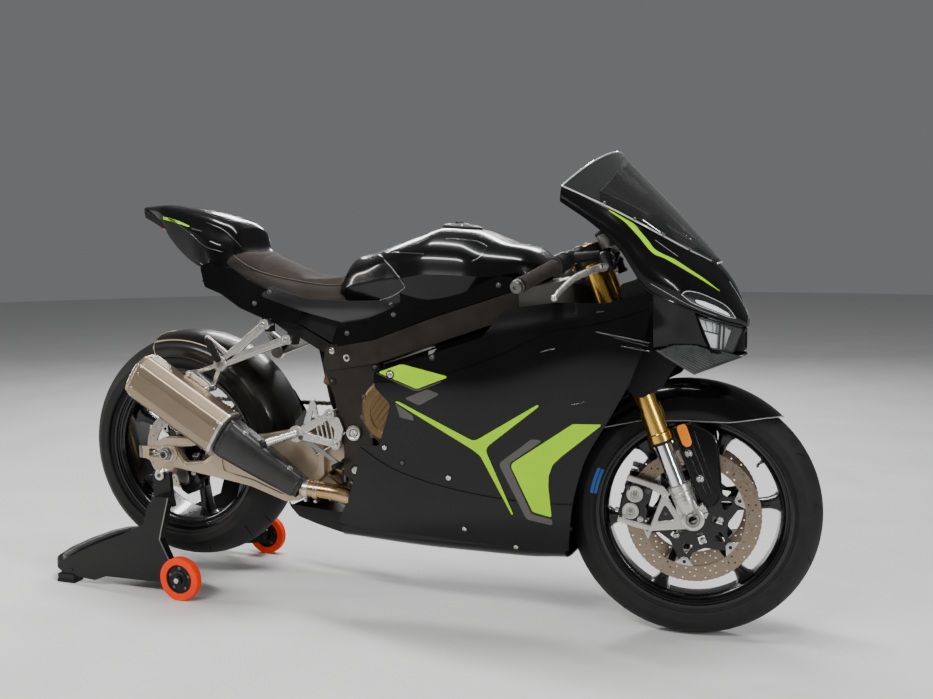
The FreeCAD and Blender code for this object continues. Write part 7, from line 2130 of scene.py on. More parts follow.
# ------------------------------------------------------------------ exhaust
S0, S1 = a3(-30, -208, 605), a3(224, -204, 452)
sdir = unit(S1 - S0)
sy = unit(YY - sdir * float(sdir @ YY))
sz = np.cross(sdir, sy)
if sz[2] < 0:
    sz = -sz
SECT = round_poly([(-50, -23), (-45, -43), (-20, -62), (20, -62), (45, -43), (50, -23), (50, 23), (45, 43), (20, 62), (-20, 62), (-45, 43), (-50, 23)], [16, 13, 16, 16, 13, 16, 16, 13, 16, 16, 13, 16], 4)
SL = float(np.linalg.norm(S1 - S0))


def sil_ring(k, sc, grow=0.0):
    q = SECT * sc
    if grow:
        q = q * (1 + grow / 56.0)
    return np.array([S0 + sdir * k + sy * a + sz * b for a, b in q])


sil = []
sleeve = [sil_ring(k, s_, g_) for k, s_, g_ in ((9, 0.965, 0), (9, 0.975, 0.6), (12, 1.0, 0.8), (16, 1.0, 1.0), (60, 1.0, 1.0), (120, 1.0, 1.0), (200, 1.0, 1.0), (270, 1.0, 1.0), (290, 1.0, 1.0), (291, 1.0, 0.2), (291, 0.97, 0))]
sil.append((clean(*g_rows(sleeve, wrap=True, caps=True)), TITAN))
capr = [sil_ring(k, s_) for k, s_ in ((10, 0.97), (6, 0.965), (2, 0.95), (0, 0.925), (0, 0.80), (3, 0.76), (6, 0.62))]
V_, F_c = g_rows(capr, wrap=True)
sil.append(((V_, F_c), TITANLT))
inner_r = [sil_ring(6, 0.62), np.array([S0 + sdir * 5 + (sy * math.cos(t) + sz * math.sin(t)) * 27.5 for t in [math.atan2(b, a) for a, b in SECT]])]
sil.append((g_rows(inner_r, wrap=True), TITANLT))
sil.append((g_lathe([(26, 60), (26, 3), (26.8, 1.4), (28.2, 1.4), (28.6, 4), (28.6, 60)], S0, sdir, 48), DARKSTEEL))
# dark disc deep in the outlet: painted shade inside the tube
sil.append((g_lathe([(0, 58), (27, 58), (27, 60), (0, 60)], S0, sdir, 32), SHADE_FILL))
band = [sil_ring(k, s_, g_) for k, s_, g_ in ((288, 1.0, 1.6), (289, 1.0, 2.2), (294.5, 1.0, 2.2), (295.6, 1.0, 1.4), (296.6, 0.93, 0), (296.6, 0.80, 0))]
sil.append((clean(*g_rows(band, wrap=True, caps=True)), ALLOY))
for k0 in (22, 282):
    for a, b in ((-48.5, 33), (-51, 10), (-51, -12), (-36, -52), (-34, 53), (0, 63), (0, -63), (48.5, 33), (51, 0), (36, -52)):
        nrm = unit(sy * (a / 2500.0) + sz * (b / 3800.0))
        # drop onto the sleeve
        ang_ = math.atan2(b, a)
        best = min(range(len(SECT)), key=lambda i: abs(math.atan2(SECT[i][1], SECT[i][0]) - ang_))
        q = SECT[best] * (1 + 1.0 / 56)
        sil.append((g_bolt(S0 + sdir * k0 + sy * q[0] + sz * q[1], nrm, 2.7, 1.5, "button"), STEEL))
# clamp bracket on the top edge for the hanger's link
for x, z in ((104, 604), (155, 566)):
    p = a3(x, -172, z)
    sil.append((g_lathe([(4, -6), (8.5, -6), (9.5, -5), (9.5, 22), (8.5, 23), (4, 23)], a3(x, -178, z), YY, 28, closed=True), ALLOY))
    sil.append((g_bolt(a3(x, -183.5, z), a3(0, -1, 0), 6.0, 4.0, "socket"), STEEL))
foot = g_plate(round_poly([(92, 602), (102, 616), (166, 576), (160, 560), (148, 554), (100, 586)], 5, 3), -182, -177, bev=1.2)
sil.append((foot, ALLOY))
piece("silencer_can", sil, rep=("silencer",), sharp=30)

EX = [a3(690, -60, 236), a3(640, -92, 250), a3(590, -132, 282), a3(525, -166, 312), a3(432, -180, 322)]
cend = EX[4]
cdir = unit(cend - S1)
cy = unit(YY - cdir * float(cdir @ YY))
cz = np.cross(cdir, cy)
if cz[2] < 0:
    cz = -cz
oct_ = round_poly([(-1, -0.4), (-0.5, -1), (0.5, -1), (1, -0.4), (1, 0.4), (0.5, 1), (-0.5, 1), (-1, 0.4)], 0.5, 5)
CL = float(np.linalg.norm(cend - S1))
hs = []
ks = np.linspace(0, 1, 22)
aw = pchip([0, 0.45, 1.0], [38, 34, 24], ks)
bw = pchip([0, 0.45, 1.0], [54, 44, 29], ks)
rows = [np.array([S1 + cdir * (CL * k + 1.0) * 0.992 + cy * (a * p) + cz * (b * q) for p, q in oct_]) for k, a, b in zip(ks, aw, bw)]
hs.append((clean(*g_rows(rows, wrap=True, caps=True)), SHIELD))
# raised shield plate on the outer side with its rolled edge and two screws
pl_rows = []
for k, a, b in zip(ks[1:-1], aw[1:-1], bw[1:-1]):
    pl_rows.append([S1 + cdir * CL * k + cy * (-(a + 2.4) * math.cos(t) ** 0.5 if abs(t) < math.pi / 2 else 0) + cz * ((b + 1.8) * math.sin(t) * 0.96) for t in np.linspace(-1.25, 1.35, 21)])
hs.append((clean(*g_skin(pl_rows, 2.0)), SHIELD))
for row in (pl_rows[0], pl_rows[-1]):
    hs.append((g_tube(row, 1.3, 8), SHIELD))
hs.append((g_tube([r[0] for r in pl_rows], 1.3, 8), SHIELD))
hs.append((g_tube([r[-1] for r in pl_rows], 1.3, 8), SHIELD))
hs_tree = BVHTree.FromPolygons([Vector(p) for r in pl_rows for p in r], [(i * 21 + k, i * 21 + k + 1, (i + 1) * 21 + k + 1, (i + 1) * 21 + k) for i in range(len(pl_rows) - 1) for k in range(20)])
for u, v in ((245.5, 433.0), (290, 468)):
    p, nn = on_tree(hs_tree, u, v)
    hs.append((g_bolt(p, nn, 5.0, 3.2, "socket", washer=8.0), ALLOYDK))
piece("heat_shield_shell", hs, rep=("heat_shield",), sharp=34)

ep = []
link = crom([EX[4] + (EX[4] - EX[3]) * 0.0, EX[3], EX[2], EX[1], EX[0]], 8)
ep.append((g_tube(link, 21.0, 28), PIPE))
t0 = unit(EX[3] - EX[4])
for k, (d0, d1, r_) in enumerate(((6, 20, 24.0), (34, 46, 23.6), (78, 84, 22.6))):
    o = EX[4] + t0 * d0
    w_ = d1 - d0
    ep.append((g_lathe([(21, 0), (r_ - 0.8, 0), (r_, 0.8), (r_, w_ * 0.3), (r_ - 1.0, w_ * 0.36), (r_ - 1.0, w_ * 0.64), (r_, w_ * 0.7), (r_, w_ - 0.8), (r_ - 0.8, w_), (21, w_)], o, t0, 48, closed=True), TITANLT if k else ALLOY))
    if k < 2:
        u_, v_, _ = basis(t0)
        cp_ = o + t0 * w_ / 2 + a3(0, 0, -r_ - 4)
        ep.append((g_lathe([(0, -8), (5, -8), (5, 8), (0, 8)], cp_, YY, 18), ALLOYDK))
        ep.append((g_bolt(cp_ + a3(0, -8, 0), a3(0, -1, 0), 4.4, 4.0, "hex"), STEEL))
for k in range(3):
    yy = -70 + 70 * k
    hp_ = crom([a3(684, -60, 238), a3(780, yy, 240), a3(962, yy, 262), a3(986, yy, 420), a3(968, yy, 560)], 10, sharp=())
    ep.append((g_tube(hp_, 19.0, 24), PIPE))
piece("exhaust_pipes", ep, rep=("exhaust_pipe",), sharp=34)

# ------------------------------------------------------------------ footrests
for s, nm in ((-1, "right"), (1, "left")):
    ya, yb = (164, 176) if s < 0 else (162, 174)
    yo = yb
    f_ = []
    P_, A_, B_, C_ = (416, 460), (512, 515), (528, 440), (464, 547)
    f_.append((g_plate(capsule(P_, A_, 12, 9), *ys(s, ya + 1, yb), bev=2.4, seg=3), ALLOY))
    f_.append((g_plate(capsule(P_, B_, 12, 9), *ys(s, ya + 1, yb), bev=2.4, seg=3), ALLOY))
    f_.append((g_plate(capsule((446, 490), C_, 9, 6), *ys(s, ya + 1, yb - 2), bev=2.0), ALLOY))
    f_.append((g_plate(capsule((476, 500), C_, 5, 6), *ys(s, ya + 2, yb - 3), bev=1.6), ALLOY))
    # long grooves along the arms
    for Q_ in (A_, B_):
        d = np.array(Q_, float) - np.array(P_, float)
        L_ = np.linalg.norm(d)
        d = d / L_
        n_ = np.array([-d[1], d[0]])
        p_, q_ = np.array(P_) + d * 22, np.array(Q_) - d * 16
        f_.append((g_plate(capsule(p_ + n_ * 5, q_ + n_ * 4, 1.8, 1.8, 4), *ys(s, yb - 1, yb + 1.6), bev=0.6, seg=1), ALLOY))
        f_.append((g_plate(capsule(p_ - n_ * 5, q_ - n_ * 4, 1.8, 1.8, 4), *ys(s, yb - 1, yb + 1.6), bev=0.6, seg=1), ALLOY))
    # arched rear plate with its slanting ribs, between the two arms
    arch = round_poly([(498, 512), (536, 508), (548, 478), (540, 444), (520, 446), (524, 478), (508, 492)], [6, 10, 16, 8, 6, 14, 8], 4)
    f_.append((g_plate(arch, *ys(s, ya, yb - 4), bev=1.6), ALLOY))
    for k in range(4):
        x0 = 470 + 13 * k
        f_.append((g_plate(capsule((x0, 490 + 4.2 * k), (x0 + 10, 452 - 1.5 * k), 2.2, 2.2, 4), *ys(s, ya + 1, yb - 5), bev=0.8, seg=1), ALLOY))
    for (x, z) in (A_, B_):
        f_.append((g_lathe([(0, ya - 1), (13.5, ya - 1), (14.5, ya), (14.5, yb + 1), (13.4, yb + 2.4), (10, yb + 2.4), (9.4, yb + 1), (0, yb + 1)], a3(x, 0, z), YY * s, 40), ALLOY))
        f_.append((g_bolt(a3(x, s * (yb + 1), z), YY * s, 7.6, 5.0, "socket"), STEEL))
        f_.append((g_lathe([(0, 127), (9, 127), (9, ya), (0, ya)], a3(x, 0, z), YY * s, 28), ALLOYDK))
    f_.append((g_lathe([(0, ya), (20, ya), (22, ya + 1.5), (22, yb - 1), (20.6, yb + 1), (12, yb + 1), (0, yb + 1)], a3(416, 0, 460), YY * s, 44), ALLOY))
    f_.append((g_bolt(a3(C_[0], s * (yb - 2), C_[1]), YY * s, 4.4, 3.0, "button"), STEEL))
    # peg: knurled bar with end ball, carried in a clevis
    a = a3(416, s * (yo - 2), 462)
    e = a + a3(-62, s * 74, -20)
    d = unit(e - a)
    L_ = float(np.linalg.norm(e - a))
    prof = [(0, 0), (10, 0), (11, 2), (11, 8), (9.4, 10)]
    h = 12
    while h < L_ - 18:
        prof += [(9.4, h), (11, h + 0.8), (11, h + 3.6), (9.4, h + 4.4)]
        h += 5.6
    prof += [(9.4, L_ - 14), (0, L_ - 14)]
    f_.append((g_lathe(prof, a, d, 28), ALLOY))
    f_.append((g_lathe([(0, L_ - 14), (10, L_ - 14), (11.5, L_ - 12), (11.5, L_ - 4), (9, L_ - 0.5), (0, L_)], a, d, 28), SATIN))
    # pedal: bent lever, return arm, toe piece
    f_.append((g_plate(capsule((430, 452), (536, 388), 7, 4.6), *ys(s, ya + 2, ya + 9), bev=1.4), ALLOYDK))
    f_.append((g_plate(capsule((430, 452), (470, 408), 5, 4), *ys(s, ya + 3, ya + 8), bev=1.2), ALLOYDK))
    f_.append((g_lathe([(0, 166), (5, 166), (5, 176), (7.0, 176), (7.0, 180), (6.2, 181), (7, 182), (7.0, 186), (6.2, 187), (7.0, 188), (7.0, 192), (6.2, 193), (7, 194), (7.0, 203), (6, 205), (0, 205)], a3(536, 0, 388), YY * s, 24), SATIN))
    f_.append((g_bolt(a3(430, s * (yb + 0.6), 452), YY * s, 6.4, 3.0, "socket"), DARKSTEEL))
    # heel guard and push rod
    f_.append((g_plate(round_poly([(428, 478), (452, 520), (440, 524), (408, 486)], 6, 3), *ys(s, ya + 4, ya + 7), bev=0.8), CARBON_SIDE))
    f_.append((g_tube([a3(470, s * (ya + 5), 408), a3(505, s * (ya + 2), 430), a3(548, s * (ya - 6), 470)], 3.2, 12), STEEL))
    piece("rearset_" + nm, f_, rep=("rider_footrests",) if s < 0 else (), sharp=34)

    # passenger hanger
    ya, yb = (143, 153)
    g_ = []
    H_ = (182, 630)
    for Q_, w0, w1 in (((316, 738), 13, 10.5), ((380, 700), 13, 10.5)):
        g_.append((g_plate(capsule(H_, Q_, w0, w1), *ys(s, ya, yb), bev=3.0, seg=3), ALLOY))
        d = np.array(Q_, float) - np.array(H_, float)
        L_ = np.linalg.norm(d)
        d = d / L_
        n_ = np.array([-d[1], d[0]])
        g_.append((g_plate(capsule(np.array(H_) + d * 26, np.array(Q_) - d * 18, 3.4, 2.6, 4), *ys(s, yb - 1, yb + 2.2), bev=1.0, seg=1), ALLOY))
        g_.append((g_lathe([(0, ya - 1), (12, ya - 1), (13.6, ya), (13.6, yb + 0.5), (12.4, yb + 2), (0, yb + 2)], a3(Q_[0], 0, Q_[1]), YY * s, 32), ALLOY))
        g_.append((g_bolt(a3(Q_[0], s * (yb + 1.6), Q_[1]), YY * s, 6.2, 3.6, "socket"), STEEL))
        g_.append((g_lathe([(0, 112), (8, 112), (8, ya), (0, ya)], a3(Q_[0], 0, Q_[1]), YY * s, 24), ALLOYDK))
    g_.append((g_plate(capsule(H_, (142, 700), 8.5, 5), *ys(s, ya, yb), bev=2.4, seg=2), ALLOY))
    g_.append((g_plate(capsule((208, 652), (142, 700), 6.5, 5), *ys(s, ya + 1, yb - 1), bev=2.2, seg=2), ALLOY))
    g_.append((g_bolt(a3(142, s * (yb - 1), 700), YY * s, 4.6, 3.0, "button"), STEEL))
    g_.append((g_lathe([(0, ya - 3), (18, ya - 3), (20, ya - 1), (20, yb + 1), (18.5, yb + 3), (12, yb + 3), (11, yb + 1.5), (0, yb + 1.5)], a3(182, 0, 630), YY * s, 44), ALLOY))
    g_.append((g_bolt(a3(182, s * (yb + 1.4), 630), YY * s, 9.0, 3.4, "socket"), ALLOYDK))
    # folded peg behind the arm
    g_.append((g_plate(capsule((148, 692), (177, 644), 8, 9), *ys(s, yb - 2, yb + 10) if s < 0 else ys(s, yb - 1, yb + 9), bev=3.0, seg=3), SATIN))
    if s < 0:
        for p_, q_ in ((H_, (155, 566)), (H_, (104, 604)), ((104, 604), (155, 566))):
            g_.append((g_plate(capsule(p_, q_, 6.5, 5.6), *ys(s, ya, yb), bev=1.8), ALLOY))
        for x, z in ((104, 604), (155, 566)):
            g_.append((g_lathe([(0, 150), (6, 150), (6, 172), (0, 172)], a3(x, 0, z), YY * s, 20), STEEL))
            g_.append((g_lathe([(0, ya), (9, ya), (9, yb + 0.6), (8, yb + 1.6), (0, yb + 1.6)], a3(x, 0, z), YY * s, 28), ALLOY))
    piece("hanger_" + nm, g_, rep=("passenger_footrests",) if s < 0 else (), sharp=34)


# ------------------------------------------------------------------ triple clamps, bars, controls
tc = []
for t0, h in ((690.0, 32.0), (946.0, 20.0)):
    pl = lambda a, b, t: st(t, a, b)
    body_o = round_poly([(52, -105), (40, -50), (32, 0), (40, 50), (52, 105), (2, 105), (-22, 45), (-27, 0), (-22, -45), (2, -105)], [6, 60, 40, 60, 6, 6, 30, 30, 30, 6], 4)
    holes = []
    if t0 > 900:
        for s in (-1, 1):
            holes.append(round_poly([(4, s * 36), (26, s * 36), (34, s * 62), (8, s * 62)], 6, 3))
    tc.append((g_plate(body_o, t0, t0 + h, holes=[circle(0, 0, 15.5, 36)] + holes, bev=3.0, place=pl, seg=3), SATIN if t0 < 900 else FRAME))
    for s in (-1, 1):
        o = st(0, 27, s * 105)
        tc.append((g_lathe([(26.05, t0), (33, t0), (35, t0 + 2), (35, t0 + h - 2), (33, t0 + h), (26.05, t0 + h)], o, AXIS, 56, closed=True), SATIN if t0 < 900 else FRAME))
        # pinch bolts at the front of each eye
        for dt in ((8, 24) if h > 25 else (10,)):
            tc.append((g_bolt(st(t0 + dt, 58, s * 119), YY * s, 5.6, 5.0, "socket"), STEEL))
            tc.append((g_tube([st(t0 + dt, 58, s * 90), st(t0 + dt, 58, s * 119)], 7.5, 16), SATIN if t0 < 900 else FRAME))
    tc.append((g_lathe([(15.4, t0), (25, t0), (27, t0 + 2), (27, t0 + h - 2), (25, t0 + h), (15.4, t0 + h)], st(0, 0, 0), AXIS, 48, closed=True), SATIN if t0 < 900 else FRAME))
tc.append((g_lathe([(0, 692), (15, 692), (15, 968), (0, 968)], st(0, 0, 0), AXIS, 32), STEEL))
tc.append((g_lathe([(11, 965.6), (20, 965.6), (21, 967), (21, 969), (18, 969.6)], st(0, 0, 0), AXIS, 40), ALLOY))
tc.append((g_bolt(st(967.5, 0, 0), AXIS, 17.0, 8.0, "hex"), ALLOYDK))
# ignition lock ahead of the stem
tc.append((g_lathe([(0, 962), (17, 962), (18, 964), (18, 978), (16, 980), (13, 980), (12, 978.4), (0, 978.4)], st(0, 34, 0) - FWD * 4, AXIS, 36), SATIN))
tc.append((g_plate([(-5, -1.2), (5, -1.2), (5, 1.2), (-5, 1.2)], 978.0, 978.8, bev=0.2, seg=1, place=lambda a, b, t: st(t, 30 + a, b)), DARKSTEEL))
piece("triple_clamp_plates", tc, "steering", rep=("triple_clamps",), sharp=34)


def bar_point(d, s):
    return st(985.0 - 0.150 * d, 27.0 - math.tan(math.radians(30)) * d, s * (105.0 + d))


hb, gr, lv = [], [], []
for s, nm in ((-1, "right"), (1, "left")):
    o = bar_point(0, s)
    d = unit(bar_point(250, s) - bar_point(10, s))
    k_ = float(np.linalg.norm(bar_point(1, s) - bar_point(0, s)))     # length along the bar per unit outboard
    B = lambda prof, n=32, closed=False: g_lathe([(r, h * k_) for r, h in prof], o, d, n, closed=closed)
    hb.append((g_lathe([(26.1, 968), (32, 968), (33, 969.4), (33, 988.6), (32, 990), (26.1, 990)], st(0, 27, s * 105), AXIS, 56, closed=True), SATIN))
    hb.append((g_tube([st(979, 27 + 30, s * 105 - s * 16), st(979, 27 + 30, s * 105 + s * 10)], 8.5, 18), SATIN))
    hb.append((g_bolt(st(979, 57, s * 115), YY * s, 5.6, 5.0, "socket"), STEEL))
    hb.append((B([(0, 24), (15, 26), (16, 30), (16, 40), (12, 46), (11, 48), (11, 250), (0, 250)]), SATIN))
    hb.append((B([(0, 246), (13, 246), (15, 247), (15.6, 249), (15.6, 252), (14.4, 253), (14.4, 256), (15.2, 257), (15.2, 260), (13, 262), (5, 262), (5, 260), (0, 260)]), DARKSTEEL))
    prof = [(11.1, 122), (20, 122), (21, 122.8), (21, 125), (19.6, 126), (16.6, 126.6), (15.6, 129)]
    h = 131.0
    while h < 238:
        prof += [(15.4, h), (16.5, h + 0.7), (16.5, h + 2.6), (15.4, h + 3.3)]
        h += 5.1
    prof += [(15.6, 240), (17.4, 241), (17.4, 243.4), (16, 244.6), (11.1, 245)]
    gr.append((B(prof, 36, True), GRIP))
    # switch housing in two halves, with its buttons
    house = [(11.1, 82), (17, 82), (20, 83.4), (21.4, 86), (22, 92), (22, 97.4), (21.2, 98), (21.2, 99), (22, 99.6), (22, 108), (21, 112), (19.6, 112.8), (19.6, 114), (21.4, 114.8), (21.4, 118), (20.4, 119), (11.1, 119)]
    lv.append((B(house, 40, True), SATIN))
    up = unit(np.cross(d, FWD))
    if up[2] < 0:
        up = -up
    back_ = unit(np.cross(up, d)) * (-1 if float(np.cross(up, d) @ FWD) > 0 else 1)
    for h_, a_, w_, c_ in ((88, 0.2, 5.0, SATIN), (94, -0.5, 3.6, ALLOYDK), (103, 0.1, 5.6, TAILRED if s < 0 else SATIN), (108, -0.6, 3.2, AMBER if s > 0 else SATIN)):
        nn = unit(back_ * math.cos(a_) + up * math.sin(a_ + 0.5))
        p = o + d * h_ * k_ + nn * 21.0
        lv.append((g_plate(round_poly([(-w_, -w_ * 0.7), (w_, -w_ * 0.7), (w_, w_ * 0.7), (-w_, w_ * 0.7)], 1.6, 3), -1.5, 3.6, bev=0.8, place=lambda a, b, t, p=p, nn=nn: p + d * a + np.cross(nn, d) * b + nn * t), c_))
    lv.append((B([(11.1, 62), (15, 62), (17, 63), (17, 79), (15, 80), (11.1, 80)], 32, True), SATIN))
    lv.append((g_tube([bar_point(71, s), bar_point(71, s) + (st(955, 60, s * 165) - bar_point(70, s)) * 0.9], [13, 11], 20), SATIN))
    for k in (-1, 1):
        q = bar_point(71, s) + AXIS * (k * 12) - FWD * 12
        lv.append((g_bolt(q, -FWD, 4.2, 4.0, "socket"), STEEL))
    # master cylinder with its end cap and its banjo bolt, reservoir on a post
    m0, m1 = st(955, 42, s * 135), st(945, 66, s * 190)
    md = unit(m1 - m0)
    ml = float(np.linalg.norm(m1 - m0))
    lv.append((g_lathe([(0, -6), (6, -6), (6, -1), (12.6, 0), (14, 1.6), (14, ml * 0.5), (12.4, ml * 0.54), (12.4, ml * 0.78), (14, ml * 0.82), (14, ml - 2), (12.6, ml), (0, ml)], m0, md, 32), SATIN))
    lv.append((g_bolt(m0 + md * -5, -md, 6.4, 6.0, "hex", washer=8.4), STEEL))
    r0 = st(965, 78, s * 142)
    lv.append((g_lathe([(0, 0), (17, 0), (19, 2), (20, 10), (20, 31), (21, 32), (21, 34), (20.4, 35)], r0, AXIS, 40), ALLOYDK))
    lv.append((g_lathe([(20.4, 34), (21.4, 34.4), (21.4, 39), (20.2, 41.6), (16, 42.4), (15.4, 44), (0, 44)], r0, AXIS, 40), SATIN if s > 0 else SATIN))
    lv.append((g_lathe([(0, 43.4), (11, 43.4), (11.6, 44.2), (10.6, 45.2), (0, 45.2)], r0, AXIS, 32), PIPING))
    lv.append((g_tube([st(948, 60, s * 145), st(967, 74, s * 142)], [7, 8], 16), SATIN))
    # lever: flat forged blade with its ball end, pivot and adjuster wheel
    pv0 = st(913, 66, s * 178)
    lv.append((g_lathe([(0, 0), (11.6, 0), (13, 1.4), (13, 9), (10, 10), (10, 28), (13, 29), (13, 36.6), (11.6, 38), (0, 38)], pv0, AXIS, 36), SATIN))
    lv.append((g_bolt(st(951, 66, s * 178), AXIS, 6.0, 3.0, "socket"), STEEL))
    lv.append((g_lathe([(0, -5), (9, -5), (9.6, -4), (9.6, 4), (9, 5), (0, 5)], st(930, 44, s * 196), AXIS, 20), ALLOYDK))
    bl = crom([st(926, 62, s * 180), st(928, 40, s * 200), st(928, 20, s * 222), st(924, -10, s * 256), st(908, -42, s * 300), st(898, -55, s * 324)], 8)
    nB = len(bl)
    flat = [(math.cos(t) * 1.0, math.sin(t) * (1.0 if abs(math.sin(t)) < 0.6 else 0.92)) for t in np.linspace(0, 2 * math.pi, 16, endpoint=False)]
    rad_ = np.interp(np.linspace(0, 1, nB), [0, 0.12, 0.3, 0.9, 1.0], [10.0, 9.2, 7.6, 6.0, 5.2])
    lv.append((g_tube(bl, rad_, 16, sect=[(a * 0.80, b * 1.18) for a, b in flat], up=AXIS), ALLOY))
    be = st(896, -58, s * 330)
    lv.append((g_lathe([(0, -8), (4, -7.2), (6.6, -4.6), (8, 0), (6.6, 4.6), (4, 7.2), (0, 8)], be, unit(bl[-1] - bl[-3]), 24), ALLOY))
piece("handlebar_tubes", hb, "steering", rep=("handlebars",), sharp=34)
piece("grips_ribbed", gr, "steering", rep=("handlebar_grips",), sharp=34)
piece("controls_and_levers", lv, "steering", rep=("control_levers",), sharp=34)

# ------------------------------------------------------------------ dash and its stay
t28 = math.radians(28)
RY = np.array(Matrix.Rotation(math.radians(-28), 3, "Y"))
DASH = lambda a, b, t: a3(1318, 0, 966) + RY @ a3(t, a, b)      # a across, b up the panel, t through it
probe = RY @ a3(-1, 0, 0)
side_ = -1.0                                                       # the face the rider sees
ds = [(g_plate(round_poly([(-78, -40), (-70, -46), (70, -46), (78, -40), (78, 34), (64, 46), (-64, 46), (-78, 34)], 7, 4), -9, 7, bev=2.5, place=DASH, seg=3), SATIN),
      (g_plate(round_poly([(-78, -40), (-70, -46), (70, -46), (78, -40), (78, 34), (64, 46), (-64, 46), (-78, 34)], 7, 4), -9.6, -6, holes=[round_poly([(-68, -36), (68, -36), (68, 32), (58, 38), (-58, 38), (-68, 32)], 5, 3)], bev=0.8, place=DASH, seg=2), SATIN),
      (g_plate(round_poly([(-69, -37), (69, -37), (69, 33), (58, 39), (-58, 39), (-69, 33)], 5, 3), -8.2, -7, bev=0.3, place=DASH, seg=1), GLASSDK)]
for y in (-73.5, 73.5):
    for z in (-20, 0, 20):
        ds.append((g_plate(circle(y, z, 2.6, 14), -10.2, -8.8, bev=0.4, place=DASH, seg=1), ALLOYDK))
ds.append((g_prism(round_poly([(-40, -30), (40, -30), (40, 24), (-40, 24)], 6, 3), 6, 9, 0.8, place=DASH), SATIN))
piece("dash_unit", ds, rep=("instrument_panel",), sharp=34)

fs = []
q0 = st(820, 30, 0)
for s in (-1, 1):
    fs.append((g_tube(crom([q0 + a3(0, s * 14, 0), a3(1250, s * 26, 838), a3(1312, s * 62, 846), a3(1330, s * 92, 850)], 8), 6.5, 14), SATIN))
    fs.append((g_tube(crom([a3(1330, s * 40, 850), a3(1326, s * 36, 890), a3(1319, s * 30, 932)], 6), 5.5, 12), SATIN))
    fs.append((g_lathe([(0, 86), (8, 86), (9, 87), (9, 98), (8, 99.5), (0, 99.5)], a3(1330, 0, 850), YY * s, 24), SATIN))
    fs.append((g_bolt(a3(1330, s * 99, 850), YY * s, 5.0, 3.4, "hex"), STEEL))
fs.append((g_plate(round_poly([(1318, 837), (1342, 837), (1342, 859), (1318, 859)], 4, 3), -98, 98, holes=[(1330, 848, 5)], bev=1.6), SATIN))
fs.append((g_tube([a3(1330, 0, 850), a3(1318, 0, 930)], 9.5, 18), SATIN))
fs.append((g_tube([q0, a3(1330, 0, 850)], 12.5, 20), SATIN))
piece("cowl_stay", fs, rep=("fairing_stay",), sharp=34)

# ------------------------------------------------------------------ engine, covers, radiator


# clutch cover: domed casting with diagonal ribs and a ring of screws
CL_ = a3(691, 0, 532)
cc_ = []
prof = [(88, 118), (88, 168), (87.5, 176), (85.5, 181), (82, 184), (80, 184.6), (78, 186.5), (76, 189.5), (73, 190.6), (60, 191.0), (58, 190.2), (56, 188.4), (0, 187.6)]
cc_.append((g_lathe([(r, h) for r, h in prof], CL_, a3(0, -1, 0), 96), BRONZE))
for k in range(-4, 5):
    a = math.radians(-38)
    n_, d_ = a3(math.cos(a), 0, math.sin(a)), a3(-math.sin(a), 0, math.cos(a))
    off_ = k * 12.0
    half_ = math.sqrt(max(55.0 ** 2 - off_ ** 2, 0)) * 0.92
    if half_ > 10:
        p_, q_ = CL_ + n_ * off_ - d_ * half_, CL_ + n_ * off_ + d_ * half_
        cc_.append((g_plate(capsule((p_[0], p_[2]), (q_[0], q_[2]), 2.0, 2.0, 4), -190.6, -186, bev=0.9, seg=2), BRONZE))
for k in range(10):
    a = 2 * math.pi * k / 10 + 0.2
    p = CL_ + a3(82.5 * math.cos(a), 0, 82.5 * math.sin(a))
    cc_.append((g_lathe([(0, 150), (7.5, 150), (7.5, 183), (6.8, 184.4), (0, 184.4)], a3(p[0], 0, p[2]), a3(0, -1, 0), 20), BRONZE))
    cc_.append((g_bolt(a3(p[0], -184.0, p[2]), a3(0, -1, 0), 4.6, 3.6, "socket"), DARKSTEEL))
piece("clutch_cover_cast", cc_, rep=("clutch_cover",), sharp=30)

ac = []
for (x, z, r, h) in ((800, 400, 70, 186), (706, 440, 58, 180)):
    ac.append((g_lathe([(0, 165), (r, 165), (r, h - 6), (r - 2, h - 2.4), (r - 6, h - 0.4), (r * 0.72, h), (r * 0.70, h - 1.6), (r * 0.42, h - 1.6), (r * 0.40, h), (0, h)], a3(x, 0, z), YY, 72), ENGINE))
    for k in range(7):
        a = 2 * math.pi * k / 7 + 0.4
        ac.append((g_bolt(a3(x + (r - 7) * math.cos(a), h - 1.8, z + (r - 7) * math.sin(a)), YY, 4.4, 4.0, "socket", washer=6.0), STEEL))
    ac.append((g_bolt(a3(x, h - 0.5, z), YY, 9.0, 3.0, "hex"), ALLOYDK))
piece("alternator_cover_cast", ac, rep=("alternator_cover",), sharp=30)

# radiator: core with tubes, fins, side tanks and header strips
rd = []
core = [(1003, 312), (1033, 317), (1047, 630), (1019, 633)]
rd.append((g_prism(core, -150, 150, 0), RADMAT))
fins = []
for k in range(34):
    t = (k + 0.5) / 34
    xf, xb = 1034.2 + 13.6 * t, 1002.0 + 16.0 * t
    z = 318 + 310 * t
    for xx in (xf, xb):
        fins.append(g_plate([(xx - 1.4, z - 1.5), (xx + 1.4, z - 1.5), (xx + 1.4, z + 1.5), (xx - 1.4, z + 1.5)], -150, 150, bev=0.3, seg=1))
rd.append((join(fins), DARKSTEEL))
for s in (-1, 1):
    rd.append((g_prism([(1000, 300), (1034, 306), (1050, 640), (1018, 644)], *ys(s, 149, 178), 4.0), SATIN))
rd.append((g_prism([(1000, 300), (1034, 306), (1034.8, 318), (1001, 313)], -160, 160, 1.5), SATIN))
rd.append((g_prism([(1017.4, 631), (1049, 627), (1050, 640), (1018, 644)], -160, 160, 1.5), SATIN))
piece("radiator_core", rd, rep=("radiator",), sharp=30)




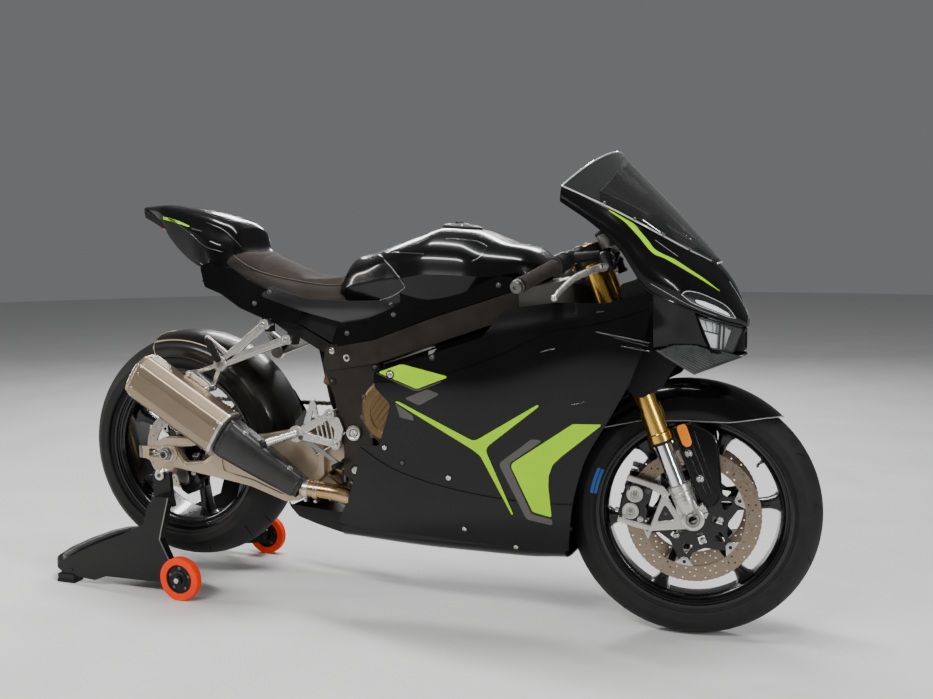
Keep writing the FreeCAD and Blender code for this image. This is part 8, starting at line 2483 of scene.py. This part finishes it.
# ------------------------------------------------------------------ kept nodes: materials and rounded edges
dress("engine_block", ENGINE, bevel=3.0)
dress("main_frame", FRAME, bevel=3.5, angle=28)
dress("subframe", SATIN, bevel=1.6)
dress("paddock_stand", STANDBLK, bevel=2.2, angle=30)
dress("side_stand", STANDBLK, bevel=1.6)
dress("side_stand_bracket", STANDBLK, bevel=1.0)

# frame bolts and engine mounts on the frame plates
fb = []
for s in (-1, 1):
    for (x, z, r) in ((560, 660, 9), (576, 374, 9), (516, 600, 5), (636, 640, 6)):
        fb.append((g_lathe([(0, 159), (r + 6, 159), (r + 6, 160.8), (r + 4.6, 161.8), (0, 161.8)], a3(x, 0, z), YY * s, 32), SATIN))
        fb.append((g_bolt(a3(x, s * 161.4, z), YY * s, r, 4.6, "socket" if r > 6 else "button"), STEEL if r > 6 else DARKSTEEL))
for u, v, y in ((332.5, 351, -161), (359.5, 356.5, -161)):
    p = on_y(u, v, y)
    for s in (-1, 1):
        fb.append((g_bolt(a3(p[0], s * 160.5, p[2]), YY * s, 7.4, 4.4, "socket", washer=10.5), STEEL))
piece("frame_bolts", fb, sharp=34)

# engine fasteners, sump bolts, hoses and their clamps seen behind the fairing's rear edge
ef = []
for s in (-1, 1):
    for (x, z) in ((668, 318), (740, 312), (820, 312), (896, 318), (914, 380), (896, 452), (720, 486), (666, 420)):
        ef.append((g_bolt(a3(x, s * 164.5, z), YY * s, 5.0, 4.0, "socket", washer=7.4), DARKSTEEL))
    for (x, z) in ((770, 560), (820, 640), (900, 700), (940, 640)):
        ef.append((g_bolt(a3(x, s * 117.5, z), YY * s, 5.6, 4.0, "hex", washer=8.0), DARKSTEEL))
hose = crom([a3(1002, -120, 612), a3(972, -124, 604), a3(940, -128, 560), a3(900, -130, 530), a3(860, -126, 512)], 8)
ef.append((g_tube(hose, 13.0, 20), SATIN))
hose = crom([a3(1004, 120, 340), a3(976, 128, 330), a3(948, 132, 352), a3(930, 130, 380)], 8)
ef.append((g_tube(hose, 13.0, 20), SATIN))
for o, d in ((a3(990, -121, 609), a3(1, 0, 0.1)), (a3(880, -128, 520), a3(0.9, 0, 0.4))):
    ef.append((g_lathe([(13, -4), (14.6, -4), (14.6, 4), (13, 4)], o, d, 28, closed=True), STEEL))
piece("engine_fittings", ef, sharp=34)

# ------------------------------------------------------------------ stand wheels: orange tyre on a dark hub
for s, nm in ((-1, "right"), (1, "left")):
    c = a3(83, 0, 58.5)
    ty = [(40, 213.6), (56, 213.0), (58, 214.4), (58.5, 217), (58.5, 231.5), (58, 234), (56, 235.4), (40, 235.2), (38.5, 233), (38.5, 216)]
    wl = [(g_lathe(ty, c, YY * s, 72, closed=True), ORANGE)]
    hub = [(8.1, 213.2), (20, 213.2), (22, 214.6), (22, 218), (36, 219.5), (38, 216), (39.6, 215), (39.6, 234), (38, 233), (36, 229.5), (22, 231), (22, 234), (20, 235.4), (8.1, 235.4)]
    wl.append((g_lathe(hub, c, YY * s, 56, closed=True), STANDBLK))
    for k in range(5):
        a = 2 * math.pi * k / 5 + 0.3
        for yy, sg in ((230.4, 1), (218.4, -1)):
            p = a3(83 + 29.5 * math.cos(a), s * yy, 58.5 + 29.5 * math.sin(a))
            wl.append((g_lathe([(0, -2), (4.4, -2), (4.4, 0.8), (3.6, 1.4), (0, 1.4)], p, YY * s * sg, 14), DARKSTEEL))
    # one moulding mark on the tyre's face shows that it turns
    mk = [rp((83, 0, 58.5), r_, 66 + q_) for r_, q_ in ((43, -3.4), (54, -2.8), (54, 2.8), (43, 3.4))]
    wl.append((g_plate(round_poly(mk, 1.6, 3), *ys(s, 234.4, 236.0), bev=0.5, seg=1), ORANGE))
    piece("stand_roller_" + nm, wl, "stand_wheel_" + nm, rep=("stand_wheel_" + nm,), sharp=34)
sb = []
for s in (-1, 1):
    sb.append((g_bolt(a3(83, s * 242.6, 58.5), YY * s, 8.0, 4.0, "hex"), STEEL))
    # rubber lining where the spool cup meets the plate
    sb.append((g_plate(round_poly([(-18.6, 312.4), (-18.6, 328), (-17.0, 328), (-17.0, 313.8), (1.0, 313.8), (1.0, 328), (2.6, 328), (2.6, 312.4)], 0.5, 1), *ys(s, 156.4, 169.6), bev=0.3, seg=1), ORANGE))
    # rubber shoe under the rear foot
    sb.append((g_prism(round_poly([(-342, 0.2), (-284, 0.2), (-284, 9), (-342, 9)], 2, 2), *ys(s, 168, 208), 1.2), SATIN))
    # pale alloy bead along the plate's front edge: a painted highlight of that edge
    fl_ = [(35.4, 268), (3.6, 152), (31.2, 98.6), (60.6, 93.6), (96, 75)]
    sb.append((g_tube([a3(x + 0.6, s * 203.0, z + 0.2) for x, z in resample(fl_, 6)], 1.7, 8), ALLOYDK))
piece("stand_fittings", sb, sharp=34)


# ------------------------------------------------------------------ covers between tank and frame, seams, inner cowl
cvo = round_poly([(512, 684), (640, 712), (800, 770), (935, 813), (1006, 836), (1006, 862), (940, 872), (860, 866), (790, 866), (726, 858), (706, 836), (708, 798), (602, 750), (560, 742), (530, 738)],
                 [6, 60, 60, 60, 6, 6, 60, 60, 60, 12, 12, 6, 14, 14, 10], 4)
cv = []
for s in (-1, 1):
    yf = lambda x, z: np.interp(x, [500, 640, 800, 935, 1010], [158, 167, 170.5, 165, 154]) - np.clip((z - np.interp(x, [512, 640, 800, 935, 1006], [694, 722, 780, 822, 843])) * 0.07, 0, 8)
    cv.append((shell_panel(cvo, yf, s, 2.6, 11.0), GLOSS))
    for x, z in ((560, 722), (690, 772), (960, 846)):
        cv.append((g_bolt(a3(x, s * float(yf(x, z)), z), YY * s, 4.4, 2.4, "button", washer=6.4), DARKSTEEL))
piece("tank_lower_cover", cv, sharp=34)

SEAMSM = plain("seam_gloss_edge", (0.012, 0.012, 0.012), (0.018, 0.018, 0.018), (0.12, 0.2), scale=40.0, coat=1.0, coat_rough=0.04)
sm_ = []
for line, r in (([(378.5, 253.6), (392, 252.6), (408, 252.8), (424, 253.8)], 1.5), ([(379, 254.5), (390, 266), (399, 278), (405, 287)], 1.3), ([(405, 287.4), (396, 294.5), (380, 300.5), (362, 303.5)], 1.3),
                ([(446, 238.8), (462, 239.4), (478, 242), (487, 246.5)], 1.4), ([(487, 246.5), (481, 256), (471, 262)], 1.3)):
    t_ = px_line(line, TANK_TREE, r, 0.0)
    sm_ += [(t_, SEAMSM), (mirror(t_), SEAMSM)]
piece("tank_seams", sm_, sharp=60)

# tail: two pressed lines along its side
tm = []
for line, r in (([(176, 222), (190, 233), (205, 246), (222, 252)], 1.3), ([(196, 259), (212, 272), (232, 284), (248, 292)], 1.3), ([(206, 222.5), (222, 229), (236, 241), (241, 247)], 1.3)):
    t_ = px_line(line, TAIL_TREE, r, 0.0)
    tm += [(t_, SEAMSM), (mirror(t_), SEAMSM)]
piece("tail_seams", tm, sharp=60)

# inner cowl panels under the nose, ahead of and below the levers' sweep
ixz = round_poly([(1252, 818), (1249, 850), (1288, 862), (1295, 880), (1297, 936), (1308, 903), (1322, 852), (1327, 815)], [6, 10, 8, 10, 3, 20, 10, 6], 4)
ic = []
for s in (-1, 1):
    ic.append((shell_panel(ixz, lambda x, z: 150.0 + 0.02 * (x - 1250), s, 3.0, 10.0), SATIN))
piece("inner_cowl_panels", ic, sharp=34)

# creases of the fairing's upper side
cr = []


def fair_bead(pts, r, off=0.0, n=8):
    c = crom(pts, 8)
    P = []
    for q in c:
        x, z = px_to_fairing(q)
        P.append((x, -(float(W(x, z)[0]) + off), z))
    P = np.array(P)
    P = P[np.r_[True, np.linalg.norm(np.diff(P, axis=0), axis=1) > 0.4]]
    return g_tube(P, r, n)


for line, r in (([(596, 332), (612, 335.5), (632, 339.5), (649, 343)], 1.5), ([(614, 337.5), (632, 342), (648, 346)], 1.2), ([(621, 346), (636, 349), (650, 351.5)], 1.6),
                ([(541, 352), (548, 350), (555, 348.6)], 1.4), ([(572, 404.5), (578, 404), (585, 401.5)], 1.3), ([(596, 312), (604, 311.4)], 1.4)):
    t_ = fair_bead(line, r)
    cr += [(t_, SEAMSM), (mirror(t_), SEAMSM)]
piece("fairing_creases", cr, sharp=60)

# inner duct panels between the fairing's front edge, the cheeks and the fork
dpx = [(634, 288), (652, 288), (668, 300), (668, 352), (678, 362), (661, 389), (641, 398.5), (628, 392), (622, 360)]
dxz = round_poly([on_y(u, v, -150.0)[[0, 2]] for u, v in dpx], [8, 8, 10, 10, 10, 12, 8, 8, 20], 4)
dp_ = []
for s in (-1, 1):
    dp_.append((shell_panel(dxz, lambda x, z: 150.0, s, 2.6, 11.0), SATIN))
piece("duct_side_panels", dp_, sharp=34)

# side panels of the tail, over the rear of the subframe
tpx = [(198, 266), (208, 262), (216, 266), (231, 268), (247, 279), (263, 287), (292, 297), (306, 312), (299, 324), (262, 317), (240, 308), (220, 294), (203, 287)]
txz = [on_y(u, v, -130.0)[[0, 2]] for u, v in tpx]
txz = round_poly(txz, [10, 8, 20, 10, 20, 20, 10, 14, 14, 20, 20, 20, 10], 4)
ts_ = []
for s in (-1, 1):
    yf = lambda x, z: np.interp(x, [60, 130, 211, 300, 420], [120, 123, 129, 138.5, 144])
    ts_.append((shell_panel(txz, yf, s, 2.6, 10.0), GLOSS))
    q = on_y(256, 303, -130.0)
    ts_.append((g_bolt(a3(q[0], s * float(yf(q[0], q[2])), q[2]), YY * s, 4.6, 2.4, "button", washer=6.6), DARKSTEEL))
piece("tail_side_panels", ts_, sharp=34)

# pale beads along the nose's edges: painted highlights of its edges
nl = []
for line, r in (([(650.5, 283.5), (668, 293.5), (686, 303.5), (702, 310.5), (717, 316)], 0.9), ([(655, 240), (666, 248), (678, 256.5)], 0.8), ([(729.5, 281.5), (738, 295), (746.5, 311), (748.8, 318)], 0.9)):
    t_ = px_line(line, COWL_TREE, r, 0.2)
    nl += [(t_, EDGE_HIGHLIGHT_LINE), (mirror(t_), EDGE_HIGHLIGHT_LINE)]
piece("nose_edge_highlights", nl, sharp=60)

# splash guard between the rear tyre and the shock
gp_ = crom([(424, 716), (440, 650), (452, 590), (464, 536), (480, 492)], 6)
rows = []
for x, z in gp_:
    rows.append([(x + 7.0 * (abs(y) / 84.0) ** 3, y, z) for y in np.linspace(-84, 84, 25)])
sg = [(clean(*g_skin(rows, 3.0)), SATIN)]
for y in (-56, -28, 0, 28, 56):
    sg.append((g_tube([(x - 2.0, y, z) for x, z in gp_[3:-3]], 2.4, 8), SATIN))
for y in (-70, 70):
    sg.append((g_bolt(a3(427, y, 703), a3(-1, 0, 0.2), 5.0, 3.0, "button", washer=8.0), DARKSTEEL))
piece("splash_guard", sg, sharp=36)
